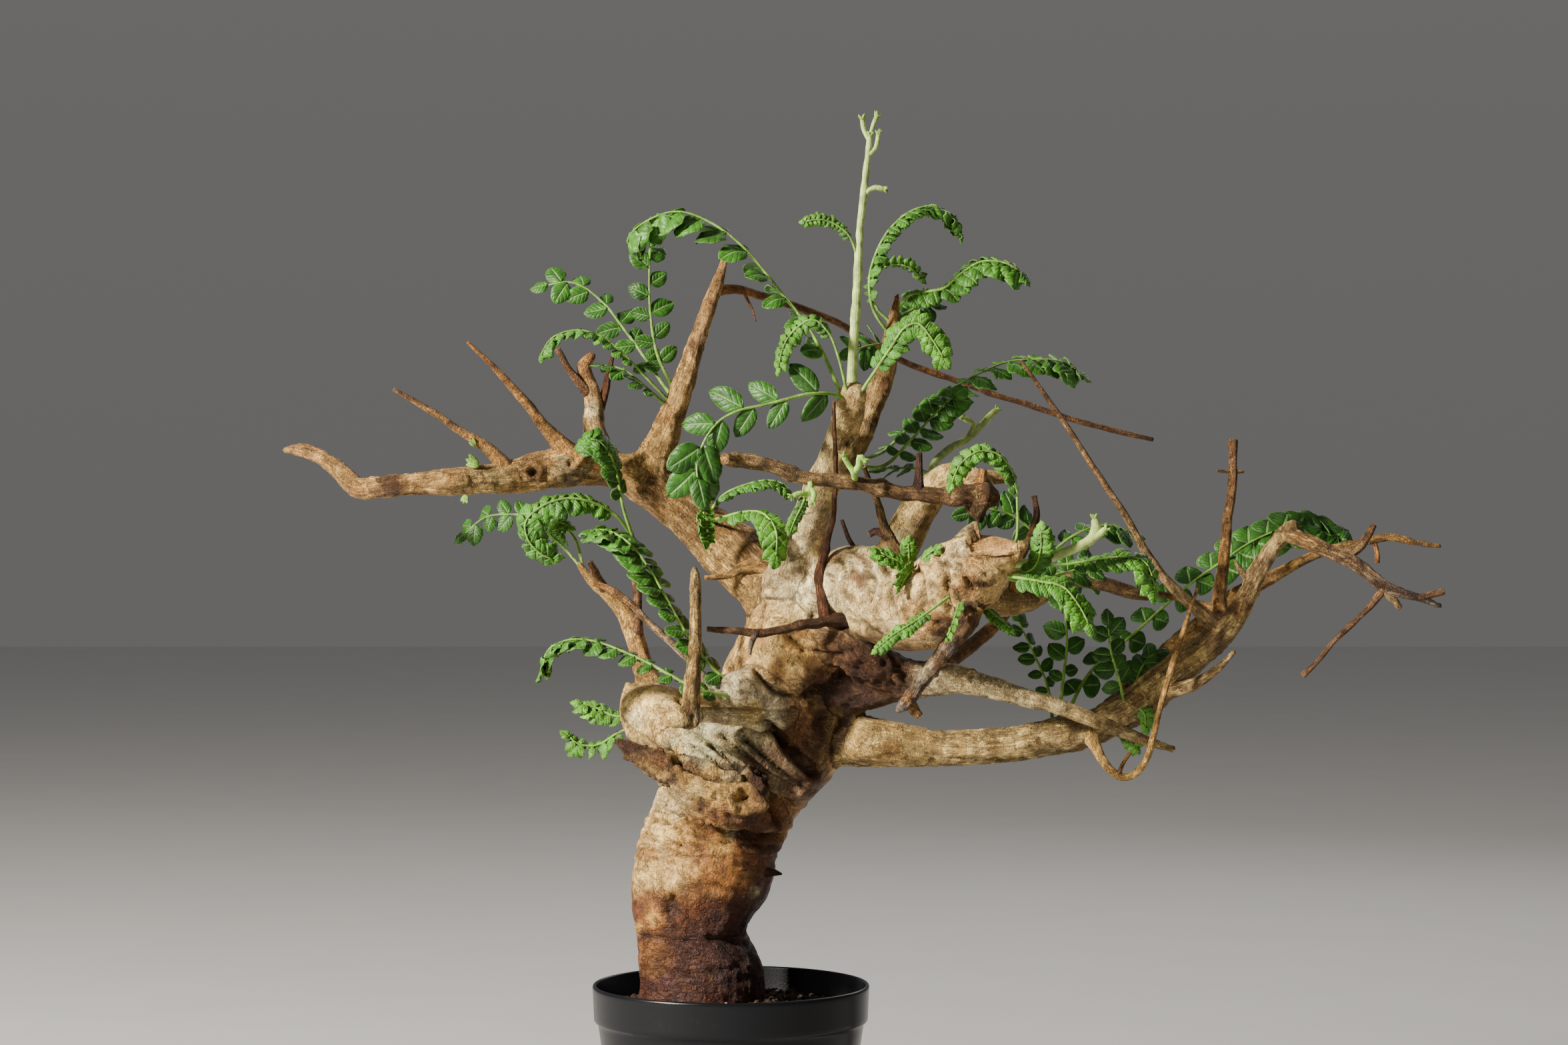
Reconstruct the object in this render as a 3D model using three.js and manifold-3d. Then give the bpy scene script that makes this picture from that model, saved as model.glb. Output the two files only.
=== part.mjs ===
// A potted bonsai of Boswellia neglecta: a swollen, leaning trunk with callus lumps, limbs that fan out to both
// sides, dead twigs, and pinnate leaves in tufts. Millimetres, +Z up, +X to the right, +Y away from the viewer.
// The origin is the centre of the pot's underside.

import * as THREE from 'three';
import Module from 'manifold-3d';
import { mergeVertices } from 'three/addons/utils/BufferGeometryUtils.js';

const wasm = await Module();
wasm.setup();
const { Manifold, Mesh: SolidMesh } = wasm;

// Driving dimensions
const POT_RIM_DIAMETER = 105;
const POT_HEIGHT = 95;
const POT_BASE_DIAMETER = 78;
const POT_WALL = 1.5;
const POT_FLOOR = 2;
const RIM_BAND_HEIGHT = 13.5;
const RIM_BAND_STEP = 1;
const POT_SIDES = 28;
const DRAIN_HOLES = 6;
const DRAIN_HOLE_DIAMETER = 9;
const DRAIN_CIRCLE_DIAMETER = 56;
const SOIL_BELOW_RIM = 10;
const SOIL_MOUND = 5;
const SOIL_CLODS = 0.8;
const GAP = 0.3;
const BLADE_THICKNESS = 0.7;
const RIB_THICKNESS = 1.1;
const PETIOLE_WIDTH = 1.6;
const RIB_TIP_WIDTH = 0.8;
const RIB_STEPS = 60;
const POINTED_LEAFLET_REACH = 7.2;
const TOOTHED_LEAFLET_REACH = 4.3;
const BARK_ROUGHNESS = 0.05;

// The tree is laid out as it looks from eye level straight in front: each point is given where it shows in the
// upright plane through the pot's axis, with its depth behind that plane (negative is towards the viewer).
const EYE_ACROSS = 20;
const EYE_HEIGHT = 270;
const EYE_DISTANCE = 1266;

// Limbs, each a tapering run of points [across, height, depth, radius]
const LIMBS = {
  trunk: { sides: 12, flat: 0.86, route: [
    [-11, 34, 0, 8], [-11, 60, 0, 20], [-11.5, 84, 0, 24], [-11.5, 98, 0, 23.5],
    [-15, 109, 0, 21], [-15.5, 118, 0, 21.5], [-14, 129, 0, 24], [-10.4, 140, 0, 26.5], [-7.6, 150, 0, 25.8],
    [-2.5, 160, 0, 25.3], [3.5, 169.5, 0, 24.5], [11, 180, 0, 24.8], [17, 190, -1, 27], [20, 200, -2, 27.5],
    [22, 212, -4, 24], [24, 224, -6, 20], [25, 236, -9, 15]] },
  root_left: { sides: 4, route: [[-16, 68, 0, 11], [-28, 52, 6, 6], [-33, 28, 12, 2]] },
  root_right: { sides: 5, route: [[-5, 68, 0, 11], [10, 52, -6, 6], [19, 26, -12, 2]] },
  root_back: { sides: 4, route: [[-10, 66, 4, 11], [-8, 48, 17, 6], [-4, 24, 24, 2]] },

  shoulder: { sides: 8, route: [
    [-2, 184, 0, 19], [-15, 190, 1, 16], [-26, 193.5, 2, 14], [-33, 196, 4, 10], [-37, 202, 6, 5], [-39, 208, 7, 1.6]] },
  callus: { sides: 7, route: [
    [-43, 187, -16, 1.4], [-35, 182, -20, 4.2], [-27, 178, -24, 5.5], [-19, 174, -27, 7.5], [-11, 169, -28, 11],
    [-3, 166, -29, 12.5], [4, 165.5, -32, 10.5], [7, 165.5, -37, 6.5]] },
  callus_belly: { sides: 5, route: [[-16, 166, -14, 8], [-6, 164, -15, 12], [5, 163, -15, 12.5], [12, 160, -11, 9]] },
  fold: { sides: 5, route: [[-25, 189, -14, 3.4], [-17, 187, -23, 4.8], [-9, 182, -27, 5.2], [2, 178, -27, 6]] },
  fold_upper: { sides: 5, route: [[-12, 190, -20, 7], [0, 186, -24, 8], [14, 180, -24, 9], [26, 172, -18, 8]] },
  bulge: { sides: 8, route: [[10, 202, -8, 13], [18, 212, -12, 17], [24, 223, -13, 18.5], [25, 236, -13, 14]] },

  prong: { sides: 6, route: [[24, 206, -10, 14], [12, 205, -23, 10.5], [4, 206.5, -28, 8], [-3, 207, -30, 5]] },
  prong_twig: { sides: 4, route: [
    [-2, 206.5, -30, 4], [-10, 211, -30, 2], [-15, 217, -30, 1.6], [-22, 224, -30, 1.5], [-30, 231, -30, 1.4],
    [-38, 239, -30, 1.3], [-45, 244, -29, 1.3], [-52, 247, -28, 1.1]] },
  dead_level: { sides: 6, route: [
    [19, 198, -22, 7], [10, 196, -30, 4], [0, 196.5, -36, 3.4], [-10, 197, -42, 3], [-18, 196, -47, 3.2],
    [-22, 195, -48, 3]] },
  dead_post: { sides: 5, route: [
    [-15.5, 195, -47, 2.8], [-15, 205, -48, 3], [-14, 215, -49, 2.7], [-13.5, 226, -50, 2.4],
    [-13.5, 238, -51, 2.2], [-13.5, 249, -52, 2.1], [-14, 252.5, -52, 1.2]] },
  back_prong: { sides: 5, route: [
    [-27, 197, 8, 7], [-30, 207, 9, 5.2], [-33, 214, 10, 4.4], [-36, 224, 12, 3.9], [-40, 235, 15, 3.4],
    [-47, 243, 18, 2.7], [-53, 248, 19, 2], [-57.5, 254, 20, 1.4]] },
  back_prong_fork: { sides: 4, route: [[-47, 243, 18, 2.2], [-50.5, 249, 15, 1.8], [-53.5, 255, 13, 1.2]] },
  back_prong_twig: { sides: 4, route: [
    [-36, 224, 12, 3], [-35.5, 236, 11, 2], [-36, 247, 9, 1.7], [-37, 257, 7, 1.5], [-38, 266, 5, 1.2]] },

  left_limb: { sides: 7, route: [
    [23, 236, -8, 15], [14, 247, 0, 13], [4, 256, 6, 12.5], [-5, 263, 9, 11], [-15, 272, 10, 9.5],
    [-25, 280, 11, 9], [-34, 287, 12, 8.6], [-45, 290, 12, 6.6], [-53, 291, 11, 7.2], [-62, 291.5, 9, 8.2],
    [-76, 289, 6, 7.3], [-90, 286.5, 0, 6], [-105, 285.5, -5, 5.3], [-122, 284.5, -5, 4.5], [-141, 283, 1, 4],
    [-150, 291, 7, 3.3], [-160, 297, 14, 2.8], [-169, 297.5, 20, 1.4]] },
  horn: { sides: 6, route: [
    [-31, 286, 12, 9.5], [-29, 294, 11, 7.6], [-26, 301, 9, 6.2], [-22, 312, 7, 5.1], [-18, 323, 6, 4.6],
    [-15, 332, 5, 3.8], [-12, 342, 5, 3.2], [-8, 353, 5, 2.8], [-5, 361, 5, 2.5], [-2, 370.5, 5, 0.9]] },
  horn_twig: { sides: 4, route: [
    [-6, 358, 5, 2.2], [10, 356.5, 16, 1.7], [27, 351, 30, 1.6], [44, 344, 41, 1.5], [62, 333, 50, 1.4],
    [85, 324, 62, 1.3], [110, 315.5, 72, 1.2], [136, 307, 81, 1.1], [160, 301.5, 88, 0.9]] },
  left_spike: { sides: 4, route: [
    [-84, 288, 2, 4], [-89, 295, 0, 2.8], [-95, 300, -2, 2.1], [-103, 305, -4, 1.5], [-115, 313, -7, 1.3],
    [-128, 320.5, -10, 0.8]] },
  middle_spike: { sides: 4, route: [
    [-58, 293, 6, 5.5], [-65, 300, 4, 3.4], [-72, 308, 2, 2.3], [-80, 318, -1, 1.8], [-90, 329, -3, 1.2],
    [-100, 338.5, -5, 0.6]] },
  crotch: { sides: 6, route: [
    [-46, 290, 14, 6], [-49, 298, 16, 5], [-52, 306, 18, 4.4], [-52, 314, 20, 4], [-53.5, 322, 21, 3.2],
    [-56, 329, 21, 2.8], [-53, 333, 21, 1.8]] },
  crotch_left: { sides: 4, route: [[-54, 319, 20, 2.6], [-60, 326, 18, 1.6], [-66, 336, 17, 1.2]] },
  crotch_right: { sides: 4, route: [[-50, 312, 20, 2], [-47.5, 322, 21, 1.4], [-45, 333, 22, 0.8]] },

  neck: { sides: 7, route: [
    [25, 234, -12, 14], [24, 249, -15, 11], [27, 261, -20, 8.6], [30, 272, -27, 7.2], [34, 282, -33, 6.2],
    [38.5, 292, -38, 6.2], [42, 302, -44, 6], [44.5, 311, -49, 5.5], [46, 318.5, -52, 5]] },
  mast: { sides: 6, route: [
    [34, 284, -34, 5.3], [42, 293, -33, 5.8], [48.5, 302, -31, 5], [52, 311, -28, 4.6], [58, 326, -26, 4.2],
    [60.5, 339, -25, 3.2], [62, 349, -24, 2.1], [63, 356, -24, 1]] },
  flaky_twig: { sides: 4, route: [
    [36, 232, -35, 3], [34.5, 242, -34, 3.2], [34, 252, -34, 2.8], [36, 261, -35, 2], [38.5, 269, -38, 1.1],
    [39.5, 280, -44, 1], [39.3, 298, -53, 0.9], [39, 316, -59, 0.7]] },
  thorn_twig: { sides: 3, route: [[49, 255, -28, 1.6], [47, 260, -29, 1], [44.5, 264, -30, 0.9], [42, 271, -31, 0.7]] },
  brow_twig: { sides: 4, route: [[21, 247, -14, 4], [14, 252.5, -12, 2.8], [5, 253, -10, 2.4], [-1, 250, -9, 1.4],
    [-10, 249, -10, 1]] },
  low_twig: { sides: 4, route: [
    [46, 232, -30, 4.5], [38, 233, -35, 2.5], [30, 231.5, -39, 1.9], [20, 230, -42, 1.7], [10, 228, -44, 1.6],
    [0, 229, -45, 1.4], [-9, 229.5, -45, 1.1]] },

  knuckle: { sides: 8, route: [
    [28, 236, -14, 12], [38, 243, -20, 13], [48, 247.5, -28, 13.8], [57, 243, -37, 13.5], [66, 239.5, -46, 14.5],
    [76, 240.5, -53, 15.2], [85, 247, -60, 15.5], [92, 252, -66, 13.2], [99, 257, -71, 9], [105, 259.5, -76, 5.8],
    [111, 261, -80, 1.6]] },
  knuckle_belly: { sides: 5, route: [[52, 234, -38, 8], [62, 231, -44, 9], [72, 229.5, -51, 8], [81, 231, -56, 7]] },
  knuckle_knob: { sides: 6, route: [[88, 260, -64, 5], [91, 266, -67, 3.6], [92.5, 269, -68, 2]] },
  hanging_stub: { sides: 5, route: [
    [90, 243, -66, 8], [90, 235, -70, 5], [88.5, 230, -73, 3.6], [83, 224, -75, 3.2], [77.5, 216.5, -77, 3],
    [72, 209, -78, 2.8], [66, 201, -80, 2.4], [63.5, 199, -80, 1.6]] },
  hanging_stub_fork: { sides: 4, route: [[67, 202, -79, 2.2], [71.5, 196.5, -79, 1.4]] },
  dark_mass: { sides: 7, route: [
    [34, 214, -12, 17], [46, 214.5, -21, 14.5], [55, 212.5, -25, 11.5], [65, 210.5, -25.5, 8], [78, 210, -27, 5.4]] },
  pale_limb: { sides: 5, route: [
    [66, 210, -24, 6.4], [76, 210.5, -27, 5.6], [84, 211, -29, 5.6], [94, 208.5, -31, 4.6], [110, 204, -33, 3.6],
    [130, 198, -34, 3], [150, 190, -35, 2.4], [167.5, 184, -36, 1.5]] },
  back_limb: { sides: 5, route: [
    [52, 212, -19, 8], [62, 212, -9, 6], [76, 214, 4, 4], [88, 221, 18, 3.1], [100, 231, 31, 2.6], [110, 243, 42, 2.1],
    [118, 255, 50, 1.5]] },
  knotted_limb: { sides: 5, route: [
    [78, 240, -42, 9], [88, 241, -38, 7], [96, 241, -36, 6.3], [106, 240, -33, 5.7], [115, 242, -29, 4.6],
    [122, 246, -25, 3.6], [131, 248, -22, 3.1], [140, 247, -19, 3], [150, 244, -17, 2.8], [158, 242, -15, 1.8]] },
  behind_head_twig: { sides: 4, route: [
    [107, 242, -34, 2.4], [109, 255, -44, 1.6], [113, 264, -46, 1.3], [116, 273, -46, 1.3], [115, 280, -45, 1]] },

  white_limb: { sides: 6, route: [
    [56, 244, -32, 10], [62, 257, -29, 7.8], [67, 267, -28, 7.4], [72, 276, -30, 6.8], [78, 284, -35, 6],
    [86, 288, -42, 5.2], [94, 284, -49, 5.4]] },
  white_limb_stub: { sides: 5, route: [[88, 287, -44, 4], [98, 287, -42, 2.9], [107.5, 287.5, -41, 1.9]] },
  dead_bar: { sides: 5, route: [
    [-2.5, 293.8, -65, 2], [8, 293, -65, 2.2], [18, 290.5, -64, 2.4], [28, 287, -63, 2.6], [39, 285.5, -62, 2.6],
    [50, 284.5, -60, 2.6], [61, 282, -58, 2.9], [72, 281, -57, 3], [82, 280, -55, 3.3], [89, 280, -54, 5],
    [96, 280, -52, 5.6], [100, 279, -50, 3.4]] },
  dead_bar_drop: { sides: 5, route: [[92, 281, -52, 5.5], [93.5, 275, -53, 4], [94.5, 270, -53, 1]] },
  dead_bar_stub: { sides: 4, route: [[94, 283, -53, 2.8], [95.5, 290, -54, 1.6]] },
  dead_bar_peg: { sides: 4, route: [[71, 281, -57, 2.4], [71.5, 288, -57, 1.6], [71.5, 296.5, -57, 1.1]] },
  crossing_twig: { sides: 4, route: [
    [67, 249, -45, 3.6], [65, 256, -44, 2.6], [61, 263, -44, 2.1], [57.5, 270, -45, 1.7], [55, 279, -48, 1.3],
    [50.5, 291, -53, 0.8]] },

  right_limb: { sides: 7, route: [
    [20, 193, -2, 16], [36, 188.5, -4, 11.5], [46, 187.5, -9, 10.4], [56, 186.5, -11, 9.3], [72, 184.5, -12, 7.5],
    [90, 184.5, -15, 6.9], [108, 186, -16, 6.7], [124, 189, -17, 7.3], [140, 193.5, -18.5, 6.8],
    [155, 201.5, -22, 7.2], [165, 210, -26, 7], [176, 219.5, -29, 6], [187, 229, -33, 5.2], [194, 239, -34.5, 4],
    [200, 252, -36.5, 3.5], [213, 268.5, -40, 2.6]] },
  right_tip: { sides: 4, route: [
    [210, 266, -39, 2.9], [219, 262.5, -42, 3], [236, 255, -47, 2.7], [248, 245.5, -50, 2.5], [258, 242.3, -53, 1.8],
    [269, 238.3, -55, 1.1]] },
  right_tip_fork: { sides: 4, route: [[261, 241.5, -54, 1.4], [270.5, 243.8, -55, 1.3]] },
  right_tip_nub: { sides: 4, route: [[247, 245, -50, 2], [254, 237.5, -51, 1.1]] },
  right_drop: { sides: 4, route: [
    [248, 245, -50, 1.8], [241, 236.5, -50, 1.1], [230, 226, -50, 1], [222, 216.5, -50, 0.9], [217, 212, -50, 1.3]] },
  right_up: { sides: 4, route: [[229, 257, -45, 2.2], [237, 260, -45, 1.9], [241, 264, -45, 1.7], [244, 269, -45, 1.2]] },
  far_branch: { sides: 5, route: [
    [146, 198, -16, 6], [154, 208, -9, 5], [165, 219, 0, 4.5], [178, 230.5, 8, 4.3], [190, 241, 9, 3.5],
    [204, 248.5, 8, 2.6], [218, 256, 7, 2.1], [234, 261.5, 4.5, 1.7], [250, 264.5, 3, 1.7], [269, 261, 0, 1]] },
  long_whip: { sides: 4, route: [
    [191, 230, -33, 4.4], [183, 232, -33, 3.6], [177, 237, -34, 2.6], [165, 248, -35.5, 1.9], [155, 263, -38, 1.5],
    [146, 278, -40, 1.3], [132, 299.5, -42, 1.1], [110, 331.5, -45, 0.6]] },
  upright_whip: { sides: 4, route: [
    [188, 229, -30, 4.2], [185.5, 236, -24, 3.2], [185.5, 244, -18, 2.6], [187, 256, -12, 2.2], [188.3, 270, -8, 1.9],
    [190.2, 285, -4, 1.5], [190.5, 301, 0, 1.3]] },
  pink_twig: { sides: 4, route: [[187, 236.5, -24, 2], [178, 239, -18, 1.5], [169, 241.5, -11, 1.3], [160, 243.5, -6, 1]] },
  curl: { sides: 4, route: [
    [136, 191, -20, 4.5], [138, 186, -25, 2.5], [140.5, 180.5, -28, 1.8], [144, 176, -31, 1.6], [148.5, 173.4, -33, 1.5],
    [153, 174.5, -34, 1.5], [157, 179, -38, 1.3], [160, 188, -42, 1.2], [163, 200, -43, 1.1], [166.5, 213, -44, 1.1],
    [171, 227, -45, 0.9], [177, 245, -47, 0.6]] },
  low_spike: { sides: 4, route: [
    [160, 204, -25, 4], [168, 206, -31, 2.9], [176, 208.5, -36, 2.2], [183, 213, -40, 1.6], [191, 221, -45, 0.8]] },
};

// Leaves: the rib's route as [across, height, depth], the side that the upper face looks to where the rib starts,
// the bare share of the rib, pairs of leaflets, the longest leaflet's reach and breadth, and the limb it grows on
const LEAVES = {
  leaf_crown_arch: { on: 'neck', upper: [1, -0.4, 0.5], bare: 0.13, pairs: 8, reach: 9, broad: 8, droop: 0.75,
    route: [[42.5, 317, -52], [35, 334, -52], [28, 346, -51], [20, 356, -50], [12, 366, -50], [3, 376, -49],
      [-8, 384, -48], [-20, 388, -47], [-31, 385, -46], [-39, 378, -45], [-38, 371, -45]] },
  leaf_crown_curled: { on: 'neck', upper: [0.7, -0.8, 0.3], bare: 0.42, pairs: 5, reach: 4.6, broad: 4, droop: 0.6,
    route: [[44.5, 317, -55], [41, 332, -59], [37, 342, -61], [31, 347, -62], [24, 343, -62], [20, 337, -62],
      [17.5, 327, -62]] },
  leaf_crown_front: { on: 'neck', upper: [0, -0.75, 0.65], bare: 0.1, pairs: 5, reach: 15, broad: 9, droop: 0.2,
    route: [[44, 317, -54], [36, 319, -60], [28, 318.5, -63], [20, 316.5, -65], [12, 314.5, -66], [3, 312.5, -67],
      [-5, 308, -68], [-11, 299, -70], [-13, 290, -71], [-11, 281, -72]] },
  leaf_crown_right: { on: 'neck', upper: [-0.4, -0.9, 0.2], bare: 0.25, pairs: 7, reach: 7.5, broad: 6, droop: 0.5,
    route: [[47, 316, -54], [55, 328, -57], [61, 337, -60], [66, 344, -62], [71, 345.5, -64], [76, 340, -65],
      [82, 330, -66]] },
  leaf_mast_arch: { on: 'mast', upper: [-1, -0.3, 0.2], bare: 0.2, pairs: 7, reach: 6, broad: 6, droop: 0.8,
    route: [[60.5, 341, -25], [54, 351, -31], [52.5, 362, -33], [55, 372, -34], [60, 381, -34], [68, 388, -34],
      [76, 390, -33], [83, 387.5, -32], [87, 382.5, -31], [88, 378, -31]] },
  leaf_mast_young: { on: 'mast', upper: [-0.4, -0.3, 1], bare: 0.25, pairs: 5, reach: 4, broad: 3.6, droop: 0.7,
    route: [[61.5, 345, -25], [55, 352, -26], [53.5, 360, -26], [57, 366, -25], [63, 368, -24], [69, 366, -23],
      [73, 361, -23]] },
  leaf_mast_long: { on: 'mast', upper: [-0.3, -0.5, 1], bare: 0.13, pairs: 7, reach: 7.5, broad: 6, droop: 0.6,
    route: [[62, 349, -24], [67, 355.5, -25], [74, 357.5, -26], [81, 359, -28], [88, 365, -30], [95, 369, -31],
      [104, 368.5, -32], [113, 363, -33]] },
  leaf_mast_low: { on: 'mast', upper: [0.2, -0.9, 0.4], bare: 0.2, pairs: 3, reach: 8, broad: 5.5, droop: 0.3,
    route: [[60, 337, -26], [56, 337.5, -34], [50, 336.5, -40], [44, 334, -43]] },
  leaf_mast_side: { on: 'mast', upper: [0, -0.7, 0.7], bare: 0.2, pairs: 3, reach: 7, broad: 5.5, droop: 0.3,
    route: [[61, 343, -25], [66, 349, -20], [72, 352, -16], [79, 352, -14]] },
  leaf_rear_long: { on: 'mast', upper: [-0.7, -0.3, 0.7], bare: 0.2, pairs: 8, reach: 9, broad: 7.5, droop: 0.6,
    route: [[50, 294, -31], [58, 297, -14], [66, 304.5, 4], [75, 313.5, 16], [85, 321.5, 24], [95, 327, 29],
      [105, 331, 33], [116, 332, 35], [126, 331, 37], [134, 326, 38]] },
  leaf_rear_short: { on: 'mast', upper: [-0.6, -0.5, 0.7], bare: 0.3, pairs: 5, reach: 10, broad: 6.5, droop: 0.3,
    route: [[49, 291, -31], [58, 291.5, -25], [68, 301, -19], [78, 312, -14], [87, 320, -11]] },
  leaf_rear_low: { on: 'white_limb', upper: [0, -0.4, 1], bare: 0.4, pairs: 3, reach: 7, broad: 5, droop: 0.3,
    route: [[77, 288, -35], [69, 290.5, -26], [60, 290.5, -20], [52, 291, -16]] },
  leaf_gnarl_arch: { on: 'knuckle', upper: [1, -0.5, 0], bare: 0.3, pairs: 5, reach: 7, broad: 5.5, droop: 0.6,
    route: [[103, 254, -68], [108.3, 264, -60], [108.7, 276, -62], [107.5, 287, -64], [102, 295.5, -66],
      [94, 297, -68], [87, 292, -70], [83, 283, -71]] },
  leaf_head_left: { on: 'knuckle', upper: [0, -0.9, 0.5], bare: 0.15, pairs: 3, reach: 5.5, broad: 4.4, droop: 0.3,
    route: [[68, 252, -57], [66, 254, -61], [60, 257, -63], [54, 260, -64]] },
  leaf_head_left_low: { on: 'knuckle', upper: [0.2, -1, 0.1], bare: 0.2, pairs: 4, reach: 4.2, broad: 3.4, droop: 0.3,
    route: [[69.5, 251, -57.5], [68.5, 252, -64], [66, 249, -66.5], [63.5, 244, -68]] },
  leaf_head_left_high: { on: 'knuckle', upper: [0, -1, 0.2], bare: 0.2, pairs: 3, reach: 3.6, broad: 3.2, droop: 0.3,
    route: [[67.5, 253.5, -54], [67.5, 257.5, -58], [67.2, 264, -59]] },
  leaf_head_left_right: { on: 'knuckle', upper: [-0.5, -1, 0.4], bare: 0.2, pairs: 3, reach: 3.6, broad: 3.2, droop: 0.3,
    route: [[70.5, 253, -57], [73.5, 257, -66], [79, 261, -69]] },
  leaf_head_low: { on: 'knuckle', upper: [0, -0.6, 0.9], bare: 0.35, pairs: 5, reach: 3.6, broad: 3.4, droop: 0.6,
    route: [[83, 242, -72], [77, 237.5, -78], [69, 232, -81], [61, 227, -83], [54, 221, -84]] },
  leaf_head_tip: { on: 'knuckle', upper: [-0.6, -0.8, 0.2], bare: 0.15, pairs: 4, reach: 3, broad: 2.8, droop: 0.4,
    route: [[87, 240, -72], [85.5, 236, -82], [83.5, 230, -84], [81, 225, -84]] },
  leaf_head_under: { on: 'knuckle', upper: [0.2, -0.6, 0.8], bare: 0.2, pairs: 4, reach: 3.6, broad: 3, droop: 0.4,
    route: [[93, 240, -62], [98, 236.5, -64], [102.5, 233, -66], [107.5, 228.5, -67]] },
  leaf_head_long: { on: 'knuckle', upper: [0, -0.5, 0.9], bare: 0.42, pairs: 6, reach: 7, broad: 5, droop: 0.5,
    route: [[99, 252, -60], [112, 253, -58], [126, 254, -57], [139, 256, -57], [150, 257, -58], [156.5, 255.5, -59],
      [160, 249, -60], [161, 241.5, -60]] },
  leaf_head_upright: { on: 'knuckle', upper: [-0.1, -1, 0.1], bare: 0.35, pairs: 5, reach: 4.6, broad: 4, droop: 0.4,
    route: [[100, 252, -67], [108, 250.5, -70.5], [115, 253, -72.5], [117.5, 260, -73], [117.5, 269, -73]] },
  leaf_head_droop: { on: 'knuckle', upper: [0.3, -0.9, 0.5], bare: 0.25, pairs: 6, reach: 7, broad: 4.8, droop: 0.4,
    route: [[99, 250.5, -69], [109, 249, -77], [118, 247.5, -80], [126, 245.5, -82], [132, 238.5, -84],
      [137, 229, -85]] },
  leaf_head_round: { on: 'knuckle', upper: [0, -0.8, 0.6], bare: 0.5, pairs: 3, reach: 8.5, broad: 7, droop: 0.2,
    route: [[100, 250, -60], [112, 247.5, -52], [124, 250, -46], [134, 253, -42], [143, 254, -40]] },
  leaf_back_right: { on: 'back_limb', upper: [0, -0.5, 0.9], bare: 0.12, pairs: 4, reach: 9, broad: 7.5, droop: 0.4,
    route: [[117.5, 254, 50], [125, 261.5, 52], [134, 267, 54], [144, 269, 56], [154, 265, 58]] },
  leaf_back_left: { on: 'back_limb', upper: [0, -0.5, 0.9], bare: 0.15, pairs: 4, reach: 9, broad: 7.5, droop: 0.4,
    route: [[117, 253, 49], [115, 265, 46], [108, 272, 42], [98, 275, 38], [87, 273, 35]] },
  leaf_back_low: { on: 'back_limb', upper: [0, -0.7, 0.7], bare: 0.15, pairs: 4, reach: 8.5, broad: 7, droop: 0.4,
    route: [[113, 247, 45], [122, 250, 47], [132, 251, 50], [142, 248, 52]] },
  leaf_arm_left: { on: 'right_limb', upper: [0.4, -0.9, 0.2], bare: 0.25, pairs: 4, reach: 6.5, broad: 5, droop: 0.3,
    route: [[122, 195, -15], [120, 208, -13], [114.5, 221, -12], [108, 235, -11]] },
  leaf_arm_middle: { on: 'right_limb', upper: [0.1, -1, 0.1], bare: 0.25, pairs: 5, reach: 8.5, broad: 7, droop: 0.25,
    route: [[124.5, 195.5, -18], [126, 210, -16], [127.5, 224, -15], [127, 236, -14], [128, 248, -13]] },
  leaf_arm_long: { on: 'right_limb', upper: [-0.6, -0.5, 0.7], bare: 0.06, pairs: 8, reach: 10.5, broad: 8.5, droop: 0.3,
    route: [[127, 196, -16], [134, 210, -10], [142, 219, -5], [152, 227, -1], [163, 237, 2], [174, 246.5, 4],
      [186, 256, 6], [200, 266.5, 9], [215, 272, 12], [233, 266, 16]] },
  leaf_arm_tall: { on: 'right_limb', upper: [0.2, -1, 0.2], bare: 0.25, pairs: 4, reach: 10.5, broad: 8.5, droop: 0.25,
    route: [[150, 199, -24], [146.5, 213, -30], [144, 222, -31], [143, 234, -32]] },
  leaf_arm_short: { on: 'right_limb', upper: [-0.5, -0.9, 0.4], bare: 0.3, pairs: 3, reach: 7, broad: 6, droop: 0.3,
    route: [[152.5, 201, -22], [155, 213, -20], [159, 219, -19], [164, 221, -18]] },
  leaf_arm_bud: { on: 'right_limb', upper: [-0.3, -1, 0], bare: 0.15, pairs: 2, reach: 4, broad: 3.6, droop: 0.3,
    route: [[154.5, 200, -27], [157, 197, -31.5], [157.5, 190.5, -32]] },
  leaf_arm_sprout: { on: 'right_limb', upper: [-0.3, -1, 0.1], bare: 0.15, pairs: 2, reach: 4, broad: 3.6, droop: 0.3,
    route: [[147, 193, -22], [151, 187.5, -27.5], [154.5, 183, -28.5]] },
  leaf_horn_tall: { on: 'horn', upper: [0.2, -1, 0.1], bare: 0.15, pairs: 5, reach: 8, broad: 6.5, droop: 0.3,
    route: [[-21, 319, 7], [-28, 334, 8], [-30.5, 349, 8], [-31, 362, 8], [-30.5, 378, 8]] },
  leaf_horn_long: { on: 'horn', upper: [0.2, -0.9, 0.5], bare: 0.2, pairs: 5, reach: 8, broad: 6.5, droop: 0.35,
    route: [[-22, 317, 7], [-33, 333, 14], [-41, 344, 17], [-49, 354, 19], [-60, 361, 20], [-73, 359.5, 21]] },
  leaf_horn_arch: { on: 'horn', upper: [0.5, -0.4, 1], bare: 0.35, pairs: 5, reach: 5, broad: 4.6, droop: 0.7,
    route: [[-22.5, 315, 5], [-34, 327, -2], [-42, 335, -4], [-50, 341, -5], [-59, 343, -5], [-68, 340, -5],
      [-73, 332, -5]] },
  leaf_horn_low: { on: 'horn', upper: [0.5, -0.3, 1], bare: 0.3, pairs: 4, reach: 7, broad: 5.5, droop: 0.4,
    route: [[-23, 313, 8], [-32, 321, 2], [-41, 328, 1], [-51, 330, 2]] },
  leaf_left_level: { on: 'left_limb', upper: [0, -0.6, 1], bare: 0.2, pairs: 6, reach: 5, broad: 4.6, droop: 0.7,
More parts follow.
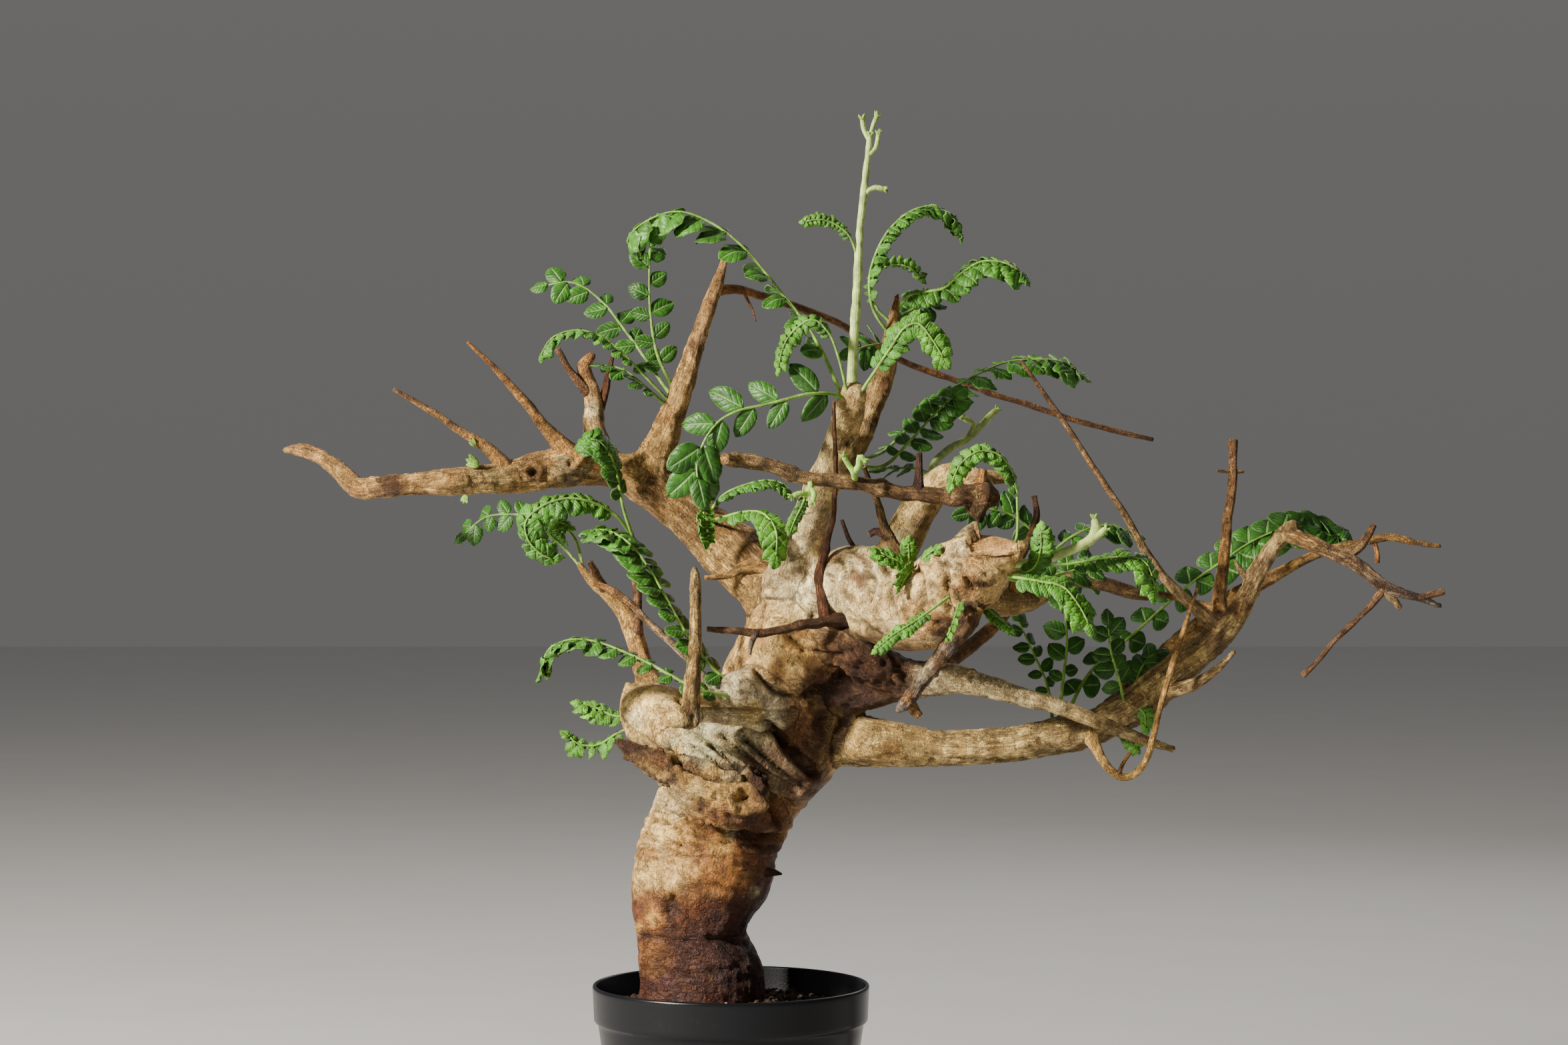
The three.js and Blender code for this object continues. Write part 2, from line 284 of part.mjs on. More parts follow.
    route: [[-9, 273, 4], [-2, 281, -6], [6, 284.5, -8], [14, 286, -9], [20, 284.5, -9], [24, 280, -9]] },
  leaf_left_hanging: { on: 'left_limb', upper: [0, -1, 0.3], bare: 0.25, pairs: 6, reach: 4.2, broad: 3, droop: 0.3,
    route: [[-12, 276, 3], [-11.5, 281, -7], [-10.5, 275, -13], [-9.8, 268, -14], [-9.6, 261, -14]] },
  leaf_left_front: { on: 'left_limb', upper: [0, -0.7, 0.9], bare: 0.22, pairs: 5, reach: 7, broad: 4.8, droop: 0.5,
    route: [[-9, 270, 2], [-3, 272, -10], [5, 274, -17], [12, 273.5, -25], [17, 267, -32], [17, 254.5, -35]] },
  leaf_prong_low: { on: 'prong', upper: [0.2, -0.5, 0.9], bare: 0.08, pairs: 8, reach: 7, broad: 6.4, droop: 0.5,
    route: [[0, 204, -34], [-12, 206.5, -40], [-22, 211.5, -40], [-32, 217, -36], [-42, 221.5, -33], [-52, 225, -30],
      [-61, 225.5, -27], [-69, 222, -24], [-73, 212, -22]] },
  leaf_prong_high: { on: 'prong', upper: [0.8, -0.6, 0.5], bare: 0.06, pairs: 8, reach: 9, broad: 7, droop: 0.5,
    route: [[0, 208.5, -31], [-9, 217, -33], [-17, 228, -34], [-25, 242, -32], [-32, 254, -29], [-39, 262.5, -25],
      [-47, 267, -21], [-55, 267, -18]] },
  leaf_twig_arch: { on: 'back_prong_twig', upper: [0.3, -0.7, 1], bare: 0.18, pairs: 8, reach: 7, broad: 5, droop: 0.7,
    route: [[-38, 265.5, 5], [-44, 273, 1], [-54, 278, -4], [-63, 279, -7], [-72, 276, -9], [-78, 270, -10],
      [-77, 263.5, -10], [-72, 258, -9], [-65, 255, -8]] },
  leaf_twig_upright: { on: 'back_prong_twig', upper: [0.9, -0.6, 0], bare: 0.35, pairs: 4, reach: 6.5, broad: 5, droop: 0.4,
    route: [[-37.5, 265, 4], [-41, 276, -2], [-43, 287, -6], [-46, 296, -9], [-51.5, 301.5, -10], [-57.5, 299.5, -10]] },
  leaf_back_prong_curl: { on: 'back_prong', upper: [-1, -0.5, 0.2], bare: 0.3, pairs: 4, reach: 4, broad: 3.5, droop: 0.5,
    route: [[-57, 253, 20], [-63, 260, 21], [-69, 266.5, 22], [-66, 270, 22], [-60, 268, 22]] },
  leaf_back_prong_dark: { on: 'back_prong', upper: [-0.3, -0.6, 0.9], bare: 0.3, pairs: 5, reach: 7.5, broad: 6, droop: 0.5,
    route: [[-56, 252, 20], [-60, 265, 29], [-70, 271.5, 31], [-82, 273, 32], [-93, 272, 33], [-103, 264, 34]] },
  leaf_shoulder_high: { on: 'shoulder', upper: [0.2, -0.6, 0.9], bare: 0.3, pairs: 3, reach: 6, broad: 5, droop: 0.4,
    route: [[-34, 197, 6], [-44, 196.5, 9], [-52, 200, 10], [-59, 202, 11]] },
  leaf_shoulder_low: { on: 'shoulder', upper: [0.3, -0.6, 0.8], bare: 0.3, pairs: 4, reach: 6, broad: 5, droop: 0.5,
    route: [[-33, 194, 5], [-43, 190, 8], [-51, 185.5, 9], [-58, 186, 10], [-63, 190.5, 10]] },
};

// Green shoots: a stem with its side stems, each a tapering run of points, and any young leaf fused to it
const SHOOTS = {
  crown_shoot: { on: 'neck',
    stems: [
      [[46, 316, -52, 1.9], [46, 330, -53, 1.9], [47, 345, -54, 1.8], [48, 360, -54, 1.7], [48.7, 378, -53, 1.5],
        [50.5, 396, -52, 1.3], [52, 410, -50, 1.1], [52.7, 417, -49, 1]],
      [[52.5, 415, -49, 0.9], [50.5, 419, -49, 0.9], [49.8, 423.5, -49, 0.9]],
      [[52.5, 416, -49, 0.8], [54, 421, -48, 0.8], [55.5, 424.5, -48, 0.9]],
      [[52, 409, -50, 0.7], [55, 412.5, -51, 0.8], [56, 418, -51, 0.8]],
      [[50.2, 394, -52, 0.9], [54, 397, -53, 0.9], [58.5, 396.5, -53, 1]]],
    leaves: [{ upper: [-0.3, -0.5, 1], bare: 0.3, pairs: 5, reach: 3, broad: 2.8, droop: 0.5,
      route: [[48.3, 370, -53.5], [45, 378.5, -55], [40, 383, -56], [34, 385, -57], [26.5, 384, -57]] }] },
  rear_shoot: { on: 'white_limb',
    stems: [
      [[76, 284, -33, 1.6], [77, 292, -20, 1.5], [83, 298, -8, 1.5], [90, 302, 0, 1.5], [96, 308, 4, 1.4],
        [101, 313, 6, 1.3]],
      [[90, 302.5, 0, 1.1], [92, 307, 1, 1], [88, 310, 1, 1.1]]],
    leaves: [] },
  head_shoot: { on: 'knuckle',
    stems: [
      [[101, 256, -64, 2], [112, 254.5, -64, 1.8], [122, 257, -65, 1.7], [131, 260.5, -66, 1.7], [137, 264, -67, 1.9],
        [138.5, 268, -67, 1.7], [138, 272, -67, 1.4]],
      [[134, 262, -66.5, 1.3], [139, 265, -68, 1.2], [142.5, 268, -69, 1.2]]],
    leaves: [] },
  bar_shoot_low: { on: 'dead_bar',
    stems: [
      [[30, 287, -63, 1.1], [30, 283, -67, 1.1], [28, 279.5, -69, 1]],
      [[29.5, 281, -68, 0.9], [26, 281, -70, 1], [23, 279.8, -70, 1.1]],
      [[30, 283, -67, 0.9], [31.5, 281, -69, 1], [31, 277.5, -70, 1]]],
    leaves: [{ upper: [0.2, -1, 0.2], bare: 0.08, pairs: 5, reach: 2.6, broad: 2.6, droop: 0.3,
      route: [[28.3, 280, -69], [27, 276.5, -70], [24.5, 271.5, -71], [22, 265.5, -71]] }] },
  bar_shoot_high: { on: 'dead_bar',
    stems: [
      [[47, 284.5, -60, 1.1], [46.5, 289, -65, 1.1], [44.5, 292, -66, 1], [42.5, 295.5, -67, 1]],
      [[46.6, 289, -65, 1], [48.5, 291.5, -66.5, 1.1], [49, 295, -67, 1.1], [51, 293.5, -67.5, 1]]],
    leaves: [] },
};

const COLOURS = {
  pot: { color: 0x17181b, roughness: 0.42 },
  soil: { color: 0x2b1c14, roughness: 0.95 },
  wood: { color: 0xb08a5e, roughness: 0.8 },
  leaf: { color: 0x3c7a2e, roughness: 0.45 },
  young_leaf: { color: 0x8fae5c, roughness: 0.6 },
};

// A point seen in the upright plane, moved along the line of sight to its depth
function placed([across, height, depth]) {
  const scale = 1 + depth / EYE_DISTANCE;
  const x = EYE_ACROSS + (across - EYE_ACROSS) * scale;
  const z = EYE_HEIGHT + (height - EYE_HEIGHT) * scale;
  return new THREE.Vector3(x, depth, z);
}

function bareGeometry(corners, triangles) {
  const geometry = new THREE.BufferGeometry();
  geometry.setAttribute('position', new THREE.Float32BufferAttribute(corners.flatMap((c) => c.toArray()), 3));
  geometry.setIndex(triangles.flat());
  return geometry;
}

function solidOf(geometry) {
  const shape = geometry.clone();
  shape.deleteAttribute('normal');
  shape.deleteAttribute('uv');
  const merged = mergeVertices(shape, 1e-4);
  return new Manifold(new SolidMesh({
    numProp: 3,
    vertProperties: new Float32Array(merged.attributes.position.array),
    triVerts: new Uint32Array(merged.index.array),
  }));
}

function geometryOf(solid) {
  const mesh = solid.getMesh();
  const geometry = new THREE.BufferGeometry();
  geometry.setAttribute('position', new THREE.Float32BufferAttribute(mesh.vertProperties, 3));
  geometry.setIndex([...mesh.triVerts]);
  geometry.computeVertexNormals();
  return geometry;
}

function joined(solids) {
  return solids.reduce((whole, solid) => whole.add(solid));
}

// Frames at shares of a curve's length: its place, the way ahead, and an upper side that turns no more than it must
function framesAlong(curve, shares, upper) {
  let up = upper.clone();
  return shares.map((share) => {
    const ahead = curve.getTangentAt(share).normalize();
    up = up.clone().addScaledVector(ahead, -up.dot(ahead)).normalize();
    return { at: curve.getPointAt(share), ahead, up, side: ahead.clone().cross(up) };
  });
}

// A tapering limb: rings of bark round the route, closed by a blunt point at each end
function limbSolid({ route, sides, flat = 1 }, grow = 0) {
  const curve = new THREE.CatmullRomCurve3(route.map(placed), false, 'centripetal');
  const steps = route.length - 1;
  const corners = [];
  const triangles = [];
  let across = new THREE.Vector3(0.1, -1, 0.2);
  for (let i = 0; i <= steps; i++) {
    const t = i / steps;
    const centre = curve.getPoint(t);
    const ahead = curve.getTangent(t);
    across = across.clone().addScaledVector(ahead, -across.dot(ahead)).normalize();
    const upward = ahead.clone().cross(across);
    const radius = route[i][3] + grow;
    for (let k = 0; k < sides; k++) {
      const turn = (k / sides) * 2 * Math.PI;
      const uneven = 1 + BARK_ROUGHNESS * Math.sin(2.1 * k + 1.7 * i) * Math.cos(1.3 * k * i);
      const out = across.clone().multiplyScalar(Math.cos(turn)).addScaledVector(upward, Math.sin(turn));
      out.multiplyScalar(radius * uneven);
      out.y *= flat;
      corners.push(centre.clone().add(out));
      if (i < steps) {
        const a = i * sides + k;
        const b = i * sides + (k + 1) % sides;
        triangles.push([a, b, b + sides], [a, b + sides, a + sides]);
      }
    }
  }
  addBluntEnd(curve.getPoint(0), curve.getTangent(0).negate(), route[0][3] + grow, 0, true);
  addBluntEnd(curve.getPoint(1), curve.getTangent(1), route.at(-1)[3] + grow, steps * sides, false);

  function addBluntEnd(centre, outward, radius, first, reversed) {
    const point = corners.push(centre.addScaledVector(outward, radius * 0.35)) - 1;
    for (let k = 0; k < sides; k++) {
      const a = first + k;
      const b = first + (k + 1) % sides;
      triangles.push(reversed ? [b, a, point] : [a, b, point]);
    }
  }
  return solidOf(bareGeometry(corners, triangles));
}

// A thin sheet thickened to a closed body: each corner has a place, an upper side and half a thickness
function thickened(sheet, faces) {
  const count = sheet.length;
  const upper = sheet.map(({ at, up, half }) => at.clone().addScaledVector(up, half));
  const lower = sheet.map(({ at, up, half }) => at.clone().addScaledVector(up, -half));
  const triangles = [...faces];
  for (const [a, b, c] of faces) triangles.push([c + count, b + count, a + count]);
  const edges = new Set(faces.flatMap(([a, b, c]) => [`${a},${b}`, `${b},${c}`, `${c},${a}`]));
  for (const edge of edges) {
    const [a, b] = edge.split(',').map(Number);
    if (!edges.has(`${b},${a}`)) triangles.push([a, a + count, b + count], [a, b + count, b]);
  }
  return solidOf(bareGeometry([...upper, ...lower], triangles));
}

// A pinnate leaf: one thin arched blade whose leaflets are cut to the rib, on a bare petiole. Long leaflets have a
// point and two shoulders, middling ones a blunt end, and the shortest are single teeth. Those inside a bend are
// shorter and narrower, so that they stay clear of one another.
function leafSolid({ route, upper, bare, pairs, reach, broad, droop }) {
  const curve = new THREE.CatmullRomCurve3(route.map(placed), false, 'centripetal');
  const length = curve.getLength();
  const fine = Array.from({ length: RIB_STEPS + 1 }, (_, i) => i / RIB_STEPS);
  const fineFrames = framesAlong(curve, fine, new THREE.Vector3(...upper));
  const pitch = (1 - bare) / (pairs + 0.6);
  const room = pitch * length;
  const held = room > 1.25 * broad ? (broad * 0.5) / room : 1;
  const petioleSteps = Math.max(1, Math.round((bare * length) / 16));
  const shares = [];
  for (let i = 0; i < petioleSteps; i++) shares.push((i / petioleSteps) * bare);
  const firstPair = shares.length;
  const stopsPerPair = held < 1 ? 2 : 1;
  for (let i = 0; i < pairs; i++) {
    shares.push(bare + i * pitch);
    if (held < 1) shares.push(bare + (i + held) * pitch);
  }
  shares.push(1 - 0.6 * pitch);

  function frameAt(share) {
    const place = THREE.MathUtils.clamp(share, 0, 1) * RIB_STEPS;
    const first = fineFrames[Math.min(Math.floor(place), RIB_STEPS - 1)];
    const next = fineFrames[Math.min(Math.floor(place), RIB_STEPS - 1) + 1];
    const part = place - Math.min(Math.floor(place), RIB_STEPS - 1);
    const between = (key) => first[key].clone().lerp(next[key], part);
    return { at: between('at'), ahead: between('ahead').normalize(), up: between('up').normalize(),
      side: between('side').normalize() };
  }

  const pointed = reach >= POINTED_LEAFLET_REACH;
  const toothed = reach < TOOTHED_LEAFLET_REACH;
  const sheet = [];
  const faces = [];
  shares.forEach((share, i) => {
    const { at, up, side } = frameAt(share);
    const width = THREE.MathUtils.lerp(PETIOLE_WIDTH, RIB_TIP_WIDTH, share) / 2;
    for (const hand of [-1, 1]) {
      sheet.push({ at: at.clone().addScaledVector(side, hand * width), up, half: RIB_THICKNESS / 2 });
    }
    if (i) faces.push([2 * i - 2, 2 * i - 1, 2 * i + 1], [2 * i - 2, 2 * i + 1, 2 * i]);
  });

  function corner(share, sideways, forward = 0) {
    const frame = frameAt(share);
    const at = frame.at.clone().addScaledVector(frame.side, sideways).addScaledVector(frame.ahead, forward);
    const hang = droop * Math.abs(sideways) * (0.45 + 0.55 * Math.abs(sideways) / reach);
    at.addScaledVector(frame.up, -hang);
    return sheet.push({ at, up: frame.up, half: BLADE_THICKNESS / 2 }) - 1;
  }

  for (let i = 0; i < pairs; i++) {
    const near = firstPair + stopsPerPair * i;
    const start = shares[near];
    const size = 0.45 + 0.55 * Math.sin(Math.PI * (0.15 + 0.8 * (i + 0.5) / pairs));
    const turn = frameAt(start + pitch).ahead.sub(frameAt(start).ahead);
    for (const hand of [-1, 1]) {
      const inward = Math.max(0, (hand * turn.dot(frameAt(start).side)) / room);
      const long = reach * size / (1 + inward * reach * 0.5);
      const crowding = Math.max(0.3, 1 - inward * long);
      const middle = (held * pitch) / 2;
      const half = Math.min(broad * size, room * 0.84 * crowding) / 2 / length;
      const root = 2 * near + (hand + 1) / 2;
      const end = root + 2;
      const fore = corner(start + middle + half * (pointed ? 1 : 0.6), hand * long * (pointed ? 0.55 : 1));
      const leaflet = [[root, fore, end]];
      if (!toothed) {
        const rear = corner(start + middle - half * (pointed ? 1 : 0.7), hand * long * (pointed ? 0.5 : 0.8));
        leaflet.push([root, rear, fore]);
        if (pointed) leaflet.push([rear, corner(start + middle + half * 0.4, hand * long), fore]);
      }
      faces.push(...(hand > 0 ? leaflet : leaflet.map(([a, b, c]) => [c, b, a])));
    }
  }
  const last = shares.at(-1);
  const left = 2 * shares.length - 2;
  const endLong = Math.max(reach * 0.6, 0.7 * room);
  const leftWing = corner(last, -broad * 0.28, endLong * 0.4);
  const rightWing = corner(last, broad * 0.28, endLong * 0.4);
  const point = corner(last, 0, endLong);
  faces.push([left, left + 1, rightWing], [left, rightWing, leftWing], [leftWing, rightWing, point]);
  return thickened(sheet, faces);
}

function shootSolid({ stems, leaves }) {
  const parts = stems.map((route) => limbSolid({ route, sides: 4 }));
  return joined([...parts, ...leaves.map(leafSolid)]);
}

// The pot: a tapering body under an upright rim band, turned round the axis, with drain holes through its floor
function potSolid() {
  const rim = POT_RIM_DIAMETER / 2;
  const base = POT_BASE_DIAMETER / 2;
  const bandFoot = POT_HEIGHT - RIM_BAND_HEIGHT;
  const profile = [
    [0, 0], [base - 1.5, 0], [base, 1.5], [rim - 2 * RIM_BAND_STEP, bandFoot - 1], [rim - 0.6, bandFoot],
    [rim, POT_HEIGHT - 0.8], [rim - 0.5, POT_HEIGHT], [rim - POT_WALL, POT_HEIGHT - 0.4],
    [rim - 0.6 - POT_WALL, bandFoot + 0.6], [rim - 2 * RIM_BAND_STEP - POT_WALL, bandFoot - 1],
    [base - POT_WALL, POT_FLOOR + 1], [base - POT_WALL - 1.5, POT_FLOOR], [0, POT_FLOOR],
  ].map(([radius, height]) => new THREE.Vector2(radius, height));
  const lathe = new THREE.LatheGeometry(profile, POT_SIDES);
  lathe.rotateX(Math.PI / 2);
  let pot = solidOf(lathe);
  for (let i = 0; i < DRAIN_HOLES; i++) {
    const turn = (i / DRAIN_HOLES) * 2 * Math.PI;
    const drill = new THREE.CylinderGeometry(DRAIN_HOLE_DIAMETER / 2, DRAIN_HOLE_DIAMETER / 2, POT_FLOOR * 4, 8);
    drill.rotateX(Math.PI / 2);
    drill.translate(Math.cos(turn) * DRAIN_CIRCLE_DIAMETER / 2, Math.sin(turn) * DRAIN_CIRCLE_DIAMETER / 2, 0);
    pot = pot.subtract(solidOf(drill));
  }
  return pot;
}

// The soil: it fills the pot a gap inside the wall, mounded round the trunk and cloddy on top
function soilSolid(buriedWood) {
  const sectors = 20;
  const rings = 3;
  const rim = POT_RIM_DIAMETER / 2;
  const floor = POT_FLOOR + GAP;
  const top = POT_HEIGHT - SOIL_BELOW_RIM;
  const lowRadius = POT_BASE_DIAMETER / 2 - POT_WALL - 1.5 - GAP;
  const topRadius = rim - 0.6 - POT_WALL - GAP;
  const neckRadius = rim - 2 * RIM_BAND_STEP - POT_WALL - GAP;
  const bandFoot = POT_HEIGHT - RIM_BAND_HEIGHT;
  const outline = [[lowRadius, floor], [lowRadius + 1.2, floor + 1.4], [neckRadius - 0.2, bandFoot - 1.4],
    [topRadius - 0.4, bandFoot + 0.6 + GAP]];
  for (let i = 0; i < rings; i++) outline.push([topRadius * (1 - i / rings), top]);
  const corners = [new THREE.Vector3(0, 0, floor)];
  const triangles = [];
  outline.forEach(([radius, height], row) => {
    for (let k = 0; k < sectors; k++) {
      const turn = (k / sectors) * 2 * Math.PI;
      const corner = new THREE.Vector3(radius * Math.cos(turn), radius * Math.sin(turn), height);
      if (row >= outline.length - rings) corner.z += soilRise(corner.x, corner.y);
      corners.push(corner);
      const a = 1 + row * sectors + k;
      const b = 1 + row * sectors + (k + 1) % sectors;
      if (row === 0) triangles.push([0, b, a]);
      if (row + 1 < outline.length) triangles.push([a, b, b + sectors], [a, b + sectors, a + sectors]);
    }
  });
  const crown = corners.push(new THREE.Vector3(0, 0, top + soilRise(0, 0))) - 1;
  const lastRing = 1 + (outline.length - 1) * sectors;
  for (let k = 0; k < sectors; k++) triangles.push([lastRing + k, lastRing + (k + 1) % sectors, crown]);
  return solidOf(bareGeometry(corners, triangles)).subtract(buriedWood);
}

function soilRise(x, y) {
  const fromTrunk = Math.hypot(x + 11, y + 10);
  const mound = SOIL_MOUND * Math.exp(-((fromTrunk / 34) ** 2));
  return mound + SOIL_CLODS * Math.sin(x * 0.9 + 1) * Math.cos(y * 0.8 + x * 0.3);
}

const BURIED = ['trunk', 'root_left', 'root_right', 'root_back'];
const wood = joined(Object.values(LIMBS).map((limb) => limbSolid(limb)));
const buriedWood = joined(BURIED.map((name) => limbSolid(LIMBS[name], GAP)));

const tree = new THREE.Group();

function addPiece(name, solid, look) {
  const piece = new THREE.Mesh(geometryOf(solid), new THREE.MeshStandardMaterial({ metalness: 0, ...COLOURS[look] }));
  piece.name = name;
  tree.add(piece);
}

addPiece('pot', potSolid(), 'pot');
addPiece('soil', soilSolid(buriedWood), 'soil');
addPiece('wood', wood, 'wood');
for (const [name, leaf] of Object.entries(LEAVES)) {
  addPiece(name, leafSolid(leaf).subtract(limbSolid(LIMBS[leaf.on], GAP)), 'leaf');
}
for (const [name, shoot] of Object.entries(SHOOTS)) {
  addPiece(name, shootSolid(shoot).subtract(limbSolid(LIMBS[shoot.on], GAP)), 'young_leaf');
}

export default tree;
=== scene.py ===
"""The looks of a potted Boswellia neglecta bonsai: bark, dead twigs, pinnate leaves, soil and a black pot.

The tree is laid out in millimetres as it looks from eye level straight in front, with a depth behind the
upright plane through the pot's axis. Meshes are made in the part's frame and stored in metres.
"""

import itertools
import math

import bpy
import numpy as np
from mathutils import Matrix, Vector


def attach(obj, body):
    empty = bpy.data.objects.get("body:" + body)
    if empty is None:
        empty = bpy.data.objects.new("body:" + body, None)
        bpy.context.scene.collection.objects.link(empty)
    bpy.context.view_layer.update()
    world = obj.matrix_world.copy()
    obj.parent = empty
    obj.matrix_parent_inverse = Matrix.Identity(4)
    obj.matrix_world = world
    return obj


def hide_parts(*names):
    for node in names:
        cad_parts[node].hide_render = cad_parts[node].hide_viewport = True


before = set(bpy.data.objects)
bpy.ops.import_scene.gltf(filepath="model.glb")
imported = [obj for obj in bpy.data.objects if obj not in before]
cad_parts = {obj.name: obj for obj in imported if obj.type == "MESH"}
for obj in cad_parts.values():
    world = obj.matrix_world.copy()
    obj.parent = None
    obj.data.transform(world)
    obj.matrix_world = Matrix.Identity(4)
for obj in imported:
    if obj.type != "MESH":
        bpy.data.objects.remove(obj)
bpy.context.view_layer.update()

MM = 0.001
FULL_TURN = 2 * math.pi

# Eye point of the layout, the same as the camera's place
EYE_ACROSS = 20.1
EYE_HEIGHT = 270.0
EYE_DISTANCE = 1266.0

# Pot and soil, as in the part
POT_RIM_DIAMETER = 105
POT_HEIGHT = 95
POT_BASE_DIAMETER = 78
POT_WALL = 1.5
POT_FLOOR = 2
RIM_BAND_HEIGHT = 13.5
DRAIN_HOLES = 6
DRAIN_HOLE_DIAMETER = 9
DRAIN_CIRCLE_DIAMETER = 56
DRILL_LENGTH = 12
SOIL_BELOW_RIM = 10
SOIL_MOUND = 5
SOIL_MOUND_RADIUS = 34
SOIL_GAP = 0.3
TRUNK_ACROSS = -11
TRUNK_CLEARANCE = 25.5
MOUND_FORWARD = -10

# Wood: spacing of the grid that the thick limbs are drawn from, and the cells along a block's side
WOOD_GRID = 1.18
BLOCK = 8

# The side that limbs and twigs carry upwards, and the step between their places in the random textures
GRAIN_UPPER = (0.1, -1, 0.2)
GRAIN_SHIFT = 31.7

# Twigs: length of a ring, and the sides of slim and stout ones
TWIG_STEP = 0.9
STOUT_TWIG_RADIUS = 2.6
SLIM_SIDES = 10
STOUT_SIDES = 18

# Green stems: length of a ring, and the sides of ribs and stems
RIB_STEP = 1.0
STEM_STEP = 0.9
RIB_SIDES = 7
STEM_SIDES = 12
BLADE_HALF_THICKNESS = 0.17
STEM_UPPER = (0.2, -1, 0.1)

# First seeds of the random draws for leaves, shoots and buds
LEAF_SEED = 100
SHOOT_SEED = 300
BUD_SEED = 41

# Darkest and lightest that bark may be
BARK_RANGE = (0.01, 0.85)

# Ring wrinkles round the trunk, and how much deeper creases are cut than they are listed
RING_SPACING = 4.1
CREASE_SCALE = 1.45

# Random textures of the bark: size in millimetres, layers and seed
TEXTURES = {
    "swells": (13, 2, 3), "lumps": (4.5, 2, 11), "pocks": (2.3, 2, 15), "ring_warp": (12, 2, 5),
    "ring_breaks": (9, 2, 19), "crease_wander": (5, 2, 9), "knobs": (3.2, 2, 33), "crust_edge": (4, 2, 91),
    "crags": (2.6, 3, 93), "swirl_wander": (9, 2, 41), "knot_wander": (2.5, 2, 97), "moat_breaks": (3, 1, 98),
    "stain_edge": (11, 3, 61), "patch_edge": (5, 3, 83), "worn": (6.5, 2, 71), "dark": (5, 2, 77),
}

# Named tints of the bark, linear RGB
TINTS = {
    "cream": (0.74, 0.52, 0.19),
    "white": (0.82, 0.68, 0.37),
    "grey": (0.46, 0.41, 0.26),
    "celadon": (0.48, 0.46, 0.26),
    "golden": (0.64, 0.39, 0.11),
    "straw": (0.47, 0.31, 0.125),
    "tan": (0.50, 0.26, 0.07),
    "orange": (0.36, 0.145, 0.034),
    "brown": (0.21, 0.105, 0.044),
    "rust": (0.105, 0.033, 0.010),
    "umber": (0.050, 0.019, 0.007),
    "lilac": (0.32, 0.26, 0.21),
    "cut": (0.66, 0.37, 0.13),
}


def limb(tint, fibre, route, flat=1, blend=3.5):
    """A thick limb, melted into its neighbours. It has tints for its foot and its end, a fibre from 0 for
    waxy skin to 1 for weathered dead wood, a squeeze from front to back, and the width of its soft joints"""
    return dict(twig=False, tint=tint, fibre=fibre, route=route, flat=flat, blend=blend)


def twig(tint, route, rough=0.7):
    """A dead twig, swept on its own. The rougher it is, the more ridges, nodes and fibres it has"""
    return dict(twig=True, tint=tint, route=route, rough=rough)


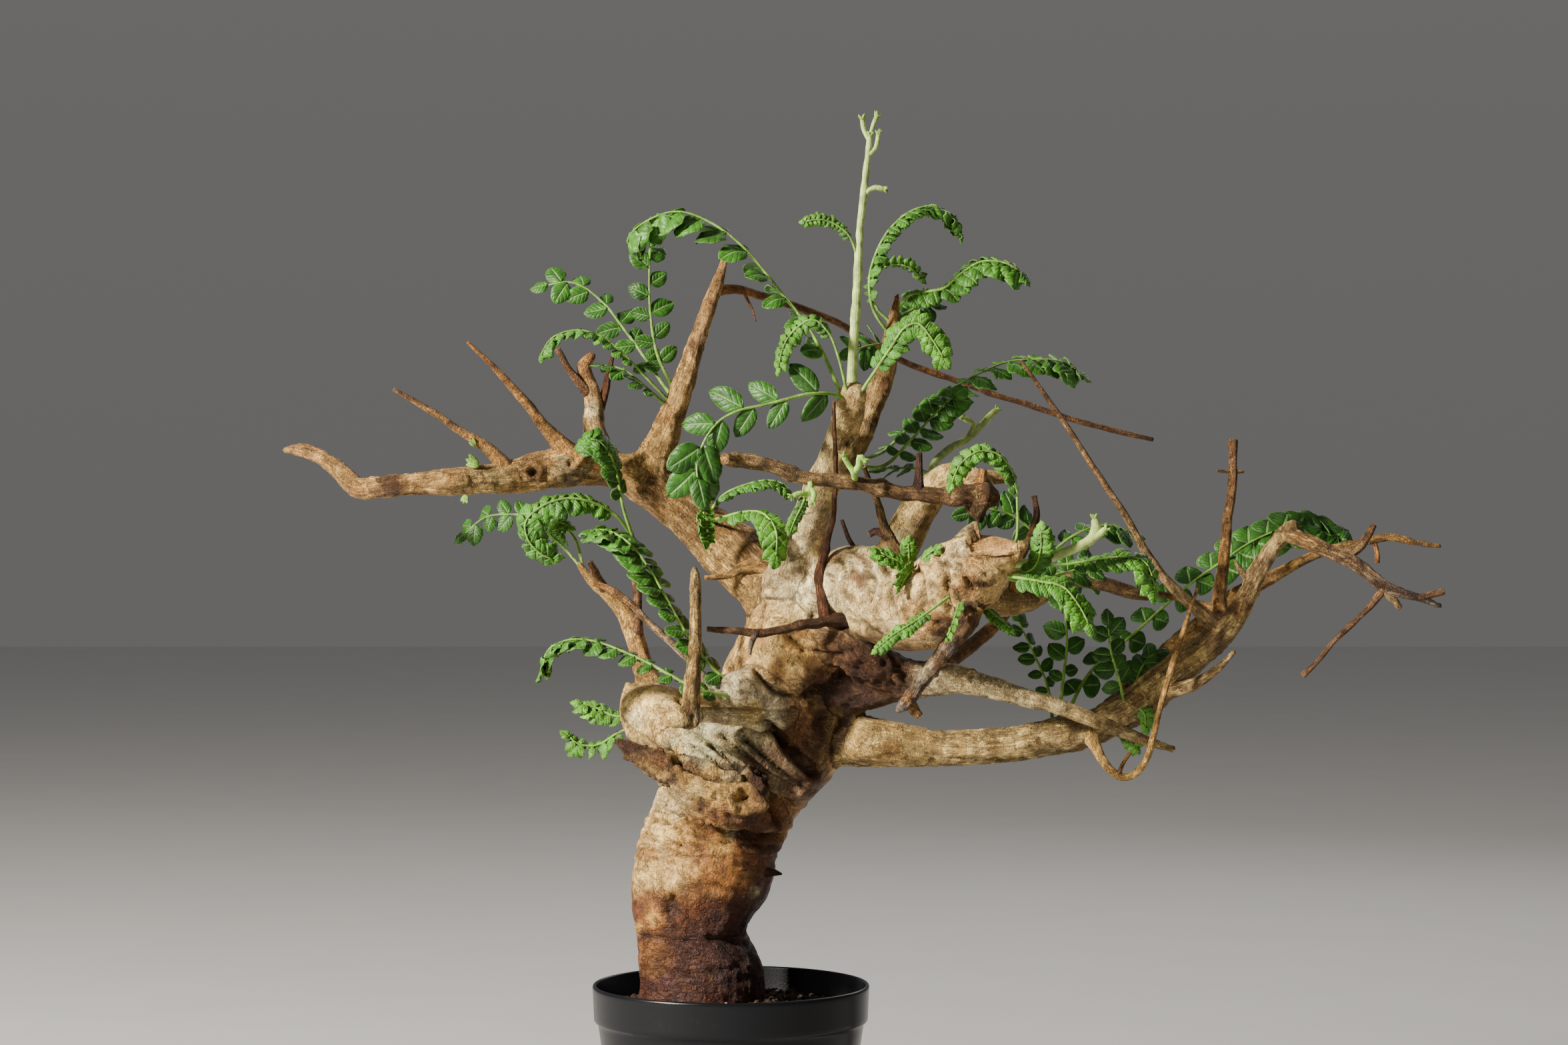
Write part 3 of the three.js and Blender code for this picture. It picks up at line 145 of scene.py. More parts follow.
# Limbs and twigs, each a tapering run of points [across, height, depth, radius]
LIMBS = {
    "trunk": limb(("rust", "tan"), 0.0, [(-11, 34, 0, 8), (-11, 60, 0, 20), (-11.5, 84, 0, 24),
        (-11.5, 98, 0, 23.5), (-15, 109, 0, 21), (-15.5, 118, 0, 21.5), (-14, 129, 0, 24),
        (-10.4, 140, 0, 26.5), (-7.6, 150, 0, 25.8), (-2.5, 160, 0, 25.3), (3.5, 169.5, 0, 24.5),
        (11, 180, 0, 24.8), (17, 190, -1, 27), (20, 200, -2, 27.5), (22, 212, -4, 24), (24, 224, -6, 20),
        (25, 236, -9, 15)], flat=0.86),
    "foot": limb(("rust", "rust"), 0.1, [(-6, 74, 0, 9), (2, 92, -5, 9.5), (4, 101, -6, 7),
        (4, 108, -7, 3)]),
    "root_left": limb(("rust", "rust"), 0.1, [(-16, 68, 0, 11), (-28, 52, 6, 6), (-33, 28, 12, 2)]),
    "root_right": limb(("rust", "rust"), 0.1, [(-5, 68, 0, 11), (10, 52, -6, 6), (19, 26, -12, 2)]),
    "root_back": limb(("rust", "rust"), 0.1, [(-10, 66, 4, 11), (-8, 48, 17, 6), (-4, 24, 24, 2)]),
    "shoulder": limb(("tan", "cream"), 0.05, [(-2, 184, 0, 19), (-15, 190, 1, 16), (-26, 193.5, 2, 13.5),
        (-33, 197, 4, 9.5), (-37, 202, 6, 5), (-39, 208, 7, 1.6)]),
    "cheek": limb(("cream", "cream"), 0.05, [(-14, 186, -4, 12), (-27, 188, -3, 10), (-34, 190, -1, 5)]),
    "shoulder_face": limb(("cream", "cream"), 0.05, [(-14, 191, -9, 12), (-24, 196, -6, 11.5),
        (-32, 199, -1, 9)], blend=5),
    "callus": limb(("umber", "golden"), 0.35, [(-43, 187, -16, 1.4), (-35, 182, -20, 4.2),
        (-27, 178, -24, 5.5), (-19, 174, -27, 7.5), (-11, 169, -28, 11), (-3, 166, -29, 12.5),
        (4, 165.5, -32, 10.5), (7, 165.5, -37, 6.5)], blend=1.2),
    "callus_belly": limb(("orange", "rust"), 0.15, [(-16, 166, -14, 8), (-6, 164, -15, 12),
        (5, 163, -15, 12.5), (12, 160, -11, 9)], blend=1.5),
    "fold": limb(("celadon", "celadon"), 0.0, [(-25, 189, -14, 3.4), (-17, 187, -23, 4.8),
        (-9, 182, -27, 5.2), (2, 178, -27, 6)], blend=1),
    "fold_upper": limb(("celadon", "rust"), 0.0, [(-12, 190, -20, 7), (0, 186, -24, 8), (14, 180, -24, 9),
        (26, 172, -18, 8)], blend=1),
    "bulge": limb(("tan", "cream"), 0.08, [(10, 202, -8, 13), (18, 212, -12, 17), (24, 223, -13, 18.5),
        (25, 236, -13, 14)]),
    "prong": limb(("tan", "grey"), 0.08, [(24, 206, -10, 14), (12, 205, -23, 10.5), (4, 206.5, -28, 8),
        (-3, 207, -30, 5)]),
    "prong_twig": twig(("grey", "orange"), [(-2, 206.5, -30, 4), (-10, 211, -30, 2), (-15, 217, -30, 1.6),
        (-22, 224, -30, 1.5), (-30, 231, -30, 1.4), (-38, 239, -30, 1.3), (-45, 244, -29, 1.3),
        (-52, 247, -28, 1.1)], rough=0.6),
    # dead_level's white-to-cream tint is paler than its bark: painted light against the shade that falls on
    # the arm
    "dead_level": limb(("white", "cream"), 0.35, [(19, 198, -22, 7), (10, 196, -30, 4),
        (0, 196.5, -36, 3.4), (-10, 197, -42, 3), (-18, 196, -47, 3.2), (-22, 195, -48, 3)], blend=1.5),
    "dead_post": limb(("golden", "cream"), 1.0, [(-15.5, 195, -47, 3.6), (-15, 205, -48, 3.3),
        (-14, 215, -49, 2.9), (-13.5, 226, -50, 2.4), (-13.5, 238, -51, 2.2), (-13.5, 249, -52, 2.1),
        (-14, 252.5, -52, 1.2)], blend=0.8),
    "back_prong": limb(("tan", "golden"), 0.45, [(-27, 197, 8, 7), (-30, 207, 9, 5.2), (-33, 214, 10, 4.4),
        (-36, 224, 12, 3.9), (-40, 235, 15, 3.4), (-47, 243, 18, 2.7), (-53, 248, 19, 2),
        (-57.5, 254, 20, 1.4)]),
    "back_prong_fork": twig(("brown", "brown"), [(-47, 243, 18, 2.2), (-50.5, 249, 15, 1.8),
        (-53.5, 255, 13, 1.2)]),
    "back_prong_twig": twig(("brown", "brown"), [(-36, 224, 12, 3), (-35.5, 236, 11, 2), (-36, 247, 9, 1.7),
        (-37, 257, 7, 1.5), (-38, 266, 5, 1.2)]),
    "left_limb": limb(("golden", "cut"), 0.65, [(23, 236, -8, 15), (14, 247, 0, 13), (4, 256, 6, 12.5),
        (-5, 263, 9, 11), (-15, 272, 10, 9.5), (-25, 280, 11, 9), (-34, 287, 12, 8.6), (-45, 290, 12, 6.6),
        (-53, 291, 11, 7.2), (-60, 291.5, 9, 8.2), (-70, 290, 7, 7.8), (-80, 288, 5, 6.9),
        (-90, 286.5, 0, 6), (-105, 285.5, -5, 5.3), (-120, 284.5, -5, 4.5), (-132, 283.5, -3, 4.3),
        (-141, 283, 1, 4), (-150, 291, 7, 3.3), (-157, 295.5, 12, 3), (-163, 297.5, 16, 2.6),
        (-169, 297.5, 20, 1.4)]),
    "horn": limb(("golden", "cut"), 0.65, [(-31, 286, 12, 9.5), (-29, 294, 11, 7.6), (-26, 301, 9, 6.2),
        (-22, 312, 7, 5.1), (-18, 323, 6, 4.6), (-15, 332, 5, 3.8), (-12, 342, 5, 3.2), (-8, 353, 5, 2.9),
        (-5, 361, 5, 2.6), (-3.6, 365.5, 5, 1.8), (-2.2, 370.5, 5, 1.5)]),
    "horn_twig": twig(("orange", "brown"), [(-6, 358, 5, 2.2), (2, 358.5, 10, 1.8), (10, 356.5, 16, 1.7),
        (20, 353.5, 24, 1.6), (30, 350, 32, 1.5), (40, 346, 38, 1.4), (50, 340, 44, 1.4),
        (62, 333, 50, 1.3), (72, 328.5, 56, 1.3), (85, 324, 62, 1.3), (100, 318.5, 68, 1.2),
        (115, 314, 74, 1.2), (130, 309, 79, 1.1), (145, 305, 84, 1.1), (160, 301.5, 88, 0.9)], rough=0.45),
    "left_spike": twig(("tan", "brown"), [(-84, 288, 2, 4), (-89, 295, 0, 2.8), (-95, 300, -2, 2.1),
        (-103, 305, -4, 1.5), (-115, 313, -7, 1.3), (-128, 320.5, -10, 0.8)], rough=0.3),
    "middle_spike": twig(("tan", "orange"), [(-58, 293, 6, 5.5), (-65, 300, 4, 3.4), (-72, 308, 2, 2.3),
        (-80, 318, -1, 1.8), (-90, 329, -3, 1.2), (-100, 338.5, -5, 0.6)], rough=0.4),
    "crotch": limb(("cream", "orange"), 0.4, [(-46, 290, 14, 6), (-49, 298, 16, 5), (-52, 306, 18, 4.4),
        (-52, 314, 20, 4), (-53.5, 322, 21, 3.2), (-56, 329, 21, 2.8), (-53, 333, 21, 1.8)]),
    "crotch_left": twig(("brown", "brown"), [(-54, 319, 20, 2.6), (-60, 326, 18, 1.6),
        (-66, 336, 17, 1.2)]),
    "crotch_right": twig(("rust", "rust"), [(-50, 312, 20, 2), (-47.5, 322, 21, 1.4), (-45, 333, 22, 0.8)]),
    "neck": limb(("white", "cream"), 0.3, [(25, 234, -12, 14), (24, 249, -15, 11), (27, 261, -20, 8.6),
        (30, 272, -27, 7.2), (34, 282, -33, 6.2), (38.5, 292, -38, 6.2), (42, 302, -44, 6),
        (44.5, 311, -49, 5.5), (46, 318.5, -52, 5)]),
    "mast": limb(("cream", "tan"), 0.55, [(34, 284, -34, 5.3), (42, 293, -33, 5.8), (48.5, 302, -31, 5),
        (52, 311, -28, 4.6), (58, 326, -26, 4.2), (60.5, 339, -25, 3.2), (62, 349, -24, 2.1),
        (63, 356, -24, 1)]),
    "flaky_twig": twig(("rust", "brown"), [(36, 232, -35, 2.6), (34.5, 242, -34, 2.3), (34, 252, -34, 1.9),
        (36, 261, -35, 1.5), (38.5, 269, -38, 1.1), (39.5, 280, -44, 1), (39.3, 298, -53, 0.9),
        (39, 316, -59, 0.7)], rough=1.2),
    "thorn_twig": twig(("umber", "umber"), [(49, 255, -28, 1.6), (47, 260, -29, 1), (44.5, 264, -30, 0.9),
        (42, 271, -31, 0.7)]),
    "brow_twig": twig(("tan", "golden"), [(21, 247, -14, 4), (14, 252.5, -12, 2.8), (5, 253, -10, 2.4),
        (-1, 250, -9, 1.4), (-10, 249, -10, 1)]),
    "low_twig": twig(("umber", "brown"), [(46, 232, -30, 4.5), (38, 233, -35, 2.5), (30, 231.5, -39, 1.9),
        (20, 230, -42, 1.7), (10, 228, -44, 1.6), (0, 229, -45, 1.4), (-9, 229.5, -45, 1.1)], rough=1.0),
    "low_twig_spur": twig(("umber", "lilac"), [(10, 229, -44, 1.4), (8, 225, -45, 1.1),
        (7, 220, -46, 0.7)]),
    "knuckle": limb(("white", "golden"), 0.06, [(28, 236, -14, 12), (38, 243, -20, 13),
        (48, 247.5, -28, 13.8), (57, 243, -37, 13.5), (66, 239.5, -46, 14.5), (76, 240.5, -53, 15.2),
        (85, 247, -60, 15.5), (92, 252, -66, 13.2), (99, 257, -71, 9), (105, 259.5, -76, 5.8),
        (111, 261, -80, 1.6)]),
    "knuckle_belly": limb(("cream", "golden"), 0.2, [(52, 234, -38, 8), (62, 231, -44, 9),
        (72, 229.5, -51, 8), (81, 231, -56, 7)]),
    "knuckle_knob": limb(("white", "umber"), 0.3, [(88, 260, -64, 5), (91, 266, -67, 3.6),
        (92.5, 269, -68, 2)], blend=1.5),
    "hanging_stub": limb(("tan", "lilac"), 0.9, [(90, 243, -66, 8), (90, 235, -70, 5),
        (88.5, 230, -73, 3.6), (83, 224, -75, 3.2), (77.5, 216.5, -77, 3), (72, 209, -78, 2.8),
        (66, 201, -80, 2.4), (63.5, 199, -80, 1.6)], blend=1.5),
    "hanging_stub_fork": twig(("tan", "tan"), [(67, 202, -79, 2.2), (71.5, 196.5, -79, 1.4)]),
    "dark_mass": limb(("brown", "rust"), 0.7, [(34, 226, -20, 9), (44, 224, -28, 8.5), (52, 218, -29, 8.5),
        (60, 213, -27, 8), (70, 210.5, -26, 6.5), (78, 210, -27, 5.4)]),
    # under_mass is umber from end to end: partly the dark wood there and partly painted shade filling the
    # deep recess below the belly
    "under_mass": limb(("umber", "umber"), 0.5, [(34, 206, -8, 14), (46, 207, -14, 10), (58, 208, -20, 7.5),
        (68, 209, -24, 5.5)]),
    "pale_limb": limb(("white", "cream"), 0.45, [(66, 210, -24, 6.4), (76, 210.5, -27, 5.6),
        (84, 211, -29, 5.6), (92, 209, -31, 4.7), (100, 207, -32, 4.3), (110, 204, -33, 3.6),
        (120, 201.5, -34, 3.2), (130, 198, -34, 3), (140, 194, -35, 2.7), (150, 190, -35, 2.4),
        (158, 187, -36, 2), (167.5, 184, -36, 1.5)]),
    "back_limb": limb(("rust", "tan"), 0.5, [(52, 212, -19, 8), (62, 212, -9, 6), (76, 214, 4, 4),
        (88, 221, 18, 3.1), (100, 231, 31, 2.6), (110, 243, 42, 2.1), (118, 255, 50, 1.5)]),
    "knotted_limb": limb(("cream", "brown"), 0.45, [(78, 240, -42, 9), (88, 241, -38, 7),
        (96, 241, -36, 6.3), (106, 240, -33, 5.7), (115, 242, -29, 4.6), (122, 246, -25, 3.6),
        (131, 248, -22, 3.1), (140, 247, -19, 3), (150, 244, -17, 2.8), (158, 242, -15, 1.8)]),
    "behind_head_twig": twig(("tan", "umber"), [(107, 242, -34, 2.4), (109, 255, -44, 1.6),
        (113, 264, -46, 1.3), (116, 273, -46, 1.3), (115, 280, -45, 1)]),
    "white_limb": limb(("cream", "cream"), 0.3, [(56, 244, -32, 10), (62, 257, -29, 7.8),
        (67, 267, -28, 7.4), (72, 276, -30, 6.8), (78, 284, -35, 6), (86, 288, -42, 5.2),
        (94, 284, -49, 5.4)]),
    "white_limb_stub": twig(("tan", "cream"), [(88, 287, -44, 4), (98, 287, -42, 2.9),
        (107.5, 287.5, -41, 1.9)]),
    "dead_bar": twig(("straw", "brown"), [(-2.4, 294.2, -72, 2.3), (2.5, 293.6, -66.5, 2.3),
        (8, 293, -65, 2.3), (18, 290.5, -64, 2.4), (28, 287, -63, 2.6), (39, 285.5, -62, 2.6),
        (50, 284.5, -60, 2.6), (61, 282, -58, 2.9), (72, 281, -57, 3), (82, 280, -55, 3.3),
        (89, 280, -54, 4.3), (96, 280, -52, 4.8), (100.5, 279, -50, 3)], rough=1.0),
    "dead_bar_drop": twig(("straw", "umber"), [(92, 281, -52, 5.5), (93.5, 275, -53, 4),
        (94.5, 270, -53, 1)], rough=1.3),
    "dead_bar_stub": twig(("tan", "orange"), [(94, 283, -53, 2.8), (95.5, 290, -54, 1.6)]),
    "dead_bar_peg": twig(("umber", "umber"), [(71, 281, -57, 2.4), (71.5, 288, -57, 1.6),
        (71.5, 296.5, -57, 1.1)]),
    "crossing_twig": twig(("straw", "umber"), [(67, 249, -45, 3.6), (65, 256, -44, 2.6),
        (61, 263, -44, 2.1), (57.5, 270, -45, 1.7), (55, 279, -48, 1.3), (50.5, 291, -53, 0.8)], rough=0.7),
    "crossing_spur": twig(("umber", "umber"), [(61, 264, -44, 2), (55, 266.5, -44, 1.4),
        (52.5, 265.5, -44, 1.2)]),
    "right_limb": limb(("cream", "cream"), 0.7, [(20, 193, -2, 16), (36, 188.5, -4, 11.5),
        (46, 187.5, -9, 10.4), (56, 186.5, -11, 9.3), (72, 184.5, -12, 7.5), (90, 184.5, -15, 6.9),
        (108, 186, -16, 6.7), (124, 189, -17, 7.3), (135, 191.5, -18, 6.9), (145, 195.5, -19, 6.8),
        (155, 201.5, -22, 7.2), (163, 208.5, -25, 7.1), (172, 216, -28, 6.2), (180, 222.5, -30, 5.8),
        (187, 229, -33, 5.2), (192.5, 236, -34, 4.2), (196, 243, -35, 3.8), (199, 250, -36, 3.5),
        (204, 258, -38, 3.3), (209.5, 265, -39, 3), (213, 268.5, -40, 2.6)]),
    "right_limb_face": limb(("golden", "cream"), 0.35, [(51.5, 187, -17, 8.8), (60, 186, -16, 8.6),
        (72, 185, -14, 7.4)], blend=1),
    "right_tip": limb(("tan", "lilac"), 1.0, [(210, 266, -39, 2.9), (218, 263, -42, 3),
        (226, 259.5, -44, 2.8), (236, 255, -47, 2.7), (243, 249.5, -49, 2.7), (248, 245.5, -50, 2.5),
        (256, 242.8, -53, 1.9), (263, 240.8, -54, 1.5), (269, 238.3, -55, 1.1)], blend=0.8),
    "right_tip_fork": twig(("brown", "brown"), [(261, 241.5, -54, 1.4), (270.5, 243.8, -55, 1.3)]),
    "right_tip_nub": twig(("straw", "straw"), [(247, 245, -50, 2), (254, 237.5, -51, 1.1)]),
    "right_drop": twig(("brown", "brown"), [(248, 245, -50, 1.8), (241, 236.5, -50, 1.1),
        (230, 226, -50, 1), (222, 216.5, -50, 0.9), (217, 212, -50, 1.3)], rough=0.5),
    "right_up": twig(("straw", "rust"), [(229, 257, -45, 2.2), (237, 260, -45, 1.9), (241, 264, -45, 1.7),
        (244, 269, -45, 1.2)]),
    "far_branch": limb(("golden", "tan"), 0.8, [(146, 198, -16, 6), (154, 208, -9, 5), (165, 219, 0, 4.5),
        (178, 230.5, 8, 4.3), (190, 241, 9, 3.5), (204, 248.5, 8, 2.6), (218, 256, 7, 2.1),
        (230, 260.5, 5, 1.8), (240, 262.5, 4, 1.6), (250, 264.5, 3, 1.7), (259, 262.5, 2, 1.4),
        (269, 261, 0, 1)]),
    "long_whip": twig(("straw", "brown"), [(191, 230, -33, 4.4), (183, 232, -33, 3.6), (177, 237, -34, 2.6),
        (168, 245, -35, 2), (160, 255, -37, 1.6), (155, 263, -38, 1.5), (150, 272, -39, 1.3),
        (142, 284, -41, 1.2), (134, 296.5, -42, 1.1), (125, 310, -43, 1), (117, 321.5, -44, 0.8),
        (110, 331.5, -45, 0.6)], rough=0.35),
    "upright_whip": twig(("tan", "brown"), [(188, 229, -30, 4.2), (185.5, 236, -24, 3.2),
        (185.5, 244, -18, 2.6), (187, 256, -12, 2.2), (188.3, 270, -8, 1.9), (190.2, 285, -4, 1.7),
        (190.5, 298, -1, 1.6), (190.5, 301, 0, 1.9)], rough=0.4),
    "pink_twig": twig(("tan", "brown"), [(187, 236.5, -24, 2), (178, 239, -18, 1.5), (169, 241.5, -11, 1.3),
        (160, 243.5, -6, 1)], rough=0.5),
    "curl": twig(("golden", "tan"), [(136, 191, -20, 4.5), (138, 186, -25, 2.5), (140.5, 180.5, -28, 1.8),
        (144, 176, -31, 1.6), (148.5, 173.4, -33, 1.5), (153, 174.5, -34, 1.5), (157, 179, -38, 1.3),
        (160, 188, -42, 1.2), (163, 200, -43, 1.1), (166.5, 213, -44, 1.1), (171, 227, -45, 0.9),
        (177, 245, -47, 0.6)], rough=0.4),
    "curl_tendril": twig(("tan", "tan"), [(147, 174, -33, 1), (148.5, 178, -33, 0.8),
        (151.5, 182.5, -32, 0.7)], rough=0.4),
    "whip_peg": twig(("brown", "straw"), [(184.4, 289.6, -4, 0.5), (190, 289.3, -3.5, 0.8),
        (194.5, 289.4, -3, 0.6)]),
    "arm_spur": twig(("straw", "straw"), [(197, 247, -35, 1.4), (193, 252.5, -36, 1),
        (191.2, 255.5, -36, 0.6)]),
    "hanging_peg": twig(("orange", "orange"), [(244, 263, 4, 0.9), (245.3, 258, 3, 0.8),
        (245.2, 254.8, 3, 1.1)]),
    "horn_hair": twig(("orange", "brown"), [(5, 357, 12, 0.7), (8, 351, 12, 0.4),
        (9.5, 346, 12, 0.3)], rough=0.4),
    "root_thorn": twig(("rust", "umber"), [(12, 137, -9, 2.2), (16, 137.2, -9, 1.5),
        (19.3, 136.5, -9, 0.4)]),
    "low_spike": twig(("straw", "straw"), [(160, 204, -25, 4), (168, 206, -31, 2.9), (176, 208.5, -36, 2.2),
        (183, 213, -40, 1.6), (191, 221, -45, 0.8)], rough=0.7),
}

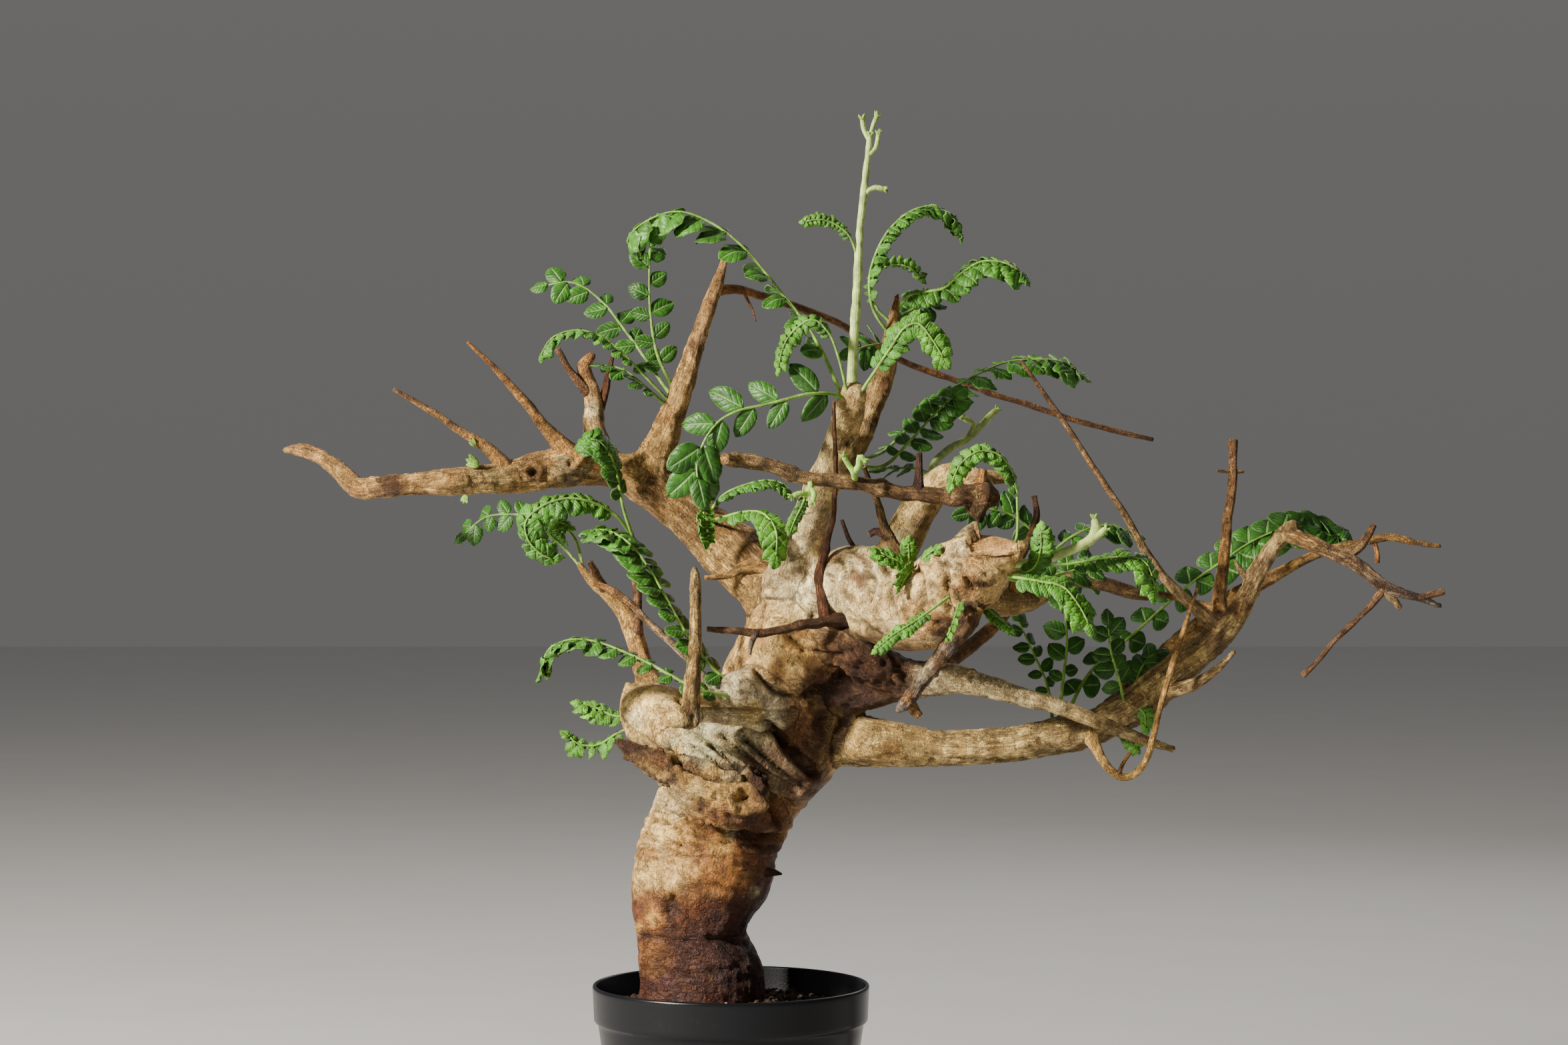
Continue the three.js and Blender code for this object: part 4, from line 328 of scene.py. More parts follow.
# Leaves: the rib's route as [across, height, depth], the side that the upper face looks to where the rib
# starts, the bare share of the rib, pairs of leaflets, the longest leaflet's length and width, and how far
# leaflets hang
LEAVES = {
    "leaf_crown_arch": dict(style="mixed", pairs=11, long=12, wide=9, bare=0.13, droop=1.0,
        upper=(1, -0.4, 0.5), route=[(42.5, 317, -52), (35, 334, -52), (28, 346, -51), (20, 356, -50),
        (12, 366, -50), (3, 376, -49), (-8, 384, -48), (-20, 388, -47), (-31, 385, -46), (-39, 378, -45),
        (-38, 371, -45)]),
    "leaf_crown_curled": dict(style="fresh", pairs=13, long=4.8, wide=3.8, bare=0.42, droop=0.6,
        upper=(0.7, -0.8, 0.3), route=[(44.5, 317, -55), (41, 332, -59), (37, 342, -61), (31, 347, -62),
        (24, 343, -62), (20, 337, -62), (17.5, 327, -62)]),
    "leaf_crown_front": dict(style="broad", pairs=6, long=15.5, wide=9, bare=0.1, droop=0.3,
        upper=(0, -1, 0.2), route=[(44, 317, -54), (36, 319, -60), (28, 318.5, -63), (20, 316.5, -65),
        (12, 314.5, -66), (3, 312.5, -67), (-5, 308, -68), (-11, 299, -70), (-13, 290, -71),
        (-11, 281, -72)]),
    "leaf_crown_right": dict(style="braided", pairs=14, long=6.6, wide=4.8, bare=0.25, droop=0.5,
        upper=(-0.4, -0.9, 0.2), route=[(47, 316, -54), (55, 328, -57), (61, 337, -60), (66, 344, -62),
        (71, 345.5, -64), (76, 340, -65), (82, 330, -66)]),
    "leaf_mast_arch": dict(style="crinkled", pairs=15, long=6.5, wide=6.5, bare=0.2, droop=0.8,
        upper=(-1, -0.3, 0.2), route=[(60.5, 341, -25), (54, 351, -31), (52.5, 362, -33), (55, 372, -34),
        (60, 381, -34), (68, 388, -34), (76, 390, -33), (83, 387.5, -32), (87, 382.5, -31),
        (88, 378, -31)]),
    "leaf_mast_young": dict(style="young", pairs=13, long=4.2, wide=3.4, bare=0.25, droop=0.7,
        upper=(-0.4, -0.3, 1), route=[(61.5, 345, -25), (55, 352, -26), (53.5, 360, -26), (57, 366, -25),
        (63, 368, -24), (69, 366, -23), (73, 361, -23)]),
    "leaf_mast_long": dict(style="crinkled", pairs=12, long=8.5, wide=8.4, bare=0.13, droop=0.6,
        upper=(-0.3, -0.5, 1), route=[(62, 349, -24), (67, 355.5, -25), (74, 357.5, -26), (81, 359, -28),
        (88, 365, -30), (95, 369, -31), (104, 368.5, -32), (113, 363, -33)]),
    "leaf_mast_low": dict(style="mature", pairs=3, long=10, wide=6, bare=0.2, droop=0.3,
        upper=(0.2, -0.9, 0.4), route=[(60, 337, -26), (56, 337.5, -34), (50, 336.5, -40), (44, 334, -43)]),
    "leaf_mast_side": dict(style="mature", pairs=3, long=8, wide=5.6, bare=0.2, droop=0.3,
        upper=(0, -0.7, 0.7), route=[(61, 343, -25), (66, 349, -20), (72, 352, -16), (79, 352, -14)]),
    "leaf_rear_long": dict(style="mixed", pairs=12, long=10.5, wide=8.5, bare=0.2, droop=0.6,
        upper=(-0.4, -0.8, 0.5), route=[(50, 294, -31), (58, 297, -14), (66, 304.5, 4), (75, 313.5, 16),
        (85, 321.5, 24), (95, 327, 29), (105, 331, 33), (116, 332, 35), (126, 331, 37), (134, 326, 38)]),
    "leaf_rear_short": dict(style="mixed", pairs=7, long=9, wide=7, bare=0.3, droop=0.3,
        upper=(-0.3, -0.8, 0.5), route=[(49, 291, -31), (58, 291.5, -25), (68, 301, -19), (78, 312, -14),
        (87, 320, -11)]),
    "leaf_rear_low": dict(style="mature", pairs=3, long=8, wide=5.4, bare=0.4, droop=0.3,
        upper=(0, -0.4, 1), route=[(77, 288, -35), (69, 290.5, -26), (60, 290.5, -20), (52, 291, -16)]),
    "leaf_gnarl_arch": dict(style="fresh", pairs=11, long=5.6, wide=4.8, bare=0.42, droop=0.6,
        upper=(1, -0.5, 0), route=[(103, 254, -68), (108.3, 264, -60), (108.7, 276, -62), (107.5, 287, -64),
        (102, 295.5, -66), (94, 297, -68), (87, 292, -70), (83, 283, -71)]),
    "leaf_head_left": dict(style="fresh", pairs=6, long=5.6, wide=4.3, bare=0.15, droop=0.3,
        upper=(0, -0.9, 0.5), route=[(68, 252, -57), (66, 254, -61), (60, 257, -63), (54, 260, -64)]),
    "leaf_head_left_low": dict(style="fresh", pairs=7, long=4.6, wide=3.8, bare=0.2, droop=0.3,
        upper=(0.2, -1, 0.1), route=[(69.5, 251, -57.5), (68.5, 252, -64), (66, 249, -66.5),
        (63.5, 244, -68)]),
    "leaf_head_left_high": dict(style="fresh", pairs=6, long=3.8, wide=3.4, bare=0.2, droop=0.3,
        upper=(0, -1, 0.2), route=[(67.5, 253.5, -54), (67.5, 257.5, -58), (67.2, 264, -59)]),
    "leaf_head_left_right": dict(style="fresh", pairs=5, long=3.8, wide=3.4, bare=0.2, droop=0.3,
        upper=(-0.5, -1, 0.4), route=[(70.5, 253, -57), (73.5, 257, -66), (79, 261, -69)]),
    "leaf_head_low": dict(style="fresh", pairs=13, long=3.8, wide=3.8, bare=0.35, droop=0.6,
        upper=(0, -0.6, 0.9), route=[(83, 242, -72), (77, 237.5, -78), (69, 232, -81), (61, 227, -83),
        (54, 221, -84)]),
    "leaf_head_tip": dict(style="fresh", pairs=7, long=3.2, wide=3.1, bare=0.15, droop=0.4,
        upper=(-0.6, -0.8, 0.2), route=[(87, 240, -72), (85.5, 236, -82), (83.5, 230, -84),
        (81, 225, -84)]),
    "leaf_head_under": dict(style="fresh", pairs=7, long=3.6, wide=3.1, bare=0.2, droop=0.4,
        upper=(0.2, -0.6, 0.8), route=[(93, 240, -62), (98, 236.5, -64), (102.5, 233, -66),
        (107.5, 228.5, -67)]),
    "leaf_head_long": dict(style="braided", pairs=10, long=7.5, wide=6.5, bare=0.42, droop=0.5,
        upper=(0, -0.5, 0.9), route=[(99, 252, -60), (112, 253, -58), (126, 254, -57), (139, 256, -57),
        (150, 257, -58), (156.5, 255.5, -59), (160, 249, -60), (161, 241.5, -60)]),
    "leaf_head_upright": dict(style="braided", pairs=10, long=5.2, wide=4.6, bare=0.35, droop=0.4,
        upper=(-0.1, -1, 0.1), route=[(100, 252, -67), (108, 250.5, -70.5), (115, 253, -72.5),
        (117.5, 260, -73), (117.5, 269, -73)]),
    "leaf_head_droop": dict(style="braided", pairs=12, long=7.6, wide=5.8, bare=0.25, droop=0.4,
        upper=(0.3, -0.9, 0.5), route=[(99, 250.5, -69), (109, 249, -77), (118, 247.5, -80),
        (126, 245.5, -82), (132, 238.5, -84), (137, 229, -85)]),
    "leaf_head_round": dict(style="mature", pairs=3, long=8.5, wide=7, bare=0.5, droop=0.2,
        upper=(0, -0.8, 0.6), route=[(100, 250, -60), (112, 247.5, -52), (124, 250, -46), (134, 253, -42),
        (143, 254, -40)]),
    "leaf_back_right": dict(style="mature", pairs=5, long=9.5, wide=7, bare=0.12, droop=0.4,
        upper=(0, -0.5, 0.9), route=[(117.5, 254, 50), (125, 261.5, 52), (134, 267, 54), (144, 269, 56),
        (154, 265, 58)]),
    "leaf_back_left": dict(style="mature", pairs=5, long=9.5, wide=7, bare=0.15, droop=0.4,
        upper=(0, -0.5, 0.9), route=[(117, 253, 49), (115, 265, 46), (108, 272, 42), (98, 275, 38),
        (87, 273, 35)]),
    "leaf_back_low": dict(style="mature", pairs=5, long=9, wide=6.6, bare=0.15, droop=0.4,
        upper=(0, -0.7, 0.7), route=[(113, 247, 45), (122, 250, 47), (132, 251, 50), (142, 248, 52)]),
    "leaf_arm_left": dict(style="mature", pairs=5, long=7, wide=5, bare=0.25, droop=0.3,
        upper=(0.4, -0.9, 0.2), route=[(122, 195, -15), (120, 208, -13), (114.5, 221, -12),
        (108, 235, -11)]),
    "leaf_arm_middle": dict(style="mature", pairs=4, long=8.4, wide=6.8, bare=0.25, droop=0.25,
        upper=(0.1, -1, 0.1), route=[(124.5, 195.5, -18), (126, 210, -16), (127.5, 224, -15),
        (127, 236, -14), (128, 248, -13)]),
    "leaf_arm_long": dict(style="bladed", pairs=17, long=8.5, wide=13, bare=0.06, droop=0.2,
        upper=(-0.2, -1, 0.3), route=[(127, 196, -16), (134, 210, -10), (142, 219, -5), (152, 227, -1),
        (163, 237, 2), (174, 246.5, 4), (186, 255, 6), (200, 264, 9), (215, 268.5, 12), (233, 263, 16)]),
    "leaf_arm_tall": dict(style="mature", pairs=4, long=8.6, wide=7, bare=0.25, droop=0.25,
        upper=(0.2, -1, 0.2), route=[(150, 199, -24), (146.5, 213, -30), (144, 222, -31), (143, 234, -32)]),
    "leaf_arm_short": dict(style="mature", pairs=4, long=7.5, wide=6, bare=0.3, droop=0.3,
        upper=(-0.5, -0.9, 0.4), route=[(152.5, 201, -22), (155, 213, -20), (159, 219, -19),
        (164, 221, -18)]),
    "leaf_arm_bud": dict(style="fresh", pairs=5, long=4, wide=3.6, bare=0.15, droop=0.3,
        upper=(-0.3, -1, 0), route=[(154.5, 200, -27), (157, 197, -31.5), (157.5, 190.5, -32)]),
    "leaf_arm_sprout": dict(style="fresh", pairs=5, long=4, wide=3.6, bare=0.15, droop=0.3,
        upper=(-0.3, -1, 0.1), route=[(147, 193, -22), (151, 187.5, -27.5), (154.5, 183, -28.5)]),
    "leaf_horn_tall": dict(style="mature", pairs=5, long=9.5, wide=7, bare=0.15, droop=0.3,
        upper=(0.2, -1, 0.1), route=[(-21, 319, 7), (-28, 334, 8), (-30.5, 349, 8), (-31, 362, 8),
        (-30.5, 378, 8)]),
    "leaf_horn_long": dict(style="mature", pairs=6, long=9.5, wide=7, bare=0.2, droop=0.35,
        upper=(0.2, -0.9, 0.5), route=[(-22, 317, 7), (-33, 333, 14), (-41, 344, 17), (-49, 354, 19),
        (-60, 361, 20), (-73, 359.5, 21)]),
    "leaf_horn_arch": dict(style="crinkled", pairs=10, long=5.4, wide=5.5, bare=0.35, droop=0.7,
        upper=(0.5, -0.4, 1), route=[(-22.5, 315, 5), (-34, 327, -2), (-42, 335, -4), (-50, 341, -5),
        (-59, 343, -5), (-68, 340, -5), (-73, 332, -5)]),
    "leaf_horn_low": dict(style="mature", pairs=5, long=8, wide=5.5, bare=0.3, droop=0.4,
        upper=(0.5, -0.3, 1), route=[(-23, 313, 8), (-32, 321, 2), (-41, 328, 1), (-51, 330, 2)]),
    "leaf_left_level": dict(style="crinkled", pairs=10, long=5.4, wide=5.8, bare=0.2, droop=0.7,
        upper=(0, -0.6, 1), route=[(-9, 273, 4), (-2, 281, -6), (6, 284.5, -8), (14, 286, -9),
        (20, 284.5, -9), (24, 280, -9)]),
    "leaf_left_hanging": dict(style="fresh", pairs=11, long=4.6, wide=3.8, bare=0.25, droop=0.3,
        upper=(0, -1, 0.3), route=[(-12, 276, 3), (-11.5, 281, -7), (-10.5, 275, -13), (-9.8, 268, -14),
        (-9.6, 261, -14)]),
    "leaf_left_front": dict(style="braided", pairs=10, long=7.5, wide=6, bare=0.22, droop=0.5,
        upper=(0, -0.7, 0.9), route=[(-9, 270, 2), (-3, 272, -10), (5, 274, -17), (12, 273.5, -25),
        (17, 267, -32), (17, 254.5, -35)]),
    "leaf_prong_low": dict(style="mixed", pairs=12, long=7.5, wide=7.7, bare=0.08, droop=0.5,
        upper=(0.2, -0.5, 0.9), route=[(0, 204, -34), (-12, 206.5, -40), (-22, 211.5, -40), (-32, 217, -36),
        (-42, 221.5, -33), (-52, 225, -30), (-61, 225.5, -27), (-69, 222, -24), (-73, 212, -22)]),
    "leaf_prong_high": dict(style="mixed", pairs=15, long=9.5, wide=8.4, bare=0.06, droop=0.5,
        upper=(0.8, -0.6, 0.5), route=[(0, 208.5, -31), (-9, 217, -33), (-17, 228, -34), (-25, 242, -32),
        (-32, 254, -29), (-39, 262.5, -25), (-47, 267, -21), (-55, 267, -18)]),
    "leaf_twig_arch": dict(style="crinkled", pairs=17, long=7.5, wide=6.7, bare=0.18, droop=0.7,
        upper=(0.3, -0.7, 1), route=[(-38, 265.5, 5), (-44, 273, 1), (-54, 278, -4), (-63, 279, -7),
        (-72, 276, -9), (-78, 270, -10), (-77, 263.5, -10), (-72, 258, -9), (-65, 255, -8)]),
    "leaf_twig_upright": dict(style="mixed", pairs=8, long=7.5, wide=7, bare=0.35, droop=0.4,
        upper=(0.9, -0.6, 0), route=[(-37.5, 265, 4), (-41, 276, -2), (-43, 287, -6), (-46, 296, -9),
        (-51.5, 301.5, -10), (-57.5, 299.5, -10)]),
    "leaf_back_prong_curl": dict(style="fresh", pairs=9, long=4.6, wide=4.3, bare=0.3, droop=0.5,
        upper=(-1, -0.5, 0.2), route=[(-57, 253, 20), (-63, 260, 21), (-69, 266.5, 22), (-66, 270, 22),
        (-60, 268, 22)]),
    "leaf_back_prong_dark": dict(style="mature", pairs=6, long=8, wide=6, bare=0.3, droop=0.5,
        upper=(-0.3, -0.6, 0.9), route=[(-56, 252, 20), (-60, 265, 29), (-70, 271.5, 31), (-82, 273, 32),
        (-93, 272, 33), (-103, 264, 34)]),
    "leaf_shoulder_high": dict(style="fresh", pairs=5, long=6.5, wide=6, bare=0.3, droop=0.4,
        upper=(0.2, -0.6, 0.9), route=[(-34, 197, 6), (-44, 196.5, 9), (-52, 200, 10), (-59, 202, 11)]),
    "leaf_shoulder_low": dict(style="fresh", pairs=6, long=6.5, wide=6, bare=0.3, droop=0.5,
        upper=(0.3, -0.6, 0.8), route=[(-33, 194, 5), (-43, 190, 8), (-51, 185.5, 9), (-58, 186, 10),
        (-63, 190.5, 10)]),
}

# Green shoots: a stem with its side stems, each a tapering run of points, and any young leaf on it
SHOOTS = {
    "crown_shoot": dict(
        stems=[
            [(46, 316, -52, 1.9), (46, 330, -53, 1.9), (47, 345, -54, 1.8), (48, 360, -54, 1.7),
             (48.7, 378, -53, 1.5), (50.5, 396, -52, 1.3), (52, 410, -50, 1.1), (52.7, 417, -49, 1)],
            [(52.5, 415, -49, 0.9), (50.5, 419, -49, 0.9), (49.8, 423.5, -49, 0.9)],
            [(52.5, 416, -49, 0.8), (54, 421, -48, 0.8), (55.5, 424.5, -48, 0.9)],
            [(52, 409, -50, 0.7), (55, 412.5, -51, 0.8), (56, 418, -51, 0.8)],
            [(50.2, 394, -52, 0.9), (54, 397, -53, 0.9), (58.5, 396.5, -53, 1)],
        ],
        leaves=[dict(style="young", pairs=11, long=3, wide=2.8, bare=0.3, droop=0.5, upper=(-0.3, -0.5, 1),
            route=[(48.3, 370, -53.5), (45, 378.5, -55), (40, 383, -56), (34, 385, -57), (26.5, 384, -57)])]),
    "rear_shoot": dict(
        stems=[
            [(76, 284, -33, 1.6), (77, 292, -20, 1.5), (83, 298, -8, 1.5), (90, 302, 0, 1.5),
             (96, 308, 4, 1.4), (101, 313, 6, 1.3)],
            [(90, 302.5, 0, 1.1), (92, 307, 1, 1), (88, 310, 1, 1.1)],
        ],
        leaves=[]),
    "head_shoot": dict(
        stems=[
            [(101, 256, -64, 2), (112, 254.5, -64, 1.8), (122, 257, -65, 1.7), (131, 260.5, -66, 1.7),
             (137, 264, -67, 1.9), (138.5, 268, -67, 1.7), (138, 272, -67, 1.4)],
            [(134, 262, -66.5, 1.3), (139, 265, -68, 1.2), (142.5, 268, -69, 1.2)],
        ],
        leaves=[]),
    "bar_shoot_low": dict(
        stems=[
            [(30, 287, -63, 1.1), (30, 283, -67, 1.1), (28, 279.5, -69, 1)],
            [(29.5, 281, -68, 0.9), (26, 281, -70, 1), (23, 279.8, -70, 1.1)],
            [(30, 283, -67, 0.9), (31.5, 281, -69, 1), (31, 277.5, -70, 1)],
        ],
        leaves=[dict(style="young", pairs=11, long=2.6, wide=2.6, bare=0.08, droop=0.3, upper=(0.2, -1, 0.2),
            route=[(28.3, 280, -69), (27, 276.5, -70), (24.5, 271.5, -71), (22, 265.5, -71)])]),
    "bar_shoot_high": dict(
        stems=[
            [(47, 284.5, -60, 1.1), (46.5, 289, -65, 1.1), (44.5, 292, -66, 1), (42.5, 295.5, -67, 1)],
            [(46.6, 289, -65, 1), (48.5, 291.5, -66.5, 1.1), (49, 295, -67, 1.1), (51, 293.5, -67.5, 1)],
        ],
        leaves=[]),
}


def placed(points):
    """Points seen in the upright plane, moved along the line of sight to their depth: an array of x, y, z"""
    points = np.asarray(points, float)
    scale = 1 + points[..., 2] / EYE_DISTANCE
    x = EYE_ACROSS + (points[..., 0] - EYE_ACROSS) * scale
    z = EYE_HEIGHT + (points[..., 1] - EYE_HEIGHT) * scale
    return np.stack([x, points[..., 2], z], -1)


def front_view(corners):
    """Where corners are seen from the eye point: across and height in the upright plane"""
    seen = EYE_DISTANCE / (EYE_DISTANCE + corners[:, 1])
    return EYE_ACROSS + (corners[:, 0] - EYE_ACROSS) * seen, EYE_HEIGHT + (corners[:, 2] - EYE_HEIGHT) * seen


def smooth_path(route, step):
    """Places and radii at even steps along a centripetal curve through a route, and the length up to each"""
    route = np.asarray(route, float)
    knots = np.hstack([placed(route[:, :3]), route[:, 3:]])
    before = 2 * knots[0] - knots[1]
    after = 2 * knots[-1] - knots[-2]
    run = np.vstack([before, knots, after])
    found = []
    for p0, p1, p2, p3 in zip(run, run[1:], run[2:], run[3:]):
        gaps = [max(np.linalg.norm(b[:3] - a[:3]), 1e-6) ** 0.5 for a, b in ((p0, p1), (p1, p2), (p2, p3))]
        t1, t2, t3 = gaps[0], gaps[0] + gaps[1], sum(gaps)
        t = np.linspace(t1, t2, 17)[:, None]
        a1 = (t1 - t) / t1 * p0 + t / t1 * p1
        a2 = (t2 - t) / (t2 - t1) * p1 + (t - t1) / (t2 - t1) * p2
        a3 = (t3 - t) / (t3 - t2) * p2 + (t - t2) / (t3 - t2) * p3
        b1 = (t2 - t) / t2 * a1 + t / t2 * a2
        b2 = (t3 - t) / (t3 - t1) * a2 + (t - t1) / (t3 - t1) * a3
        found.append(((t2 - t) * b1 + (t - t1) * b2) / (t2 - t1))
    fine = np.vstack([found[0][:1]] + [part[1:] for part in found])
    along = np.concatenate([[0], np.cumsum(np.linalg.norm(np.diff(fine[:, :3], axis=0), axis=1))])
    count = max(int(round(along[-1] / step)), 2) + 1
    stops = np.linspace(0, along[-1], count)
    even = np.stack([np.interp(stops, along, fine[:, k]) for k in range(fine.shape[1])], -1)
    return even[:, :3], even[:, 3:], stops


def unit(vectors):
    """Vectors of length 1 with the same ways"""
    return vectors / np.maximum(np.linalg.norm(vectors, axis=-1, keepdims=True), 1e-9)


def carried_frames(centres, upper):
    """For each point of a run: the way ahead, an upper side that turns no more than it must, and the side"""
    ahead = unit(np.gradient(centres, axis=0))
    up = np.array(upper, float)
    ups = []
    for way in ahead:
        up = up - way * (up @ way)
        up = up / max(np.linalg.norm(up), 1e-9)
        ups.append(up)
    ups = np.array(ups)
    return ahead, ups, np.cross(ahead, ups)


def noise(points, seed=0):
    """Smooth random values between -1 and 1, one lattice cell to a unit"""
    points = np.asarray(points, float)
    cell = np.floor(points).astype(np.int64)
    part = points - cell
    part = part * part * (3 - 2 * part)
    total = 0.0
    for corner in itertools.product((0, 1), repeat=3):
        c = cell + np.array(corner)
        mixed = (c[..., 0] * 374761393 + c[..., 1] * 668265263 + c[..., 2] * 1442695041 + seed * 974634777)
        mixed = mixed & 0xFFFFFFFF
        mixed = ((mixed ^ (mixed >> 13)) * 1274126177) & 0xFFFFFFFF
        value = ((mixed ^ (mixed >> 16)) & 0xFFFF) / 32767.5 - 1
        share = np.prod(np.where(corner, part, 1 - part), axis=-1)
        total = total + value * share
    return total


def layered(points, layers, seed):
    """Noise with finer and weaker layers on top of the first"""
    total = 0.0
    for k in range(layers):
        total = total + noise(np.asarray(points) * 2 ** k + 17.3 * k, seed + k) / 2 ** k
    return total / 1.6


def texture(name, points):
    size, layers, seed = TEXTURES[name]
    return layered(points / size, layers, seed)


def wavering(values, seed, row=0):
    """Smooth random values between -1 and 1 along a line"""
    return noise(np.stack([values, values * 0 + row, values * 0], -1), seed)


def smoothstep(low, high, value):
    """A soft step from 0 at low to 1 at high. Low may be the larger"""
    t = np.clip((value - low) / (high - low), 0, 1)
    return t * t * (3 - 2 * t)


def blended(tint, name, share):
    """A tint at each corner, mixed with a named one by a share from 0 to 1"""
    share = share[:, None]
    return tint * (1 - share) + np.array(TINTS[name]) * share


def mesh_object(name, corners, faces, floats=None, colours=None, vectors=None):
    """A Blender mesh from corners in millimetres and an array of faces, with named values at its corners"""
    corners = np.asarray(corners, np.float32)
    faces = np.asarray(faces, np.int32)
    mesh = bpy.data.meshes.new(name)
    mesh.vertices.add(len(corners))
    mesh.vertices.foreach_set("co", (corners * MM).ravel())
    mesh.loops.add(faces.size)
    mesh.loops.foreach_set("vertex_index", faces.ravel())
    mesh.polygons.add(len(faces))
    mesh.polygons.foreach_set("loop_start", np.arange(0, faces.size, faces.shape[1], dtype=np.int32))
    mesh.polygons.foreach_set("use_smooth", np.full(len(faces), True))
    mesh.update(calc_edges=True)
    for label, values in (floats or {}).items():
        mesh.attributes.new(label, "FLOAT", "POINT").data.foreach_set("value", np.asarray(values, np.float32))
    for label, values in (vectors or {}).items():
        flat = np.asarray(values, np.float32).ravel()
        mesh.attributes.new(label, "FLOAT_VECTOR", "POINT").data.foreach_set("vector", flat)
    for label, values in (colours or {}).items():
        rgba = np.ones((len(values), 4), np.float32)
        rgba[:, :3] = values
        mesh.color_attributes.new(label, "FLOAT_COLOR", "POINT").data.foreach_set("color", rgba.ravel())
    piece = bpy.data.objects.new(name, mesh)
    bpy.context.scene.collection.objects.link(piece)
    return piece


def corner_normals(corners, faces):
    """Normals at the corners of a mesh of four-sided faces, weighted by the area of the faces round them"""
    a, b, c, d = (corners[faces[:, k]] for k in range(4))
    flat = np.cross(c - a, d - b)
    total = np.zeros_like(corners)
    for k in range(4):
        np.add.at(total, faces[:, k], flat)
    return unit(total)


def ring_faces(rings, sides):
    """Four-sided faces between rings of corners that follow one another"""
    a = np.arange((rings - 1) * sides).reshape(rings - 1, sides)
    b = np.roll(a, -1, axis=1)
    return np.stack([a, b, b + sides, a + sides], -1).reshape(-1, 4)


def turned_faces(rings, sides):
    """Triangles of a body of rings, closed by one corner before the first ring and one after the last"""
    faces = []
    last = 1 + (rings - 1) * sides
    for k in range(sides):
        n = (k + 1) % sides
        faces.append((0, 1 + n, 1 + k))
        faces.append((last + k, last + n, last + sides))
        for i in range(rings - 1):
            a, b = 1 + i * sides + k, 1 + i * sides + n
            faces += [(a, b, b + sides), (a, b + sides, a + sides)]
    return np.array(faces)


class Skeleton:
    """The thick limbs as short tapering segments, with what is needed to find the nearest one"""

    STEP = 2.5

    def __init__(self, names):
        self.names = names
        rows = []
        for index, name in enumerate(names):
            limb = LIMBS[name]
            centres, radii, along = smooth_path(limb["route"], self.STEP)
            _, up, side = carried_frames(centres, GRAIN_UPPER)
            share = along / along[-1]
            for i in range(len(centres) - 1):
                rows.append([*centres[i], *centres[i + 1], radii[i, 0], radii[i + 1, 0], index, along[i],
                             along[i + 1], share[i], limb["flat"], *up[i], *side[i]])
        table = np.array(rows)
        self.start, self.end = table[:, 0:3], table[:, 3:6]
        self.radius, self.radius_end = table[:, 6], table[:, 7]
        self.limb = table[:, 8].astype(int)
        self.along, self.along_end = table[:, 9], table[:, 10]
        self.share, self.flat = table[:, 11], table[:, 12]
        self.up, self.side = table[:, 13:16], table[:, 16:19]
        self.middle = (self.start + self.end) / 2
        self.blends = np.array([LIMBS[name]["blend"] for name in names])

    def measure(self, points, picked):
        """Distances from points to the skin of the picked segments, the places along them and the offsets"""
        reach = self.end[picked] - self.start[picked]
        away = points[:, None] - self.start[picked]
        t = np.clip((away * reach).sum(-1) / (reach ** 2).sum(-1), 0, 1)
        offset = away - t[..., None] * reach
        offset[..., 1] /= self.flat[picked]
        radius = self.radius[picked] + t * (self.radius_end[picked] - self.radius[picked])
        return np.sqrt((offset ** 2).sum(-1)) - radius, t, offset

    def joined(self, distances, picked):
        """The distance to all picked limbs melted together"""
        limbs = self.limb[picked]
        edges = np.flatnonzero(np.r_[True, limbs[1:] != limbs[:-1]])
        own = np.minimum.reduceat(distances, edges, axis=1)
        present = limbs[edges]
        order = np.argsort(-self.blends[present], kind="stable")
        whole = own[:, order[0]]
        for k in order[1:]:
            soft = self.blends[present[k]]
            near = np.maximum(soft - np.abs(whole - own[:, k]), 0) / soft
            whole = np.minimum(whole, own[:, k]) - near * near * soft / 4
        return whole
